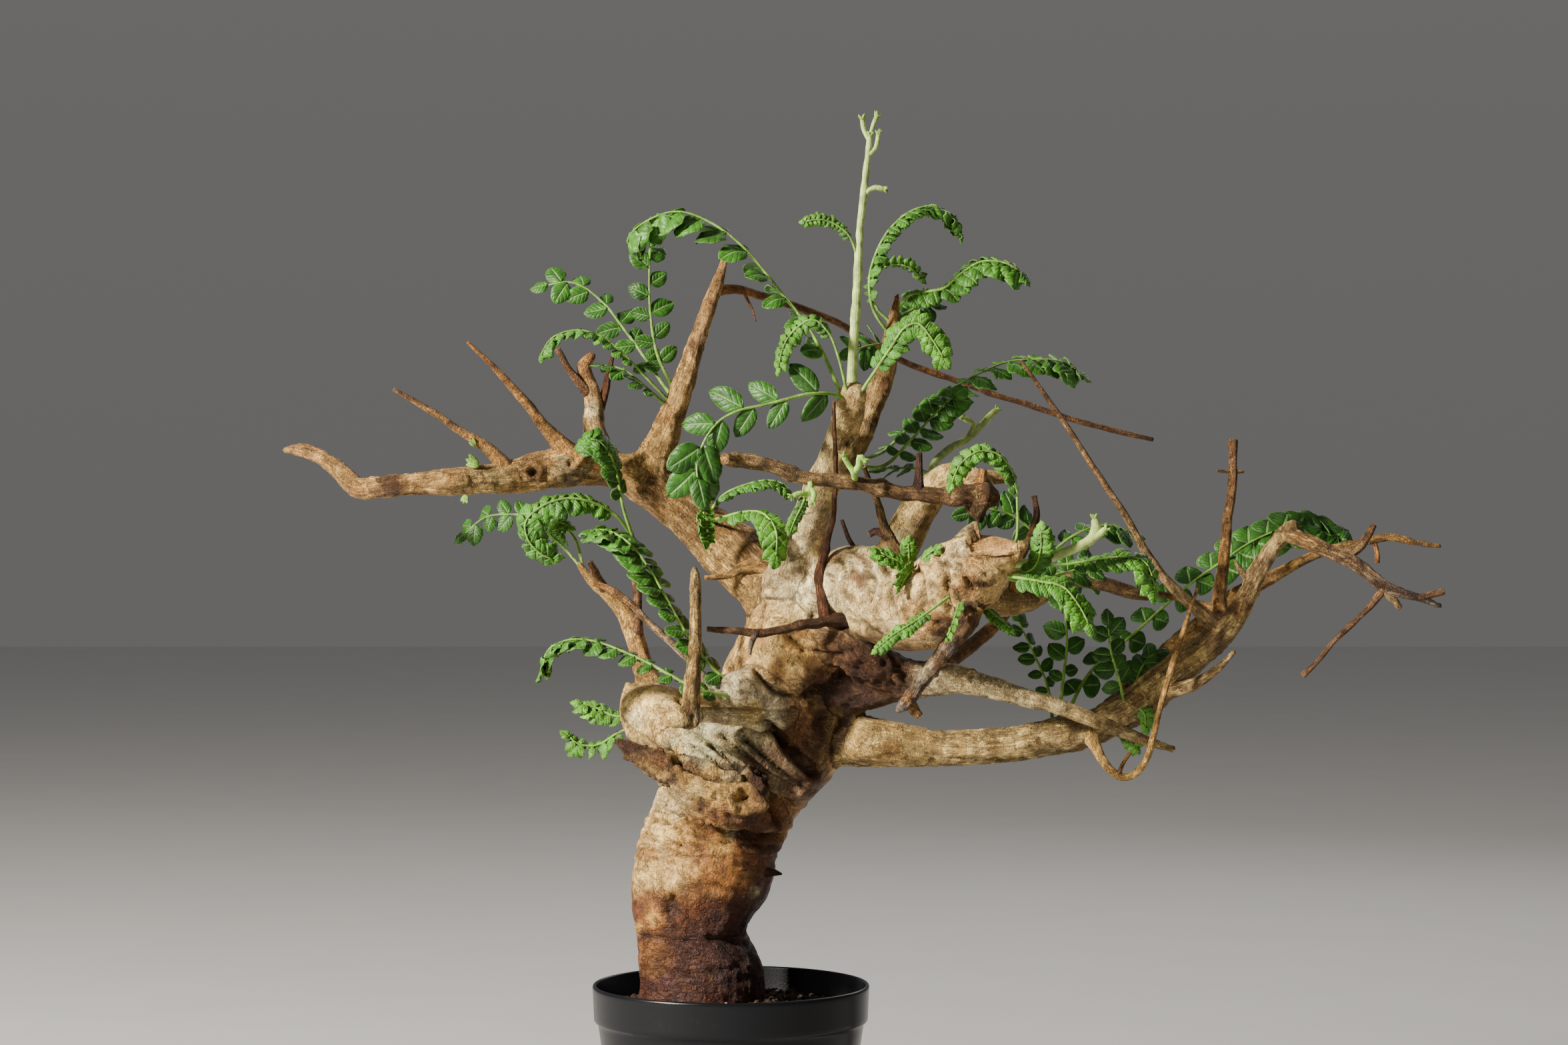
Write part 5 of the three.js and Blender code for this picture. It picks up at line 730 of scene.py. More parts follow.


# Creases seen from the front: a run of [across, height] points, then the width and depth of the crease; each
# is painted dark along its line as painted shade
CREASES = [
    ([(84, 257.5), (92, 258.3), (100, 256.6), (107, 258)], 1.0, 1.4),
    ([(20, 229), (28, 222), (38, 219), (46, 221)], 1.4, 1.6),
    ([(-25, 169), (-16.2, 159.5), (-7.5, 154), (0.4, 151), (10, 149.6), (20, 151)], 1.7, 3.2),
    ([(-20, 179.5), (-9, 174), (1, 173), (9, 172), (15, 166), (16.9, 157)], 1.4, 2.4),
    ([(-3, 189), (6.5, 180.5), (15.2, 173.4), (24, 168.6)], 1.2, 2.2),
    ([(5.6, 188), (15.2, 179), (22, 173.6), (27, 170.5)], 1.3, 2.2),
    ([(-7.5, 185.4), (1.2, 179), (9, 171), (15, 163), (20, 154)], 1.1, 1.9),
    ([(14, 194), (23.9, 181.5), (30, 175.5)], 1.8, 2.6),
    ([(-20, 190), (-12, 183), (-3, 177.5), (4, 176)], 1.0, 1.8),
    ([(-37, 159), (-25, 156), (-16.2, 151.6), (-7.5, 148.8), (6.5, 146.9), (20, 147)], 1.0, 1.5),
    ([(-37, 153.5), (-26.7, 150.6), (-18, 147), (-10, 145.5)], 0.8, 1.2),
    ([(-34, 162.5), (-22.3, 159.3), (-17.1, 156.8)], 0.8, 1.2),
    ([(-38, 149), (-25, 146), (-15.4, 143.4), (-2, 142.6)], 0.9, 1.0),
    ([(-31, 166.5), (-20.6, 162.8)], 0.7, 0.9),
    ([(-28, 172), (-21, 166)], 0.7, 0.8),
    ([(-37, 140), (-27, 138), (-18, 137.4)], 0.8, 0.5),
    ([(-38, 133), (-22, 130.5), (-9, 132), (4, 130)], 1.0, 0.5),
    ([(-36, 113), (-20, 110.5), (-4, 112), (6, 110)], 1.2, 0.8),
    ([(-34, 100), (-18, 98), (0, 100)], 1.2, 0.8),
    ([(10, 214), (17, 206), (26, 203), (33, 208)], 1.3, 1.6),
    ([(36, 236), (42, 232), (50, 231)], 1.6, 1.6),
    ([(57, 258), (60, 250), (60, 242), (63, 233)], 1.3, 1.4),
    ([(62, 258), (65, 250), (65, 242), (68, 232)], 0.9, 0.8),
    ([(68, 256), (72, 250), (73, 240), (72, 231)], 1.1, 1.2),
    ([(79, 262), (82, 254), (81, 245), (83, 237)], 1.2, 1.2),
    ([(46, 260), (52, 256), (55, 248), (52, 240)], 1.0, 1.1),
    ([(42, 256), (44, 249), (42, 242), (43, 236)], 1.0, 1.0),
    ([(32, 250), (33, 242), (31, 234)], 1.2, 1.3),
    ([(-20, 203), (-14, 197), (-16, 190)], 1.0, 1.2),
    ([(12, 240), (10, 230), (13, 220)], 1.0, 1.0),
    ([(76, 262), (79, 256), (87, 252), (92, 244)], 0.8, 1.3),
]

# Patches of colour seen from the front: [across, height, radius, tint, strength]. Many are the bark's own
# tints; others are painted shade (umber and rust on the trunk's lower right, in the recess by the right
# limb's foot and in the gap under the knuckle) and painted light (orange and cream on the trunk's lit left,
# white and cream highlights on the callus and on the level dead arm)
PATCHES_AND_PAINTED_SHADING = [
    # Painted shade: umber and rust grading from the trunk's lower right to its middle, on this line and the
    # next two
    (9, 151, 9, "rust", 0.6), (15, 143, 9, "umber", 0.6), (10, 129, 9, "rust", 0.6),
    (6, 113, 10, "umber", 0.6), (4, 100, 10, "umber", 0.55), (-9, 119, 13, "rust", 0.6),
    # Painted light: orange at (-30, 104) on the trunk's lit left. Painted shade: umber at (36, 190) in the
    # recess by the right limb
    (-10, 104, 13, "umber", 0.4), (-30, 104, 8, "orange", 0.6), (36, 190, 8, "umber", 0.75),
    # Painted shade: umber at (31, 172) and (40, 199). Painted light: golden and cream on the trunk's lit
    # upper left, here and on the next line
    (31, 172, 8, "umber", 0.6), (40, 199, 8, "umber", 0.6), (-22, 152, 9, "golden", 0.5),
    (-29, 152, 9, "cream", 0.75), (-24, 165, 8, "white", 0.55), (-33, 137, 7, "cream", 0.7),
    (-20, 138, 12, "tan", 0.5), (0, 141, 13, "orange", 0.7), (8, 153, 9, "rust", 0.75),
    (14, 135, 8, "umber", 0.5), (-29, 120, 6, "orange", 0.7), (-22, 122, 4, "umber", 0.7),
    # Painted highlights: white at (2, 177) and cream at (-13.5, 168) on the callus
    (2, 177, 6, "white", 0.7), (-13.5, 168, 4.5, "cream", 0.8), (4.7, 167, 5.5, "tan", 0.75),
    (-25, 181, 7, "umber", 0.6), (-36, 185, 6, "umber", 0.5), (-6, 160, 6, "orange", 0.6),
    (8, 161, 7, "rust", 0.6), (-30, 198, 9, "cream", 0.8), (-24, 206, 7, "white", 0.4),
    (-11, 183, 6, "celadon", 0.8), (-18, 187, 5, "white", 0.6), (22, 186, 10, "rust", 0.65),
    (32, 180, 9, "umber", 0.55), (16, 178, 6, "umber", 0.5), (14, 200, 9, "grey", 0.7),
    (4, 204, 6, "white", 0.5), (26, 222, 9, "tan", 0.6), (14, 222, 6, "cream", 0.6),
    # Painted shade: umber at (30, 208) and (40, 205) in the recess beside the right limb
    (30, 208, 8, "umber", 0.75), (26, 196, 8, "rust", 0.7), (40, 205, 10, "umber", 0.8),
    (52, 214, 9, "rust", 0.5), (28, 245, 7, "white", 0.7), (50, 247, 3.4, "rust", 0.8),
    (46, 243, 3.0, "cream", 0.7), (56, 252, 4, "white", 0.6), (62, 258, 4, "grey", 0.5),
    (70, 234, 8, "tan", 0.6), (80, 232, 6, "orange", 0.6), (90, 246, 6, "orange", 0.6),
    (84, 256, 6, "white", 0.5), (92, 256, 5, "tan", 0.7), (103, 262, 6, "cut", 0.85),
    (88, 262, 4, "white", 0.6), (76, 212, 8, "white", 0.5), (66, 262, 7, "white", 0.6),
    (72, 270, 4, "rust", 0.5), (-130, 285, 6, "umber", 0.7), (-75, 289, 4, "umber", 0.6),
    (-100, 285, 9, "cream", 0.35), (-60, 290, 8, "celadon", 0.4), (42, 300, 4, "rust", 0.6),
    (47, 286, 4, "grey", 0.4), (52, 188, 9, "cream", 0.5), (110, 186, 10, "cream", 0.5),
    (160, 206, 8, "cream", 0.4), (90, 185, 9, "cream", 0.5), (132, 192, 9, "cream", 0.5),
    (183, 226, 8, "brown", 0.6), (200, 252, 8, "brown", 0.6), (192, 238, 6, "orange", 0.5),
    # Painted shade: umber at (52.5, 224) and (62, 220) in the dark gap under the knuckle
    (52.5, 224, 9, "umber", 0.8), (62, 220, 8, "umber", 0.7), (70, 222, 6, "rust", 0.6),
    (84, 222, 3, "lilac", 0.8), (79, 216, 2.6, "orange", 0.8), (73, 210, 3, "lilac", 0.8),
    (67, 203, 3, "orange", 0.8), (88, 232, 4, "umber", 0.8), (92, 247, 4, "umber", 0.7),
    (86, 243, 4, "rust", 0.7), (97, 249, 3.5, "umber", 0.6), (90, 239, 3, "umber", 0.8),
    (101, 255, 2.6, "rust", 0.7), (80, 228, 5, "umber", 0.7), (76, 246, 3, "umber", 0.4),
    (52, 250, 2.6, "umber", 0.8), (47, 250, 2.6, "rust", 0.8), (44, 243, 2.4, "umber", 0.7),
    (54, 244, 2.4, "umber", 0.6), (49, 256, 3, "rust", 0.5), (-28, 181, 4, "rust", 0.6),
    (-38, 186, 4, "umber", 0.8), (-31, 186, 3, "umber", 0.6), (-36, 205, 6, "cream", 0.8),
    (-28, 199, 7, "cream", 0.6), (8.9, 129.8, 2.4, "white", 1), (-36, 115.5, 3, "tan", 0.9),
    (0.5, 152.3, 3, "white", 1), (38, 258, 4, "orange", 0.5), (34, 276, 4, "rust", 0.5),
    (44, 292, 4, "rust", 0.6), (53, 308, 4, "umber", 0.5), (58, 322, 4, "orange", 0.5),
    (37, 286, 4, "cream", 0.7), (28, 262, 5, "white", 0.5), (-129, 284, 4, "umber", 0.7),
    (-141, 285, 6, "orange", 0.6), (-158, 296, 7, "orange", 0.6), (-118, 284, 6, "tan", 0.6),
    (-88, 289, 5, "cream", 0.6), (-78, 292, 3, "rust", 0.6), (-60, 288, 4, "umber", 0.5),
    (-48, 302, 4, "umber", 0.5), (-52, 312, 4, "white", 0.6), (-26, 310, 4, "orange", 0.5),
    (-14, 338, 4, "brown", 0.5), (-8, 352, 4, "orange", 0.5), (12, 262, 7, "brown", 0.5),
    (2, 266, 6, "umber", 0.4), (-12, 276, 6, "brown", 0.5), (22, 254, 6, "umber", 0.4),
    (70, 270, 3, "umber", 0.6), (66, 258, 3, "umber", 0.5), (74, 280, 3, "rust", 0.6),
    (62, 264, 3, "white", 0.7), (2, 176, 4, "umber", 0.6), (12, 168, 5, "umber", 0.7),
    (-4, 158, 5, "rust", 0.6), (-12, 163, 4, "rust", 0.6), (5, 181, 4, "umber", 0.5),
    (-14, 179, 3, "umber", 0.7), (-20, 183, 3, "cream", 0.8), (28, 228, 5, "orange", 0.5),
    (10, 228, 5, "tan", 0.6), (18, 214, 5, "orange", 0.5), (32, 214, 6, "rust", 0.6),
    (24, 216, 4, "cream", 0.5), (-32, 199, 12, "cream", 0.8), (-36, 196, 5, "white", 0.7),
    # Painted shade: umber and rust from (9, 176) down to (2, 106) on the trunk's right side, on this line and
    # the next
    (-26, 192, 6, "orange", 0.3), (9, 176, 7, "umber", 0.75), (14, 150, 8, "umber", 0.6),
    (13, 138, 8, "rust", 0.7), (9, 122, 9, "umber", 0.75), (2, 106, 11, "umber", 0.75),
    (-14, 96, 12, "rust", 0.6), (-158, 296, 9, "cut", 0.7), (-141, 286, 7, "cut", 0.6),
    (-110, 285, 8, "cut", 0.5), (-92, 287, 7, "cream", 0.5), (-29, 120, 3.4, "tan", 0.8),
    # Painted shade: umber at (36, 192) in the recess by the right limb's foot
    (36, 192, 7, "umber", 0.85), (54, 190, 5, "cream", 0.7), (60, 183, 5, "orange", 0.5),
    (-24, 138, 9, "cream", 0.5), (-150, 291, 13, "golden", 0.4), (-112, 284, 12, "golden", 0.3),
    (-4, 196, 6, "lilac", 0.4), (8, 196, 6, "white", 0.7), (-4, 147, 5, "golden", 0.5),
    # Painted shade: umber at (38, 198) in the same recess
    (-6, 134, 6, "orange", 0.6), (-14, 128, 7, "rust", 0.5), (38, 198, 10, "umber", 0.9),
    # Painted shade: umber at (33, 184) and (44, 206) in the recess. Painted light: white and cream on the
    # level dead arm at (0, 197), (-10, 197) and (8, 197.5), against the shade that falls on it
    (33, 184, 8, "umber", 0.8), (44, 206, 8, "umber", 0.8), (0, 197, 5, "white", 0.8),
    (-10, 197, 4, "white", 0.8), (8, 197.5, 5, "cream", 0.8), (-28, 282, 10, "brown", 0.6),
    (-12, 270, 10, "brown", 0.55), (4, 258, 9, "brown", 0.5), (16, 247, 7, "brown", 0.4),
    (-6, 169, 4, "golden", 0.6), (10, 173, 5, "umber", 0.8), (3, 168, 5, "golden", 0.5),
    (-8, 156, 6, "orange", 0.6), (2, 156, 5, "rust", 0.6),
]

# Small forms of the bark. Dents and bumps are [across, height, depth, radius, amount]: each pushes the skin
# in or out within its radius. Swirls are rings round a point, as on an old branch scar, with the gap between
# rings before the amount.
DENTS = [
    (-22.6, 127.5, -21, 2.4, -3.2), (-23, 124.5, -21, 2.6, -3.4), (-23.8, 121, -20, 2.2, -2.4),
    (-33, 139, -14, 2.6, -1.2), (5.5, 166, -41, 3.8, -4.5), (91, 268.5, -70, 2.4, -2.6),
    (-75, 288, 0, 2.6, -2.2), (34, 168, -26, 4.5, -1.4), (22, 150, -22, 5, -1.6), (38, 193, -24, 8, -4.5),
    (29, 185, -27, 5, -2.5), (-9, 154, -26, 6, -1.5), (4, 153.5, -27, 5.5, -1.7),
    (-131, 284, -6, 3.2, -0.8), (50, 247, -40, 2.2, -1.1), (77, 240, -68, 2.2, -1.2),
    (62, 249, -50, 3.4, -0.9),
]
BUMPS = [
    (-28.5, 121.5, -18, 3.6, 2.6), (-26.5, 118, -19, 3, 1.8), (-30, 201, -6, 6, 1.8),
    (48, 186, -19, 7, 1.6), (-39, 117, -8, 2.6, 2.4), (-35, 115, -10, 2.2, 2.0), (8.5, 130, -24, 3, 1.6),
    (3, 171, -42, 3.2, 2.2), (10, 164, -41, 3, 2.2), (1, 162, -41, 3, 2), (81, 214, -33, 3.2, 2.2),
    (91, 212, -35, 3, 1.8), (-25, 186, -14, 5, 1.4), (-12, 193, -16, 6, 1.6), (14, 190, -30, 7, 1.8),
    (26, 182, -28, 7, 1.6), (40, 252, -34, 5, 1.5), (56, 252, -46, 5, 1.2), (66, 244, -60, 5, 1.3),
    (86, 258, -72, 5, 1.4), (-62, 295, 4, 4, 1.4), (-76, 292, 2, 4, 1.3), (-96, 290, -5, 3, 1.2),
    (-112, 287, -8, 2.6, 1.1), (96, 188, -20, 4.5, 1.2), (124, 194, -22, 5, 1.6), (155, 206, -27, 5, 1.4),
    (118, 244, -32, 3, 1.6), (140, 249, -21, 2.6, 1.2), (-25, 305, 6, 4, 1.2), (-18, 322, 3, 3, 1.1),
    (53, 312, -32, 3, 1.1),
]
SWIRLS = [
    (48, 246, -42, 13, 3.2, 0.32), (66, 241, -58, 12, 3.0, 0.22), (24, 226, -28, 13, 3.6, 0.25),
    (5.5, 166, -41, 10, 2.8, 0.5), (26, 186, -30, 12, 4.2, 0.3),
]

# Crusts are rough places, [across, height, depth, radius, amount]. Sawn faces are [across, height, depth], a
# radius and the way that the face looks: the wood that stands past it is cut away.
CRUSTS = [
    (88, 250, -70, 12, 1.5), (97, 251, -74, 8, 1.2), (92, 237, -68, 8, 1.3), (80, 233, -62, 8, 1.0),
    (-22, 176, -26, 12, 1.3), (-37, 183, -19, 8, 1.4), (-6, 164, -36, 9, 1.1), (8, 160, -34, 8, 1.0),
    (50, 247, -42, 6, 0.9), (30, 206, -26, 10, 0.9), (46, 214, -30, 12, 1.3), (60, 212, -34, 9, 1.2),
    (-24, 119, -20, 7, 1.0), (-36, 116, -12, 5, 1.2), (2, 104, -14, 9, 0.7), (-128, 285, -6, 9, 0.7),
    (-72, 290, 0, 7, 0.8), (44, 300, -46, 7, 0.9), (78, 212, -33, 6, 0.8), (-128, 285, -6, 8, 0.8),
    (-100, 287, -8, 8, 0.5), (-26, 305, 4, 7, 0.6), (-16, 330, 2, 6, 0.6), (55, 318, -31, 7, 0.7),
    (30, 268, -32, 6, 0.5), (196, 243, -38, 7, 0.7), (170, 214, -32, 8, 0.6), (150, 199, -25, 8, 0.5),
    (82, 224, -77, 7, 0.7), (70, 207, -80, 6, 0.7), (40, 210, -20, 10, 1.1), (66, 262, -34, 6, 0.6),
    (73, 277, -34, 6, 0.6),
]
SAWN = [((100.5, 261.2, -73), 10.5, (-0.10, -0.42, 0.90))]

# Ring knots seen from the front, a raised ring round a hollow painted dark as painted shade: [across, height,
# radius, amount]
KNOTS = [
    (3.4, 164.6, 4.6, 1.7), (81, 214, 2.5, 1.3), (91, 212, 2.3, 1.1), (-74.5, 288.5, 2.8, 1.2),
    (-60, 292, 2.2, 0.8), (66, 236, 2.4, 0.8), (116, 187, 2.4, 0.8), (-101, 286, 1.9, 0.7),
    (47, 268, 2.0, 0.7), (-22, 305, 2.2, 0.7), (140, 195, 2.4, 0.8), (57, 296, 1.9, 0.7),
    (128, 200, 1.6, 0.6),
]


class WoodGrid:
    """Signed distances to the melted limbs on a grid, worked out block by block near the skin alone"""

    MARGIN = 7.0
    FAR = 9.0
    ROOM = 3
    TINT_REACH = 1.4
    SPARE_PICKS = 24

    def __init__(self, skeleton, spacing):
        self.skeleton = skeleton
        self.spacing = spacing
        widest = np.maximum(skeleton.radius, skeleton.radius_end)
        half = np.linalg.norm(skeleton.end - skeleton.start, axis=1) / 2
        room = 2 * spacing + self.ROOM
        self.lowest = (skeleton.middle - widest[:, None]).min(0) - room
        highest = (skeleton.middle + widest[:, None]).max(0) + room
        self.blocks = np.ceil((highest - self.lowest) / spacing / BLOCK).astype(int)
        self.values = np.full(self.blocks * BLOCK, self.FAR, np.float32)
        self.picks = {}
        size = BLOCK * spacing
        diagonal = size * math.sqrt(3) / 2
        steps = np.stack(np.meshgrid(*[np.arange(BLOCK)] * 3, indexing="ij"), -1).reshape(-1, 3) * spacing
        for block in np.ndindex(*self.blocks):
            corner = self.lowest + np.array(block) * size
            away = np.linalg.norm(skeleton.middle - corner - (size - spacing) / 2, axis=1)
            gap = away - widest - half
            if gap.min() > diagonal + 1:
                continue
            place = tuple(slice(b * BLOCK, (b + 1) * BLOCK) for b in block)
            narrow = np.minimum(skeleton.radius, skeleton.radius_end) * np.minimum(skeleton.flat, 1)
            if (narrow - away).max() > diagonal + 1.5:
                self.values[place] = -self.FAR
                continue
            picked = np.flatnonzero(gap < diagonal + self.MARGIN)
            self.picks[block] = picked
            distances, _, _ = skeleton.measure(corner + steps, picked)
            self.values[place] = skeleton.joined(distances, picked).reshape(BLOCK, BLOCK, BLOCK)

    def net(self):
        """The skin as corners and four-sided faces: one corner in each cell that the skin passes through"""
        values = self.values
        inside = values < 0
        count = np.zeros(np.array(values.shape) - 1, np.int8)
        for dx, dy, dz in itertools.product((0, 1), repeat=3):
            count += inside[dx:dx + count.shape[0], dy:dy + count.shape[1], dz:dz + count.shape[2]]
        cells = np.argwhere((count > 0) & (count < 8))
        index = np.full(count.shape, -1, np.int32)
        index[tuple(cells.T)] = np.arange(len(cells))
        place = np.zeros((len(cells), 3))
        crossings = np.zeros((len(cells), 1))
        for axis in range(3):
            for near in itertools.product((0, 1), repeat=2):
                low = np.insert(near, axis, 0)
                high = np.insert(near, axis, 1)
                a = values[tuple((cells + low).T)]
                b = values[tuple((cells + high).T)]
                crossed = ((a < 0) != (b < 0))[:, None]
                share = (a / np.where(a == b, 1, a - b))[:, None]
                place += np.where(crossed, low + share * (high - low), 0)
                crossings += crossed
        corners = self.lowest + (cells + place / crossings) * self.spacing
        faces = []
        for axis in range(3):
            first, second = [k for k in range(3) if k != axis]
            if axis == 1:
                first, second = second, first
            near = [slice(1, -1)] * 3
            far = [slice(1, -1)] * 3
            near[axis], far[axis] = slice(0, -1), slice(1, None)
            a, b = inside[tuple(near)], inside[tuple(far)]
            shift = np.ones(3, int)
            shift[axis] = 0
            for leaving in (True, False):
                found = np.argwhere(a & ~b if leaving else ~a & b) + shift
                ring = []
                for back_first, back_second in ((1, 1), (0, 1), (0, 0), (1, 0)):
                    cell = found.copy()
                    cell[:, first] -= back_first
                    cell[:, second] -= back_second
                    ring.append(index[tuple(cell.T)])
                quad = np.stack(ring if leaving else ring[::-1], -1)
                faces.append(quad)
        return corners, np.vstack(faces)

    def read(self, corners):
        """What the bark needs at each corner: nearest limb, radius there, grain and mixed tint"""
        block = np.clip(((corners - self.lowest) / self.spacing / BLOCK).astype(int), 0, self.blocks - 1)
        keys = (block * [self.blocks[1] * self.blocks[2], self.blocks[2], 1]).sum(1)
        order = np.argsort(keys, kind="stable")
        starts = np.flatnonzero(np.r_[True, np.diff(keys[order]) > 0, True])
        skeleton = self.skeleton
        limb = np.zeros(len(corners), int)
        radius = np.zeros(len(corners))
        grain = np.zeros((len(corners), 3))
        tint = np.zeros((len(corners), 3))
        ends = np.array([[TINTS[k] for k in LIMBS[name]["tint"]] for name in skeleton.names])
        for a, b in zip(starts[:-1], starts[1:]):
            rows = order[a:b]
            picked = self.picks.get(tuple(block[rows[0]]))
            if picked is None:
                away = np.linalg.norm(skeleton.middle - corners[rows[0]], axis=1)
                picked = np.sort(np.argsort(away)[:self.SPARE_PICKS])
            distances, t, offset = skeleton.measure(corners[rows], picked)
            best = distances.argmin(1)
            seg = picked[best]
            t = np.take_along_axis(t, best[:, None], 1)[:, 0]
            out = offset[np.arange(len(rows)), best]
            limb[rows] = skeleton.limb[seg]
            radius[rows] = skeleton.radius[seg] + t * (skeleton.radius_end[seg] - skeleton.radius[seg])
            grain[rows, 0] = (out * skeleton.up[seg]).sum(1)
            grain[rows, 1] = (out * skeleton.side[seg]).sum(1)
            grain[rows, 2] = skeleton.along[seg] + t * (skeleton.along_end[seg] - skeleton.along[seg])
            weight = np.exp(-(distances - distances.min(1, keepdims=True)) / self.TINT_REACH)
            share = skeleton.share[picked][:, None]
            foot, end = ends[skeleton.limb[picked], 0], ends[skeleton.limb[picked], 1]
            tint[rows] = weight @ (foot * (1 - share) + end * share) / weight.sum(1, keepdims=True)
        return limb, radius, grain, tint


def line_distance(across, height, line):
    """The distance of each point from a run of [across, height] points"""
    least = np.full(len(across), 1e3)
    for (x0, z0), (x1, z1) in zip(line, line[1:]):
        reach_x, reach_z = x1 - x0, z1 - z0
        t = np.clip(((across - x0) * reach_x + (height - z0) * reach_z) / (reach_x ** 2 + reach_z ** 2), 0, 1)
        least = np.minimum(least, np.hypot(across - x0 - t * reach_x, height - z0 - t * reach_z))
    return least


class Bark:
    """The skin of the thick limbs, with its relief in millimetres and its darkness from 0 to 1: dark cracks,
    and painted shade in the hollows of lumps, pocks, furrows, rings, creases, crags, swirls, knots and dents
    """

    def __init__(self, corners, normals, limb, radius, grain, names):
        self.corners, self.normals, self.limb, self.radius = corners, normals, limb, radius
        self.grain, self.names = grain, names
        self.fibre = np.array([LIMBS[name]["fibre"] for name in names])[limb]
        self.across, self.height = front_view(corners)
        self.relief = np.zeros(len(corners))
        self.crack_and_shade = np.zeros(len(corners))

    def darken_cracks(self, depth):
        """Makes the darkness of cracks and painted shade at least so strong at each corner"""
        self.crack_and_shade = np.maximum(self.crack_and_shade, depth)

    def on(self, *names):
        return np.isin(self.limb, [self.names.index(name) for name in names])

    def away_from(self, spot):
        return np.linalg.norm(self.corners - placed(spot), axis=1)

    def add_skin(self):
        """Swells, lumps, pocks, and the furrows along the grain of fibrous bark, with painted shade in the
        low parts of lumps and pocks and along the furrows
        """
        thick = smoothstep(4, 22, self.radius)
        lumps = texture("lumps", self.corners)
        pocks = texture("pocks", self.corners)
        self.relief += texture("swells", self.corners) * (0.35 + 0.7 * thick) - 0.3 * thick
        self.relief += lumps * (0.28 + 0.42 * thick)
        self.relief += pocks * (0.10 + 0.5 * self.fibre) * np.minimum(1, self.radius / 4)
        self.darken_cracks(smoothstep(-0.42, -0.62, lumps) * 0.6)
        self.darken_cracks(smoothstep(-0.38, -0.6, pocks) * (0.35 + 0.4 * self.fibre))
        furrows = layered(self.grain / (2.4, 2.4, 11) + self.limb[:, None] * GRAIN_SHIFT, 2, 21)
        furrow = smoothstep(0.34, 0.02, np.abs(furrows)) * self.fibre
        self.relief -= furrow * (0.2 + 0.07 * np.minimum(self.radius, 9))
        self.darken_cracks(furrow * 0.9)

    def add_trunk_rings(self):
        """Ring wrinkles round the trunk at half its height, painted dark in their troughs as painted shade,
        and strips along its foot
        """
        trunk = self.on("trunk", "foot")
        warp = texture("ring_warp", self.corners) * 3.2 + 0.18 * (self.across + 10)
        rings = np.sin((self.height + warp) * FULL_TURN / RING_SPACING) * 0.5 + 0.5
        band = smoothstep(131, 143, self.height) * smoothstep(172, 162, self.height) * trunk
        band = band * smoothstep(-0.6, 0.2, texture("ring_breaks", self.corners))
        self.relief += band * (rings ** 0.6 - 0.6) * 0.75
        self.darken_cracks(band * (1 - rings) ** 3 * 0.6)
        low = smoothstep(136, 124, self.height) * trunk
        strips = layered(self.grain / (3.4, 3.4, 24), 3, 51)
        self.relief += low * (np.abs(strips) - 0.3) * 1.1

    def add_creases(self):
        """Creases that the viewer sees, each with a low swell beside it and painted shade along its line"""
        facing = smoothstep(0.0, -0.5, self.normals[:, 1])
        wander = texture("crease_wander", self.corners)
        for line, width, listed in CREASES:
            depth = listed * CREASE_SCALE
            away = line_distance(self.across, self.height, line) + 0.35 * width * wander
            self.relief -= facing * depth * np.exp(-(away / width) ** 2)
            self.relief += facing * 0.3 * depth * np.exp(-((away - 2.3 * width) / (1.3 * width)) ** 2)
            self.darken_cracks(facing * min(1, depth / 2) * np.exp(-(away / (0.62 * width)) ** 2))

    def add_crusts(self):
        """The knobbly callus, and crags on rough places, with painted shade between the knobs and in the
        crags
        """
        crusty = self.on("callus") + 0.45 * self.on("callus_belly")
        knobs = np.abs(texture("knobs", self.corners))
        self.relief += crusty * (knobs * 2.4 - 0.4)
        self.darken_cracks(crusty * smoothstep(0.10, 0.0, knobs) * 0.8)
        rough = np.zeros(len(self.corners))
        ragged = texture("crust_edge", self.corners)
        for *spot, reach, amount in CRUSTS:
            here = smoothstep(1.1, 0.55, self.away_from(spot) / reach + 0.3 * ragged)
            rough = np.maximum(rough, amount * here)
        crags = texture("crags", self.corners)
        self.relief += rough * (1.5 * crags - 0.15)
        self.darken_cracks(np.minimum(1, rough) * smoothstep(-0.05, -0.32, crags))

    def add_swirls(self):
        wander = texture("swirl_wander", self.corners) * 2.2
        for *spot, reach, gap, amount in SWIRLS:
            away = self.away_from(spot)
            here = smoothstep(reach * 1.15, reach * 0.5, away)
            wave = np.sin((away + wander) * FULL_TURN / gap)
            self.relief += here * wave * amount
            # Painted shade in the troughs between the rings
            self.darken_cracks(here * smoothstep(-0.55, -1, wave) * 0.55)

    def add_knots(self):
        """Ring knots, each on the skin nearest to the viewer, with a broken moat round its ring; the hollow
        and the moat are painted dark, painted shade
        """
        wander = texture("knot_wander", self.corners)
        breaks = smoothstep(-0.3, 0.3, texture("moat_breaks", self.corners))
        far = 1e3
        depth = np.where(self.normals[:, 1] < -0.1, self.corners[:, 1], far)
        for across, height, reach, amount in KNOTS:
            beside = np.hypot(self.across - across, self.height - height) > 1.5
            middle = self.corners[np.argmin(depth + far * beside)]
            away = np.linalg.norm(self.corners - middle, axis=1) + 0.12 * reach * wander
            ring = np.exp(-((away - reach) / (0.38 * reach)) ** 2)
            hollow = np.exp(-(away / (0.6 * reach)) ** 2)
            moat = np.exp(-((away - 1.75 * reach) / (0.22 * reach)) ** 2)
            self.relief += amount * (ring - 0.8 * hollow - 0.25 * moat)
            self.darken_cracks(np.maximum(hollow, 0.6 * moat * breaks))

    def add_dents(self):
        """Dents and bumps. Dents are painted dark inside as well, painted shade"""
        for *spot, reach, amount in DENTS + BUMPS:
            here = np.exp(-(self.away_from(spot) / reach) ** 2 * 1.6)
            self.relief += here * amount
            self.darken_cracks(here * min(1, -amount / 2.2))

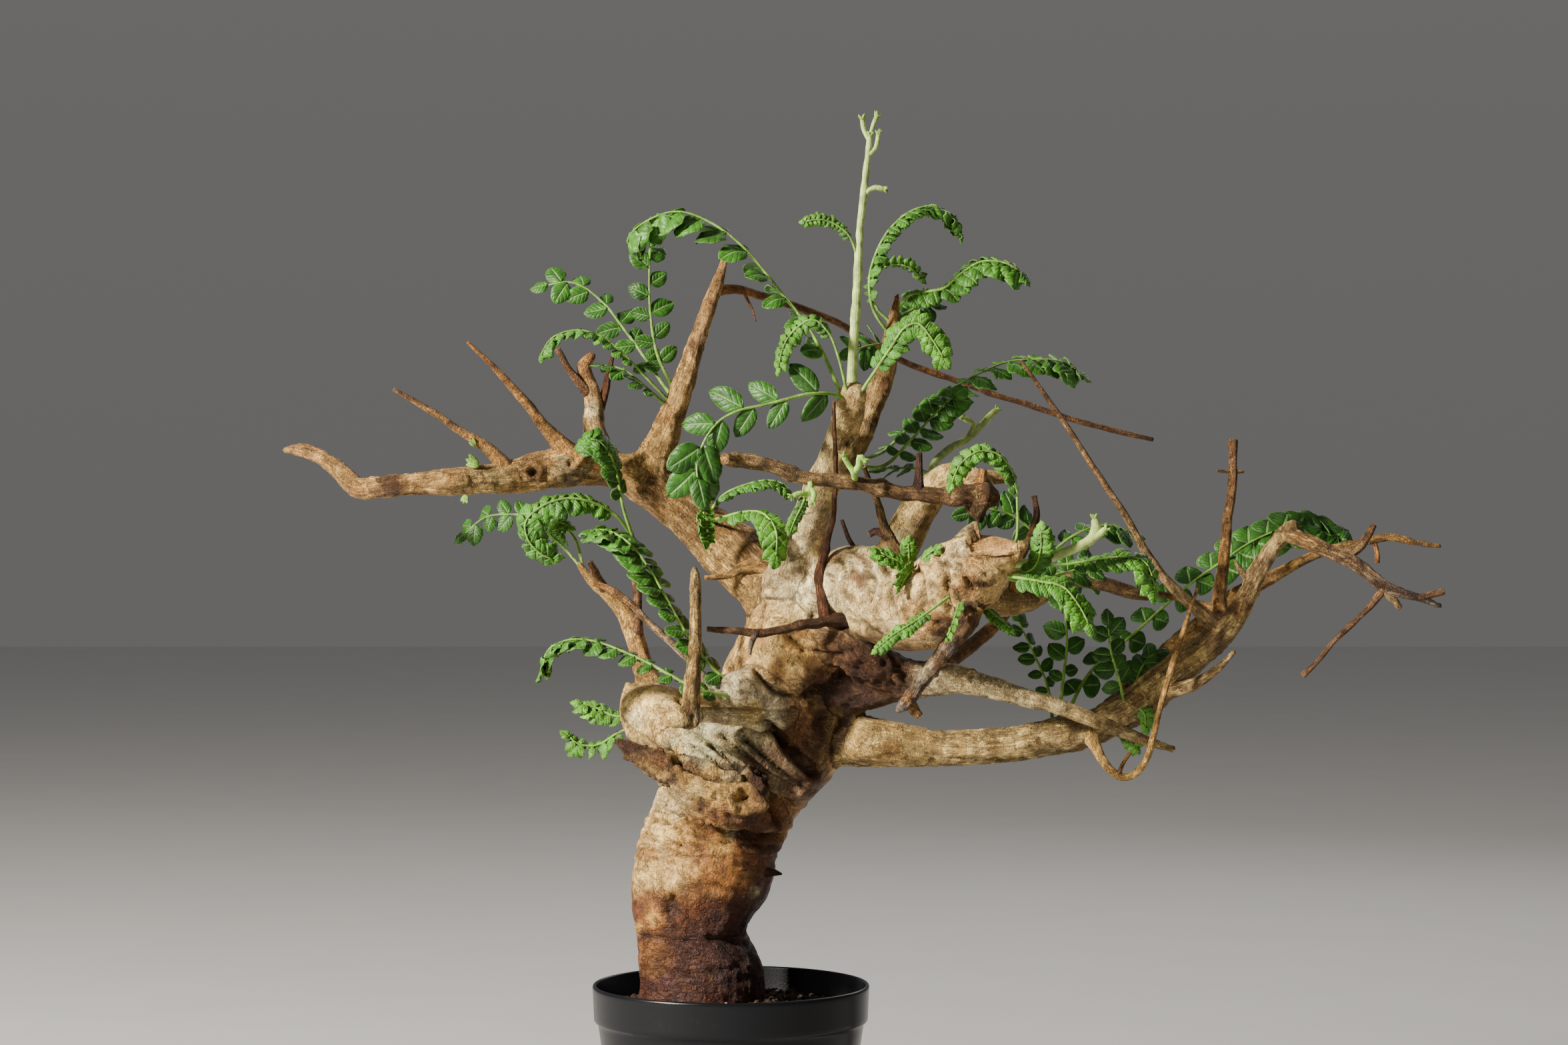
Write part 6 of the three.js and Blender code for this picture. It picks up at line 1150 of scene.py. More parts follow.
    def carve(self):
        self.add_skin()
        self.add_trunk_rings()
        self.add_creases()
        self.add_crusts()
        self.add_swirls()
        self.add_knots()
        self.add_dents()
        held = np.minimum(1, self.radius / 4)
        return self.corners + self.normals * (self.relief * held)[:, None], np.clip(self.crack_and_shade, 0, 1)


def stained(tint, bark):
    """The bark's tint with its large patches: red soil stain at the foot, cream on the trunk's upper left
    that is partly the light skin and partly painted light on the lit side, the listed patches of colour with
    painted shade and painted light among them, and painted shade darkening the trunk towards its lower right
    """
    edge = texture("stain_edge", bark.corners)
    stain = smoothstep(142, 120, bark.height + edge * 9)
    rust = np.array(TINTS["rust"]) * (1 + 0.35 * edge[:, None])
    tint = tint * (1 - stain[:, None]) + rust * stain[:, None]
    # Cream on the upper left of the trunk: partly the pale skin, partly painted light on the lit side
    left = smoothstep(12, -14, bark.corners[:, 0] + edge * 8)
    shoulder = smoothstep(150, 172, bark.height + edge * 8) * left * smoothstep(10, 18, bark.radius)
    tint = blended(tint, "cream", shoulder)
    facing = smoothstep(0.25, -0.2, bark.normals[:, 1])
    ragged = texture("patch_edge", bark.corners)
    # The listed patches, painted shade and painted light among them
    for across, height, reach, name, strength in PATCHES_AND_PAINTED_SHADING:
        away = np.hypot(bark.across - across, bark.height - height) / reach + 0.45 * ragged
        tint = blended(tint, name, facing * strength * smoothstep(1.15, 0.55, away))
    worn = smoothstep(0.2, 0.6, texture("worn", bark.corners)) * (1 - stain)
    tint = blended(tint, "cream", 0.2 * worn)
    # Darker towards the lower right of the trunk: painted shade on the side away from the key light
    shade_low_right = smoothstep(132, 108, bark.height + edge * 6 - 0.5 * (bark.across + 10))
    dark = smoothstep(0.2, 0.65, texture("dark", bark.corners))
    return np.clip(tint * ((1 - 0.5 * shade_low_right) * (1 - 0.3 * dark))[:, None], *BARK_RANGE)


def sawn(corners, tint, crack_and_shade):
    """Takes off the wood that stands past each sawn face, and bares fresh wood with a dark edge there"""
    for middle, reach, facing in SAWN:
        facing = unit(np.array(facing))
        past = (corners - placed(middle)) @ facing
        near = np.linalg.norm(corners - placed(middle), axis=1) < reach
        corners = corners - np.where(near & (past > 0), past, 0)[:, None] * facing
        bare = near * smoothstep(-0.5, 0.1, past)
        edge = smoothstep(0.8, 0.2, np.abs(past + 0.9)) * 0.8
        tint = blended(tint, "cut", bare)
        crack_and_shade = np.where(near, np.maximum(crack_and_shade * (1 - bare), edge), crack_and_shade)
    return corners, tint, crack_and_shade


def make_limbs():
    names = [name for name, limb in LIMBS.items() if not limb["twig"]]
    grid = WoodGrid(Skeleton(names), WOOD_GRID)
    corners, faces = grid.net()
    limb, radius, grain, tint = grid.read(corners)
    bark = Bark(corners, corner_normals(corners, faces), limb, radius, grain, names)
    corners, crack_and_shade = bark.carve()
    corners, tint, crack_and_shade = sawn(corners, stained(tint, bark), crack_and_shade)
    return mesh_object("bark_and_limbs", corners, faces, floats={"crack_and_shade": crack_and_shade, "fibre": bark.fibre},
                       colours={"tint": tint}, vectors={"grain": (grain + limb[:, None] * GRAIN_SHIFT) * MM})


def swept(route, sides, seed, rough):
    """One closed twig: rings round a route with ridges, swollen nodes and broken ends. It comes as corners,
    faces, grain, cracks, the share of its length at each corner, and which corners are on a broken end"""
    centres, radii, along = smooth_path(route, TWIG_STEP)
    ahead, up, side = carried_frames(centres, GRAIN_UPPER)
    turns = np.arange(sides) / sides * FULL_TURN
    node = np.maximum(0, wavering(along / 5.5, seed) - 0.25) * 0.45 * rough
    wander = np.stack([wavering(along / 7, seed + 7, row) for row in (3, 9)], -1)
    ease = np.sin(np.pi * np.clip(along / along[-1], 0, 1))[:, None]
    drift = np.minimum(radii[:, :1], 1.6) * 0.35 * rough * wander * ease
    centres = centres + up * drift[:, :1] + side * drift[:, 1:]
    circle = np.stack([np.cos(turns), np.sin(turns), np.zeros(sides)], -1)
    corners, grain, crack_and_shade = [], [], []
    for i, centre in enumerate(centres):
        radius = radii[i, 0] * (1 + node[i])
        out = np.outer(np.cos(turns), up[i]) + np.outer(np.sin(turns), side[i])
        ridge = layered(circle * 1.6 + (0, 0, along[i] / 6) + seed * 3.1, 2, seed)
        corners.append(centre + out * (radius * (1 + rough * (0.26 * ridge - 0.05)))[:, None])
        grain.append(circle * radius + (0, 0, along[i]))
        crack_and_shade.append(smoothstep(0.16, 0.0, np.abs(ridge)) * 0.6)
    rings = len(centres)
    corners = np.vstack(corners)
    grain = np.vstack(grain)
    crack_and_shade = np.concatenate(crack_and_shade)
    share = np.repeat(along / along[-1], sides)
    cut = np.zeros(len(corners))
    ends = []
    for ring, way, first in ((0, -1, 0), (rings - 1, 1, (rings - 1) * sides)):
        out = ahead[ring] * way * radii[ring, 0]
        inner = (corners[first:first + sides] - centres[ring]) * 0.82 + centres[ring] + out * 0.16
        start = len(corners)
        corners = np.vstack([corners, inner, centres[ring] + out * 0.1])
        grain = np.vstack([grain, grain[first:first + sides] * 0.5, grain[first:first + 1] * 0])
        crack_and_shade = np.concatenate([crack_and_shade, np.full(sides, 0.1), [0.35]])
        cut = np.concatenate([cut, np.ones(sides + 1)])
        share = np.concatenate([share, np.full(sides + 1, share[first])])
        for k in range(sides):
            n = (k + 1) % sides
            a, b, c, d = first + k, first + n, start + n, start + k
            tip = start + sides
            ends.append((a, b, c, d) if way > 0 else (b, a, d, c))
            ends.append((d, c, tip, tip) if way > 0 else (c, d, tip, tip))
    quads = ring_faces(rings, sides)
    caps = np.array(ends)
    caps = np.vstack([caps[:, [0, 1, 2]], caps[caps[:, 2] != caps[:, 3]][:, [0, 2, 3]]])
    return corners, np.vstack([quads[:, [0, 1, 2]], quads[:, [0, 2, 3]], caps]), grain, crack_and_shade, share, cut


def make_twigs():
    corners, faces, grain, crack_and_shade, tint, fibre = [], [], [], [], [], []
    total = 0
    for index, limb in enumerate(LIMBS.values()):
        if not limb["twig"]:
            continue
        widest = max(point[3] for point in limb["route"][1:])
        sides = SLIM_SIDES if widest < STOUT_TWIG_RADIUS else STOUT_SIDES
        points, triangles, lines, darken_cracks, share, cut = swept(limb["route"], sides, index, limb["rough"])
        foot, end = (np.array(TINTS[name]) for name in limb["tint"])
        bark = foot * (1 - share[:, None]) + end * share[:, None]
        bark = np.clip(bark * (1 + 0.9 * layered(points / 3.5, 2, index)[:, None]), *BARK_RANGE)
        corners.append(points)
        faces.append(triangles + total)
        grain.append(lines + index * GRAIN_SHIFT)
        crack_and_shade.append(darken_cracks)
        tint.append(blended(bark, "cut", cut))
        fibre.append(np.full(len(points), min(1, 0.05 + 0.95 * limb["rough"])))
        total += len(points)
    return mesh_object("dead_twigs", np.vstack(corners), np.vstack(faces), colours={"tint": np.vstack(tint)},
                       floats={"crack_and_shade": np.concatenate(crack_and_shade), "fibre": np.concatenate(fibre)},
                       vectors={"grain": np.vstack(grain) * MM})


# How the leaflets of each kind of leaf look: how far apart they stand towards the tip, how strongly they
# crinkle and curl under from foot to tip, how far they lean forward and overlap, and their greens
LEAF_STYLES = {
    "broad": dict(slim=0.78, peak=0.62, crowd=1.35, crinkle=(0.0, 0.35), curl=(0.3, 0.8), lean=0.62,
        overlap=0.15, fuse=0.3, wild=0.8, tone=("deep", "deep")),
    "mature": dict(slim=0.7, peak=0.6, crowd=1.0, crinkle=(0.05, 0.25), curl=(0.4, 0.8), lean=0.4,
        overlap=0.0, fuse=0.1, wild=0.9, tone=("deep", "deep")),
    "mixed": dict(slim=0.6, peak=0.75, crowd=1.35, crinkle=(0.03, 0.45), curl=(0.4, 0.9), lean=0.4,
        overlap=0.35, fuse=0.8, wild=0.5, tone=("deep", "leafy")),
    "crinkled": dict(slim=0.65, peak=0.72, crowd=1.1, crinkle=(0.3, 0.75), curl=(0.7, 1.2), lean=0.35,
        overlap=0.35, fuse=0.35, wild=0.6, tone=("leafy", "leafy")),
    "braided": dict(slim=0.6, peak=0.72, crowd=1.05, crinkle=(0.35, 0.8), curl=(0.6, 1.1), lean=0.5,
        overlap=0.35, fuse=0.3, wild=0.5, tone=("leafy", "bright")),
    "bladed": dict(slim=0.6, peak=0.75, crowd=1.9, crinkle=(0.0, 0.12), curl=(0.15, 0.3), lean=0.45,
        overlap=0.1, fuse=0.4, wild=0.15, tone=("deep", "deep")),
    "fresh": dict(slim=0.65, peak=0.7, crowd=1.0, crinkle=(0.4, 0.9), curl=(0.7, 1.1), lean=0.5,
        overlap=0.3, fuse=0.2, wild=0.8, tone=("leafy", "bright")),
    "young": dict(slim=0.65, peak=0.7, crowd=1.1, crinkle=(0.8, 1.0), curl=(1.2, 1.6), lean=0.4,
        overlap=0.4, fuse=0.2, wild=0.7, tone=("leafy", "bright")),
}
GREENS = {
    "deep": (0.025, 0.096, 0.009),
    "leafy": (0.048, 0.162, 0.014),
    "bright": (0.080, 0.240, 0.016),
    "lime": (0.27, 0.47, 0.07),
    "stalk": (0.17, 0.32, 0.045),
    "stem": (0.36, 0.46, 0.13),
}


def leaflet(foot, out, up, long, wide, crinkle, curl, twist, seed, cells=(10, 6)):
    """One thin closed leaflet from its foot along out, with its upper face towards up. It comes as corners,
    faces and places on the blade"""
    along, half_cells = cells
    u, v = np.meshgrid(np.linspace(0, 1, along + 1), np.linspace(-1, 1, half_cells + 1), indexing="ij")
    phase = seed * 0.61
    oval = np.sin(np.pi * np.clip(u, 0, 1) ** 0.92) ** 0.58
    blunt = np.sqrt(np.clip(u / 0.16, 0.02, 1)) * np.clip(1 - u ** 2.6, 0, 1) ** 0.62
    half = wide / 2 * (oval * (1 - crinkle) + blunt * crinkle)
    teeth = np.cos(FULL_TURN * (3.4 * u + 0.12 * np.sign(v) + phase))
    half = np.maximum(half * (1 + 0.13 * crinkle * teeth * (1 - 0.5 * u)), 0.12)
    bend = curl * u ** 1.2 - 0.22
    step = long / along
    mid = (bend[1:] + bend[:-1]) / 2
    run = np.vstack([np.zeros(v.shape[1]), np.cumsum(np.cos(mid) * step, 0)])
    drop = np.vstack([np.zeros(v.shape[1]), np.cumsum(np.sin(mid) * step, 0)])
    roll = 0.3 + 0.7 * crinkle
    sideways = half * np.sin(roll * v) / roll
    sag = half * (1 - np.cos(roll * v)) / roll
    pleats = np.cos(FULL_TURN * (4 * u - 0.35 * np.abs(v)))
    quilt = 0.035 * wide * (0.1 + crinkle) * pleats * (1 - (1 - np.abs(v)) ** 4)
    waves = np.sin(FULL_TURN * (1.7 * u + 0.31 * np.sign(v) + phase))
    ruffle = 0.09 * wide * (0.15 + crinkle) * v ** 2 * waves
    uneven = 0.07 * wide * noise(np.stack([u * 2.3 + seed, v * 1.3, u * 0 + seed * 0.37], -1), seed)
    rise = quilt + ruffle + uneven - sag - 0.05 * wide * (1 - np.abs(v)) ** 6
    turn = twist * u
    across = np.cross(out, up)
    normal = np.cos(bend)[..., None] * up + np.sin(bend)[..., None] * out
    turned = np.cos(turn)[..., None] * across + np.sin(turn)[..., None] * normal
    raised = np.cos(turn)[..., None] * normal - np.sin(turn)[..., None] * across
    middle = foot + run[..., None] * out - drop[..., None] * up
    middle = middle + sideways[..., None] * turned + rise[..., None] * raised
    top = (middle + raised * BLADE_HALF_THICKNESS).reshape(-1, 3)
    under = (middle - raised * BLADE_HALF_THICKNESS).reshape(-1, 3)
    rows, columns = u.shape
    index = np.arange(rows * columns).reshape(rows, columns)
    a, b = index[:-1, :-1].ravel(), index[:-1, 1:].ravel()
    c, d = index[1:, 1:].ravel(), index[1:, :-1].ravel()
    count = rows * columns
    quads = [np.stack([a, b, c, d], -1), np.stack([d, c, b, a], -1) + count]
    rim = np.concatenate([index[0, :-1], index[:-1, -1], index[-1, :0:-1], index[:0:-1, 0]])
    after = np.roll(rim, -1)
    quads.append(np.stack([after, rim, rim + count, after + count], -1))
    place = np.stack([u.ravel(), v.ravel(), np.full(count, seed % 17)], -1)
    return np.vstack([top, under]), np.vstack(quads), np.vstack([place, place])


def tube(centres, radii, up, side, sides):
    """A closed tube of rings round a run of points, with its ends capped"""
    turns = np.arange(sides) / sides * FULL_TURN
    rings = (centres[:, None] + radii[:, None, None] * (np.cos(turns)[None, :, None] * up[:, None]
             + np.sin(turns)[None, :, None] * side[:, None])).reshape(-1, 3)
    caps = []
    for first, flip in ((0, True), ((len(centres) - 1) * sides, False)):
        for k in range(0, sides - 2, 2):
            cap = (first, first + k + 1, first + k + 2, first + (k + 3) % sides)
            caps.append(cap[::-1] if flip else cap)
    return rings, np.vstack([ring_faces(len(centres), sides), caps])


class Foliage:
    """Collects the pieces of one leaf or shoot into one mesh"""

    def __init__(self):
        self.corners, self.faces, self.blades, self.tones, self.stalks = [], [], [], [], []
        self.total = 0

    def add(self, corners, faces, blades, tone, stalk):
        self.corners.append(corners)
        self.faces.append(faces + self.total)
        self.blades.append(blades)
        self.tones.append(np.broadcast_to(tone, (len(corners), 3)))
        self.stalks.append(np.full(len(corners), float(stalk)))
        self.total += len(corners)

    def add_stalk(self, centres, radii, upper, tone, sides):
        ahead, up, side = carried_frames(centres, upper)
        corners, faces = tube(centres, radii, up, side, sides)
        along = np.repeat(np.linspace(0, 1, len(centres)), sides)
        around = np.tile(np.arange(sides) / sides, len(centres))
        self.add(corners, faces, np.stack([along, around, along * 0], -1), tone, 1)

    def piece(self, name):
        return mesh_object(name, np.vstack(self.corners), np.vstack(self.faces),
                           floats={"stalk": np.concatenate(self.stalks)},
                           colours={"tone": np.vstack(self.tones)}, vectors={"blade": np.vstack(self.blades)})


def grow_leaf(foliage, leaf, seed):
    """A pinnate leaf: its rib, pairs of leaflets that change from foot to tip, and one at the end"""
    style = LEAF_STYLES[leaf["style"]]
    centres, _, along = smooth_path([(*point, 0) for point in leaf["route"]], RIB_STEP)
    ahead, up, side = carried_frames(centres, leaf["upper"])
    length = along[-1]
    long, wide, pairs, bare = leaf["long"], leaf["wide"], leaf["pairs"], leaf["bare"]
    draw = np.random.default_rng(seed)
    stout = min(1.0, 0.55 + long / 20)
    tip = 1 - 0.35 * long / length
    reach = max(2, int(len(centres) * tip))
    share = along[:reach] / length
    radii = (0.78 - 0.5 * share) * stout
    foliage.add_stalk(centres[:reach], radii, leaf["upper"], np.array(GREENS["stalk"]), RIB_SIDES)
    tones = [np.array(GREENS[t]) for t in style["tone"]]
    cells = (11, 8) if wide > 4.2 else (8, 4)
    wild = style["wild"]

    def at(where):
        i = np.clip(where * (len(centres) - 1), 0, len(centres) - 1.001)
        low = int(i)
        part = i - low
        mixed = [rows[low] * (1 - part) + rows[low + 1] * part for rows in (centres, ahead, up, side)]
        place, way, upward, sideways = mixed
        return place, unit(way), unit(upward), unit(sideways)

    def put(place, out, upward, size, broad, part):
        crinkle = min(1, np.interp(part, (0, 1), style["crinkle"]) * draw.uniform(0.75, 1.3))
        curl = np.interp(part, (0, 1), style["curl"]) * (0.6 + leaf["droop"]) * draw.uniform(0.6, 1.35)
        tone = (tones[0] * (1 - part) + tones[1] * part) * draw.uniform(0.72, 1.28)
        twist = wild * draw.uniform(-0.55, 0.55)
        pieces = leaflet(place, out, upward, long * size, wide * size * broad, crinkle, curl, twist,
                         int(draw.integers(1, 9999)), cells)
        foliage.add(*pieces, tone, 0)

    for i in range(pairs):
        for hand in (-1, 1):
            part = min(1, max(0, (i + 0.3 + hand * 0.13 + wild * draw.uniform(-0.12, 0.12)) / pairs))
            where = bare + (tip - bare) * (1 - (1 - part) ** style["crowd"])
            place, way, upward, sideways = at(where)
            size = style["slim"] + (1 - style["slim"]) * math.sin(math.pi * (0.08 + style["peak"] * part))
            lean = style["lean"] + 0.28 * part + wild * draw.uniform(-0.22, 0.22)
            tilt = 0.18 + 0.3 * leaf["droop"] + wild * draw.uniform(-0.3, 0.3)
            flat = sideways * hand * math.cos(lean) + way * math.sin(lean)
            out = unit(flat * math.cos(tilt) - upward * math.sin(tilt))
            shingle = style["overlap"] * (0.5 + 0.5 * part) + wild * draw.uniform(-0.2, 0.2)
            face = unit(upward + way * shingle + flat * math.sin(tilt))
            face = unit(face - out * (face @ out))
            broad = 1 + style["fuse"] * smoothstep(0.3, 0.9, part)
            put(place + sideways * hand * 0.3, out, face, size * draw.uniform(0.84, 1.14), broad, part)
    place, way, upward, _ = at(tip)
    put(place - way * 0.3, way, upward, 0.78, 1 + 0.6 * style["fuse"], 1.0)


def make_leaf(name, seed):
    foliage = Foliage()
    grow_leaf(foliage, LEAVES[name], seed)
    return foliage.piece(name + "_blade")


def make_shoot(name, seed):
    """A hairy green shoot: its stems, swelling a little along their length, with small folded leaves at their
    ends
    """
    foliage = Foliage()
    draw = np.random.default_rng(seed)
    shoot = SHOOTS[name]
    skin = np.array(GREENS["stem" if shoot["stems"][0][0][3] > 1.3 else "lime"])
    for stem in shoot["stems"]:
        centres, radii, along = smooth_path(stem, STEM_STEP)
        swell = 1 + 0.10 * wavering(along / 3, seed)
        round_end = np.sqrt(np.clip((along[-1] - along + 0.15) / radii[-1, 0], 0.03, 1))
        foliage.add_stalk(centres, radii[:, 0] * swell * round_end, STEM_UPPER, skin, STEM_SIDES)
        ahead, up, side = carried_frames(centres, STEM_UPPER)
        if radii[-1, 0] > 1.3 and len(shoot["stems"]) > 2:
            continue
        for turn in np.linspace(0, FULL_TURN, 4, endpoint=False) + draw.uniform(0, 1):
            away = up[-1] * math.cos(turn) + side[-1] * math.sin(turn)
            out = unit(ahead[-1] * 0.9 + away * 0.7)
            face = unit(ahead[-1] * 0.7 - away * 0.9)
            face = unit(face - out * (face @ out))
            pieces = leaflet(centres[-1] - ahead[-1] * 1.2, out, -face, draw.uniform(2.4, 3.2), 1.8, 0.9, 0.7,
                             0.2, int(draw.integers(1, 9999)), (6, 4))
            foliage.add(*pieces, np.array(GREENS["lime"]) * draw.uniform(0.85, 1.1), 0)
    for leaf in shoot["leaves"]:
        grow_leaf(foliage, leaf, seed + 1)
    return foliage.piece(name + "_stem")


# Small green buds that stand on the left limb: [across, height, depth, how far they reach across and up]
BUDS = [
    (-95.5, 291.5, -7, -5.2, 2.6), (-100.5, 280.5, -9, -1, -3.6), (-97, 299, -4, -2, 2.6),
]


def make_buds():
    """Buds of a few folded young leaves each, standing on the bark"""
    foliage = Foliage()
    draw = np.random.default_rng(BUD_SEED)
    for across, height, depth, reach_x, reach_z in BUDS:
        foot = placed((across, height, depth))
        way = np.array([reach_x, -1.0, reach_z])
        long = np.linalg.norm(way)
        for lift in (-0.5, 0.0, 0.5):
            out = unit(way / long + np.array([lift * -reach_z / long, -0.2, lift * reach_x / long]) * 0.8)
            face = unit(np.cross(np.cross(out, (0.1, -1, 0.3)), out))
            pieces = leaflet(foot, out, face, long * draw.uniform(0.8, 1.05), long * 0.42, 0.4, 0.5, 0.3,
                             int(draw.integers(1, 9999)), (6, 4))
            foliage.add(*pieces, np.array(GREENS["lime"]) * draw.uniform(0.8, 1.1), 0)
    return foliage.piece("limb_buds")


# Pot
def make_pot():
    """The pot, turned from the outline of its wall, with its drain holes cut through"""
    rim = POT_RIM_DIAMETER / 2
    base = POT_BASE_DIAMETER / 2
    foot = POT_HEIGHT - RIM_BAND_HEIGHT
    wall = POT_WALL
    profile = [
        (0, 1.2), (18, 1.2), (19, 0.6), (24, 0.6), (25, 1.2), (31, 1.2), (32.5, 0), (base - 1.2, 0),
        (base - 0.4, 0.3), (base, 1.1), (base + 0.3, 3), (rim - 2.3, foot - 2.6), (rim - 2.15, foot - 1.2),
        (rim - 1.7, foot - 0.5), (rim - 0.75, foot - 0.1), (rim - 0.55, foot + 0.5), (rim - 0.5, foot + 2),
        (rim - 0.1, POT_HEIGHT - 2.4),
        (rim, POT_HEIGHT - 1.1), (rim - 0.12, POT_HEIGHT - 0.45), (rim - 0.45, POT_HEIGHT - 0.08),
        (rim - 0.85, POT_HEIGHT), (rim - 1.25, POT_HEIGHT - 0.15), (rim - wall, POT_HEIGHT - 0.7),
        (rim - 0.6 - wall, foot + 1.2), (rim - 1.1 - wall, foot + 0.2), (rim - 2.2 - wall, foot - 0.9),
        (rim - 2.4 - wall, foot - 2.5), (base - wall, POT_FLOOR + 1.4), (base - wall - 0.5, POT_FLOOR + 0.4),
        (base - wall - 1.5, POT_FLOOR), (0, POT_FLOOR),
    ]
    sides = 176
    turns = np.arange(sides) / sides * FULL_TURN
    corners = [(0, 0, profile[0][1])]
    for radius, height in profile[1:-1]:
        corners.extend(zip(radius * np.cos(turns), radius * np.sin(turns), np.full(sides, height)))
    corners.append((0, 0, profile[-1][1]))
    pot = mesh_object("nursery_pot", corners, turned_faces(len(profile) - 2, sides))
    for i in range(DRAIN_HOLES):
        turn = i / DRAIN_HOLES * FULL_TURN
        across = math.cos(turn) * DRAIN_CIRCLE_DIAMETER / 2 * MM
        back = math.sin(turn) * DRAIN_CIRCLE_DIAMETER / 2 * MM
        bpy.ops.mesh.primitive_cylinder_add(vertices=40, radius=DRAIN_HOLE_DIAMETER / 2 * MM,
                                            depth=DRILL_LENGTH * MM, location=(across, back, 0))
        drill = bpy.context.active_object
        cut = pot.modifiers.new("drain", "BOOLEAN")
        cut.object = drill
        cut.solver = "EXACT"
        applied(pot)
        bpy.data.objects.remove(drill)
    return pot


def applied(piece):
    """Puts the result of a piece's modifiers into its mesh"""
    shaped = piece.evaluated_get(bpy.context.evaluated_depsgraph_get())
    mesh = bpy.data.meshes.new_from_object(shaped)
    old = piece.data
    piece.modifiers.clear()
    piece.data = mesh
    bpy.data.meshes.remove(old)
    return piece


# Soil
def soil_height(x, y):
    """The soil's height with its mound, clods and the furrow where the pot's wall meets it"""
    from_trunk = np.hypot(x - TRUNK_ACROSS, y - MOUND_FORWARD)
    mound = SOIL_MOUND * np.exp(-((from_trunk / SOIL_MOUND_RADIUS) ** 2))
    place = np.stack([x, y, x * 0], -1)
    clods = 1.3 * layered(place / 7, 2, 4) + 0.8 * np.abs(layered(place / 2.6, 2, 8))
    clods = clods + 0.25 * noise(place / 0.9, 3)
    return POT_HEIGHT - SOIL_BELOW_RIM + mound + clods


def make_soil():
    """The bed of soil: its wall follows the inside of the pot, and its top has clods"""
    sectors, rows = ((170, 48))
    top = POT_RIM_DIAMETER / 2 - 0.6 - POT_WALL - SOIL_GAP
    foot = POT_HEIGHT - RIM_BAND_HEIGHT
    base = POT_BASE_DIAMETER / 2 - POT_WALL
    side = [(base - 1.8, POT_FLOOR + SOIL_GAP), (base - 0.6, POT_FLOOR + 1.7),
            (POT_RIM_DIAMETER / 2 - 2.7 - POT_WALL, foot - 2.6), (top - 0.5, foot + 1.2)]
    turns = np.arange(sectors) / sectors * FULL_TURN
    radii = [r for r, _ in side] + [top * (1 - i / rows) for i in range(rows)]
    x = np.outer(radii, np.cos(turns))
    y = np.outer(radii, np.sin(turns))
    z = soil_height(x, y)
    for i, (_, height) in enumerate(side):
        z[i] = height
    middle = soil_height(np.zeros(1), np.zeros(1))[0]
    rings = np.stack([x, y, z], -1).reshape(-1, 3)
    corners = np.vstack([[0, 0, POT_FLOOR + SOIL_GAP], rings, [0, 0, middle]])
    return mesh_object("potting_soil_bed", corners, turned_faces(len(radii), sectors))


def crumb(size, seed):
    """An irregular crumb: corners and faces of a lumpy ball of about the given size"""
    golden = (1 + 5 ** 0.5) / 2
    points = [
        (-1, golden, 0), (1, golden, 0), (-1, -golden, 0), (1, -golden, 0), (0, -1, golden), (0, 1, golden),
        (0, -1, -golden), (0, 1, -golden), (golden, 0, -1), (golden, 0, 1), (-golden, 0, -1), (-golden, 0, 1),
    ]
    faces = [
        (0, 11, 5), (0, 5, 1), (0, 1, 7), (0, 7, 10), (0, 10, 11), (1, 5, 9), (5, 11, 4), (11, 10, 2),
        (10, 7, 6), (7, 1, 8), (3, 9, 4), (3, 4, 2), (3, 2, 6), (3, 6, 8), (3, 8, 9), (4, 9, 5), (2, 4, 11),
        (6, 2, 10), (8, 6, 7), (9, 8, 1),
    ]
    mids = {}
    points = [unit(np.array(p, float)) for p in points]
    finer = []
    for a, b, c in faces:
        ring = []
        for i, j in ((a, b), (b, c), (c, a)):
            key = (min(i, j), max(i, j))
            if key not in mids:
                mids[key] = len(points)
                points.append(unit(points[i] + points[j]))
            ring.append(mids[key])
        ab, bc, ca = ring
        finer += [(a, ab, ca), (b, bc, ab), (c, ca, bc), (ab, bc, ca)]
    points = np.array(points)
    draw = np.random.default_rng(seed)
    stretch = draw.uniform(0.6, 1.25, 3)
    points = points * (1 + 0.35 * layered(points * 1.4 + seed * 1.7, 2, seed))[:, None] * stretch
    return points * size / 2, np.array(finer)


def scattered(name, count, sizes, tint, seed, within, sunk=0.25):
    """Crumbs scattered over the soil, clear of the trunk and the pot's wall"""
    draw = np.random.default_rng(seed)
    corners, faces, total, tints = [], [], 0, []
    shapes = [crumb(1.0, seed + k) for k in range(9)]
    while len(corners) < count:
        turn = draw.uniform(0, FULL_TURN)
        away = within * math.sqrt(draw.uniform(0, 1))
        x, y = away * math.cos(turn), away * math.sin(turn)
        if math.hypot(x - TRUNK_ACROSS, y) < TRUNK_CLEARANCE:
            continue
        size = draw.uniform(*sizes)
        shape, rings = shapes[int(draw.integers(len(shapes)))]
        angle = draw.uniform(0, FULL_TURN)
        cos, sin = math.cos(angle), math.sin(angle)
        spin = np.array([[cos, -sin, 0], [sin, cos, 0], [0, 0, 1]])
        height = float(soil_height(np.array([x]), np.array([y]))[0])
        corners.append(shape @ spin.T * size + [x, y, height + size * (0.5 - sunk) * 0.6])
        faces.append(rings + total)
        tints.append(np.broadcast_to(np.array(tint) * draw.uniform(0.6, 1.3), (len(shape), 3)))
        total += len(shape)
    return mesh_object(name, np.vstack(corners), np.vstack(faces), colours={"tint": np.vstack(tints)})


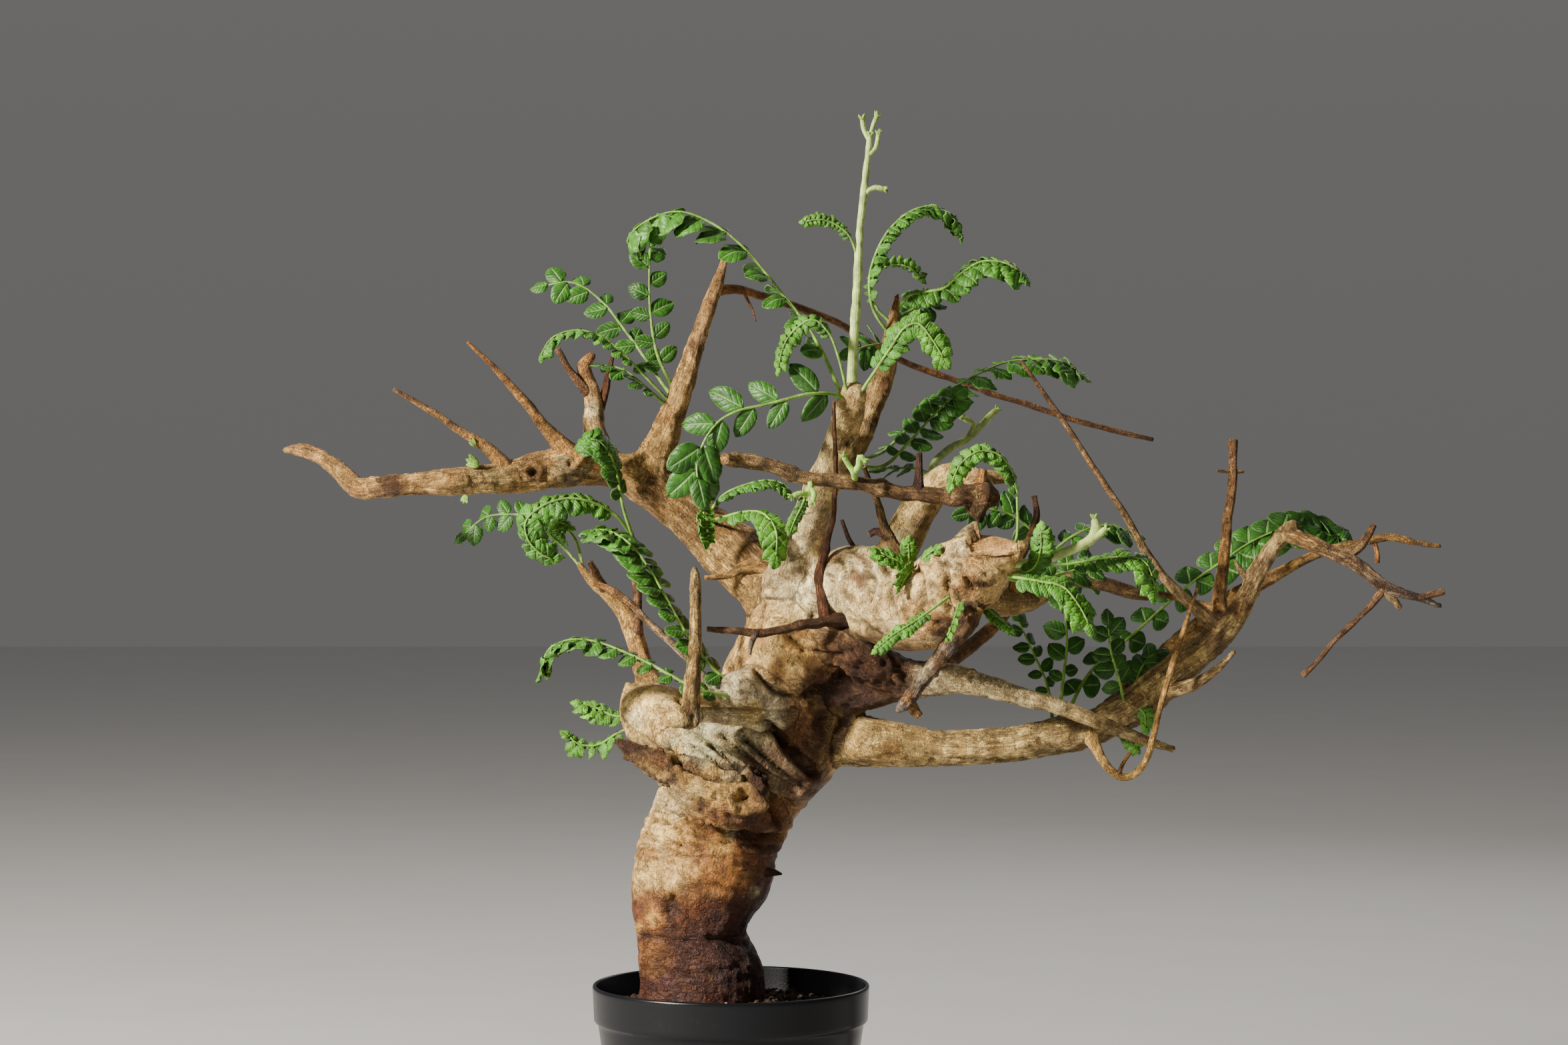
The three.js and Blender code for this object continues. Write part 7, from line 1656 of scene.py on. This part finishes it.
# Materials
class Paint:
    """A node material under construction, with short calls for the nodes that it needs"""

    def __init__(self, name, roughness=0.6, specular=0.5):
        self.material = bpy.data.materials.new(name)
        self.material.use_nodes = True
        self.tree = self.material.node_tree
        self.shader = self.tree.nodes["Principled BSDF"]
        self.shader.inputs["Roughness"].default_value = roughness
        self.shader.inputs["Specular IOR Level"].default_value = specular
        self.place = self.tree.nodes.new("ShaderNodeTexCoord").outputs["Object"]

    def put(self, socket, value):
        if isinstance(value, bpy.types.NodeSocket):
            self.tree.links.new(value, socket)
        elif isinstance(value, tuple) and len(value) == 3 and socket.type == "RGBA":
            socket.default_value = (*value, 1)
        else:
            socket.default_value = value

    def attribute(self, name, kind="Fac"):
        node = self.tree.nodes.new("ShaderNodeAttribute")
        node.attribute_name = name
        return node.outputs[kind]

    def math(self, operation, a, b=0.0, c=0.0):
        node = self.tree.nodes.new("ShaderNodeMath")
        node.operation = operation
        for socket, value in zip(node.inputs, (a, b, c)):
            self.put(socket, value)
        return node.outputs[0]

    def times(self, a, b):
        return self.math("MULTIPLY", a, b)

    def total(self, *parts):
        """The sum of values, each times its weight"""
        whole = 0.0
        for value, weight in parts:
            whole = self.math("MULTIPLY_ADD", value, weight, whole)
        return whole

    def scaled(self, vector, amounts):
        node = self.tree.nodes.new("ShaderNodeVectorMath")
        node.operation = "MULTIPLY"
        self.put(node.inputs[0], vector)
        self.put(node.inputs[1], amounts)
        return node.outputs[0]

    def grey(self, value):
        node = self.tree.nodes.new("ShaderNodeCombineColor")
        for socket in node.inputs:
            self.put(socket, value)
        return node.outputs[0]

    def parts(self, vector):
        node = self.tree.nodes.new("ShaderNodeSeparateXYZ")
        self.put(node.inputs[0], vector)
        return node.outputs

    def noise(self, vector, size, detail=3.0, roughness=0.55, warp=0.0):
        node = self.tree.nodes.new("ShaderNodeTexNoise")
        self.put(node.inputs["Vector"], vector)
        node.inputs["Scale"].default_value = 1 / size
        node.inputs["Detail"].default_value = detail
        node.inputs["Roughness"].default_value = roughness
        node.inputs["Distortion"].default_value = warp
        return node.outputs["Fac"]

    def ramp(self, value, low, high, start=0.0, end=1.0):
        node = self.tree.nodes.new("ShaderNodeMapRange")
        node.interpolation_type = "SMOOTHSTEP"
        for socket, amount in zip(node.inputs, (value, low, high, start, end)):
            self.put(socket, amount)
        return node.outputs[0]

    def mix(self, share, a, b, blend="MIX"):
        node = self.tree.nodes.new("ShaderNodeMix")
        node.data_type = "RGBA"
        node.blend_type = blend
        self.put(node.inputs["Factor"], share)
        self.put(node.inputs["A"], a)
        self.put(node.inputs["B"], b)
        return node.outputs["Result"]

    def tinted(self, colour, by):
        return self.mix(1.0, colour, by, "MULTIPLY")

    def bump(self, height, distance, strength):
        node = self.tree.nodes.new("ShaderNodeBump")
        self.put(node.inputs["Height"], height)
        node.inputs["Distance"].default_value = distance
        node.inputs["Strength"].default_value = strength
        return node.outputs[0]

    def finish(self, colour=None, roughness=None, normal=None):
        for name, value in (("Base Color", colour), ("Roughness", roughness), ("Normal", normal)):
            if value is not None:
                self.put(self.shader.inputs[name], value)
        return self.material


def bark_paint():
    paint = Paint("bark_wood", specular=0.27)
    tint = paint.attribute("tint", "Color")
    crack_and_shade = paint.attribute("crack_and_shade")
    dry = paint.attribute("fibre")
    waxy = paint.math("SUBTRACT", 1, dry)
    grain = paint.attribute("grain", "Vector")
    fibre = paint.noise(paint.scaled(grain, (1, 1, 0.13)), 0.0013, 4, 0.65)
    fold = paint.noise(paint.scaled(grain, (0.3, 0.3, 1)), 0.0016, 3, 0.55, 0.3)
    mottle = paint.noise(paint.place, 0.0048, 5, 0.62, 0.5)
    flaking = paint.noise(paint.place, 0.0085, 6, 0.74, 0.7)
    chipping = paint.noise(paint.place, 0.0030, 5, 0.72, 0.4)
    grit = paint.noise(paint.place, 0.0007, 3, 0.6)

    lines = paint.ramp(paint.math("ABSOLUTE", paint.math("SUBTRACT", fibre, 0.5)), 0.0, 0.05, 1, 0)
    lines = paint.times(lines, dry)
    streaks = paint.times(paint.ramp(fibre, 0.3, 0.7, -0.3, 0.3), dry)
    lightness = paint.math("ADD", paint.ramp(mottle, 0.32, 0.68, 0.62, 1.34), streaks)
    colour = paint.tinted(tint, paint.grey(lightness))
    flake = paint.ramp(flaking, 0.515, 0.54, 0, 1)
    colour = paint.mix(paint.times(flake, 0.5), colour, paint.tinted(tint, (0.52, 0.40, 0.28)))
    chip = paint.ramp(chipping, 0.575, 0.61, 0, 1)
    colour = paint.mix(paint.times(chip, 0.45), colour, paint.tinted(tint, (1.6, 1.55, 1.4)))
    # Pits painted dark: painted shade in the small hollows
    pit = paint.ramp(chipping, 0.365, 0.395, 1, 0)
    pit_shade = paint.times(pit, paint.math("ADD", 0.35, paint.times(dry, 0.45)))
    colour = paint.mix(pit_shade, colour, (0.07, 0.028, 0.011))
    rim = paint.ramp(paint.math("ABSOLUTE", paint.math("SUBTRACT", flaking, 0.515)), 0.0, 0.016, 0.6, 0)
    colour = paint.mix(rim, colour, (0.12, 0.050, 0.020))
    # Troughs of the folds on waxy skin painted dark: painted shade
    wrinkle_shade = paint.times(paint.ramp(fold, 0.36, 0.46, 0.30, 0), waxy)
    colour = paint.mix(wrinkle_shade, colour, (0.16, 0.065, 0.025))
    # Dark lines along the fibres of dry wood: partly the wood's own dark, partly painted shade in their
    # grooves
    colour = paint.mix(paint.times(lines, 0.7), colour, (0.07, 0.028, 0.012))
    # Darkest where the crack attribute is high: dark cracks, and painted shade in creases, dents, knots and
    # other hollows
    deep = paint.times(crack_and_shade, paint.ramp(grit, 0.25, 0.6, 1.0, 0.75))
    colour = paint.mix(deep, colour, (0.030, 0.012, 0.006))

    height = paint.total((streaks, 1.3), (mottle, 0.6), (paint.times(fold, waxy), 0.6), (grit, 0.2),
                         (flake, 0.28), (chip, 0.20), (pit, -0.30), (lines, -0.3))
    rough = paint.math("ADD", paint.ramp(mottle, 0.3, 0.7, 0.60, 0.40), paint.times(dry, 0.26))
    return paint.finish(colour, rough, paint.bump(height, 0.0024, 1.0))


def leaf_paint():
    paint = Paint("leaf_green", specular=0.3)
    tone = paint.attribute("tone", "Color")
    stalk = paint.attribute("stalk")
    blade = paint.math("SUBTRACT", 1, stalk)
    u, v, _ = paint.parts(paint.attribute("blade", "Vector"))
    side = paint.math("ABSOLUTE", v)
    midrib = paint.ramp(side, 0.03, 0.12, 1, 0)
    slanted = paint.math("SUBTRACT", paint.times(u, 5.5), paint.times(side, 1.6))
    near = paint.math("ABSOLUTE", paint.math("SUBTRACT", paint.math("FRACT", slanted), 0.5))
    veins = paint.ramp(near, 0.01, 0.07, 0.10, 0)
    mask = paint.times(paint.math("MAXIMUM", midrib, veins), blade)
    patch = paint.noise(paint.place, 0.0045, 4, 0.6)
    fine = paint.noise(paint.place, 0.0009, 3, 0.6)
    colour = paint.tinted(tone, paint.grey(paint.ramp(patch, 0.3, 0.7, 0.6, 1.35)))
    colour = paint.mix(paint.times(mask, 0.42), colour, (0.30, 0.46, 0.17))
    edge = paint.times(paint.ramp(side, 0.88, 1.0, 0, 0.2), blade)
    colour = paint.mix(edge, colour, (0.34, 0.52, 0.16))
    hairs = paint.times(paint.ramp(fine, 0.58, 0.70, 0, 0.35), stalk)
    colour = paint.mix(hairs, colour, (0.62, 0.68, 0.42))
    quilt = paint.ramp(near, 0.0, 0.32, 0, 1)
    height = paint.total((patch, 0.5), (quilt, 0.13), (mask, -0.45), (fine, 0.22))
    paint.shader.inputs["Subsurface Weight"].default_value = 0.15
    paint.shader.inputs["Subsurface Radius"].default_value = (0.5, 1.0, 0.15)
    paint.shader.inputs["Subsurface Scale"].default_value = 0.0012
    rough = paint.math("ADD", paint.ramp(patch, 0.3, 0.7, 0.48, 0.34), paint.times(stalk, 0.18))
    return paint.finish(colour, rough, paint.bump(height, 0.0007, 0.9))


def pot_paint():
    paint = Paint("black_pot_plastic", specular=0.2)
    fine = paint.noise(paint.place, 0.0007, 3, 0.6)
    wide = paint.noise(paint.scaled(paint.place, (1, 1, 0.25)), 0.02, 3, 0.5)
    dust = paint.ramp(paint.noise(paint.place, 0.006, 5, 0.7), 0.58, 0.80, 0, 0.10)
    colour = paint.mix(dust, (0.0050, 0.0053, 0.0068), (0.05, 0.042, 0.036))
    height = paint.total((fine, 0.5), (wide, 0.8))
    return paint.finish(colour, paint.ramp(wide, 0.3, 0.7, 0.20, 0.29), paint.bump(height, 0.00015, 0.5))


def soil_paint():
    paint = Paint("potting_soil_mix", specular=0.2)
    broad = paint.noise(paint.place, 0.005, 5, 0.7)
    fine = paint.noise(paint.place, 0.0009, 4, 0.7)
    colour = paint.mix(paint.ramp(broad, 0.35, 0.65, 0, 1), (0.020, 0.012, 0.008), (0.075, 0.042, 0.024))
    colour = paint.mix(paint.ramp(fine, 0.6, 0.72, 0, 0.6), colour, (0.16, 0.10, 0.06))
    height = paint.total((broad, 1), (fine, 0.5))
    return paint.finish(colour, 0.95, paint.bump(height, 0.0015, 1.0))


def crumb_paint():
    paint = Paint("crumb_and_perlite", specular=0.2)
    tint = paint.attribute("tint", "Color")
    fine = paint.noise(paint.place, 0.0007, 4, 0.7)
    colour = paint.tinted(tint, paint.grey(paint.ramp(fine, 0.3, 0.7, 0.6, 1.3)))
    return paint.finish(colour, 0.92, paint.bump(fine, 0.0006, 0.8))


def floor_paint():
    paint = Paint("studio_floor", roughness=0.75, specular=0.2)
    colour = paint.mix(paint.noise(paint.place, 0.08, 3), (0.50, 0.495, 0.49), (0.54, 0.535, 0.53))
    return paint.finish(colour)


# Stage, in metres. Lights are (name, place, what each looks at, size, power, colour).
FLOOR_SIZE = 12
FLOOR_LEVEL = -0.0006
LENS = 50
SENSOR_WIDTH = 23.5
LIGHTS = [
    ("key_window", (-1.34, -0.90, 0.96), (0.02, 0, 0.22), 0.22, 118, (1.0, 0.945, 0.84)),
    ("rear_rim", (0.55, 1.1, 0.95), (0.02, 0, 0.25), 0.8, 3.5, (1.0, 0.98, 0.95)),
]


def make_floor():
    bpy.ops.mesh.primitive_plane_add(size=FLOOR_SIZE, location=(0, 0, FLOOR_LEVEL))
    floor = bpy.context.active_object
    floor.name = "studio_floor_sheet"
    floor.data.materials.append(floor_paint())


def make_light(name, place, aim, size, power, colour):
    light = bpy.data.lights.new(name, "AREA")
    light.size = size
    light.energy = power
    light.color = colour
    lamp = bpy.data.objects.new(name, light)
    lamp.location = place
    lamp.rotation_euler = (Vector(aim) - Vector(place)).to_track_quat("-Z", "Y").to_euler()
    bpy.context.scene.collection.objects.link(lamp)


def make_world():
    """A pale sky, brighter upwards"""
    world = bpy.data.worlds.new("soft_studio")
    world.use_nodes = True
    tree = world.node_tree
    way = tree.nodes.new("ShaderNodeSeparateXYZ")
    tree.links.new(tree.nodes.new("ShaderNodeTexCoord").outputs["Generated"], way.inputs[0])
    blend = tree.nodes.new("ShaderNodeMapRange")
    blend.interpolation_type = "SMOOTHSTEP"
    for name, value in (("From Min", -0.02), ("From Max", 0.8), ("To Min", 0.135), ("To Max", 0.22)):
        blend.inputs[name].default_value = value
    tree.links.new(way.outputs[2], blend.inputs["Value"])
    tree.nodes["Background"].inputs["Color"].default_value = (1.0, 0.985, 0.96, 1)
    tree.links.new(blend.outputs[0], tree.nodes["Background"].inputs["Strength"])
    bpy.context.scene.world = world


def make_camera():
    """The photo's viewer, at eye level straight in front"""
    data = bpy.data.cameras.new("viewer")
    data.lens = LENS
    data.sensor_fit = "HORIZONTAL"
    data.sensor_width = SENSOR_WIDTH
    camera = bpy.data.objects.new("viewer", data)
    camera.location = (EYE_ACROSS * MM, -EYE_DISTANCE * MM, EYE_HEIGHT * MM)
    camera.rotation_euler = (math.pi / 2, 0, 0)
    bpy.context.scene.collection.objects.link(camera)
    bpy.context.scene.camera = camera


def dressed(piece, paint, slot, *nodes):
    """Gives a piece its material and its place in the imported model"""
    piece.data.materials.clear()
    piece.data.materials.append(paint)
    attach(piece, "root")
    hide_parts(*nodes)


make_camera()
make_world()
make_floor()
for light in LIGHTS:
    make_light(*light)

bark = bark_paint()
dressed(make_limbs(), bark, "bark", "wood")
dressed(make_twigs(), bark, "bark", "wood")
green = leaf_paint()
for order, name in enumerate(LEAVES):
    dressed(make_leaf(name, LEAF_SEED + order), green, "leaf", name)
for order, name in enumerate(SHOOTS):
    dressed(make_shoot(name, SHOOT_SEED + order), green, "young_shoot", name)
dressed(make_buds(), green, "leaf", "wood")
dressed(make_pot(), pot_paint(), "pot_plastic", "pot")
earth = soil_paint()
dressed(make_soil(), earth, "potting_soil", "soil")
crumbs = crumb_paint()
loose = scattered("soil_crumbs", 1500, (0.8, 2.8), (0.050, 0.029, 0.017), 5, 47.0)
dressed(loose, crumbs, "potting_soil", "soil")
grit = scattered("perlite_grains", 46, (1.2, 3.0), (0.72, 0.70, 0.64), 9, 46.0, 0.35)
dressed(grit, crumbs, "potting_soil", "soil")
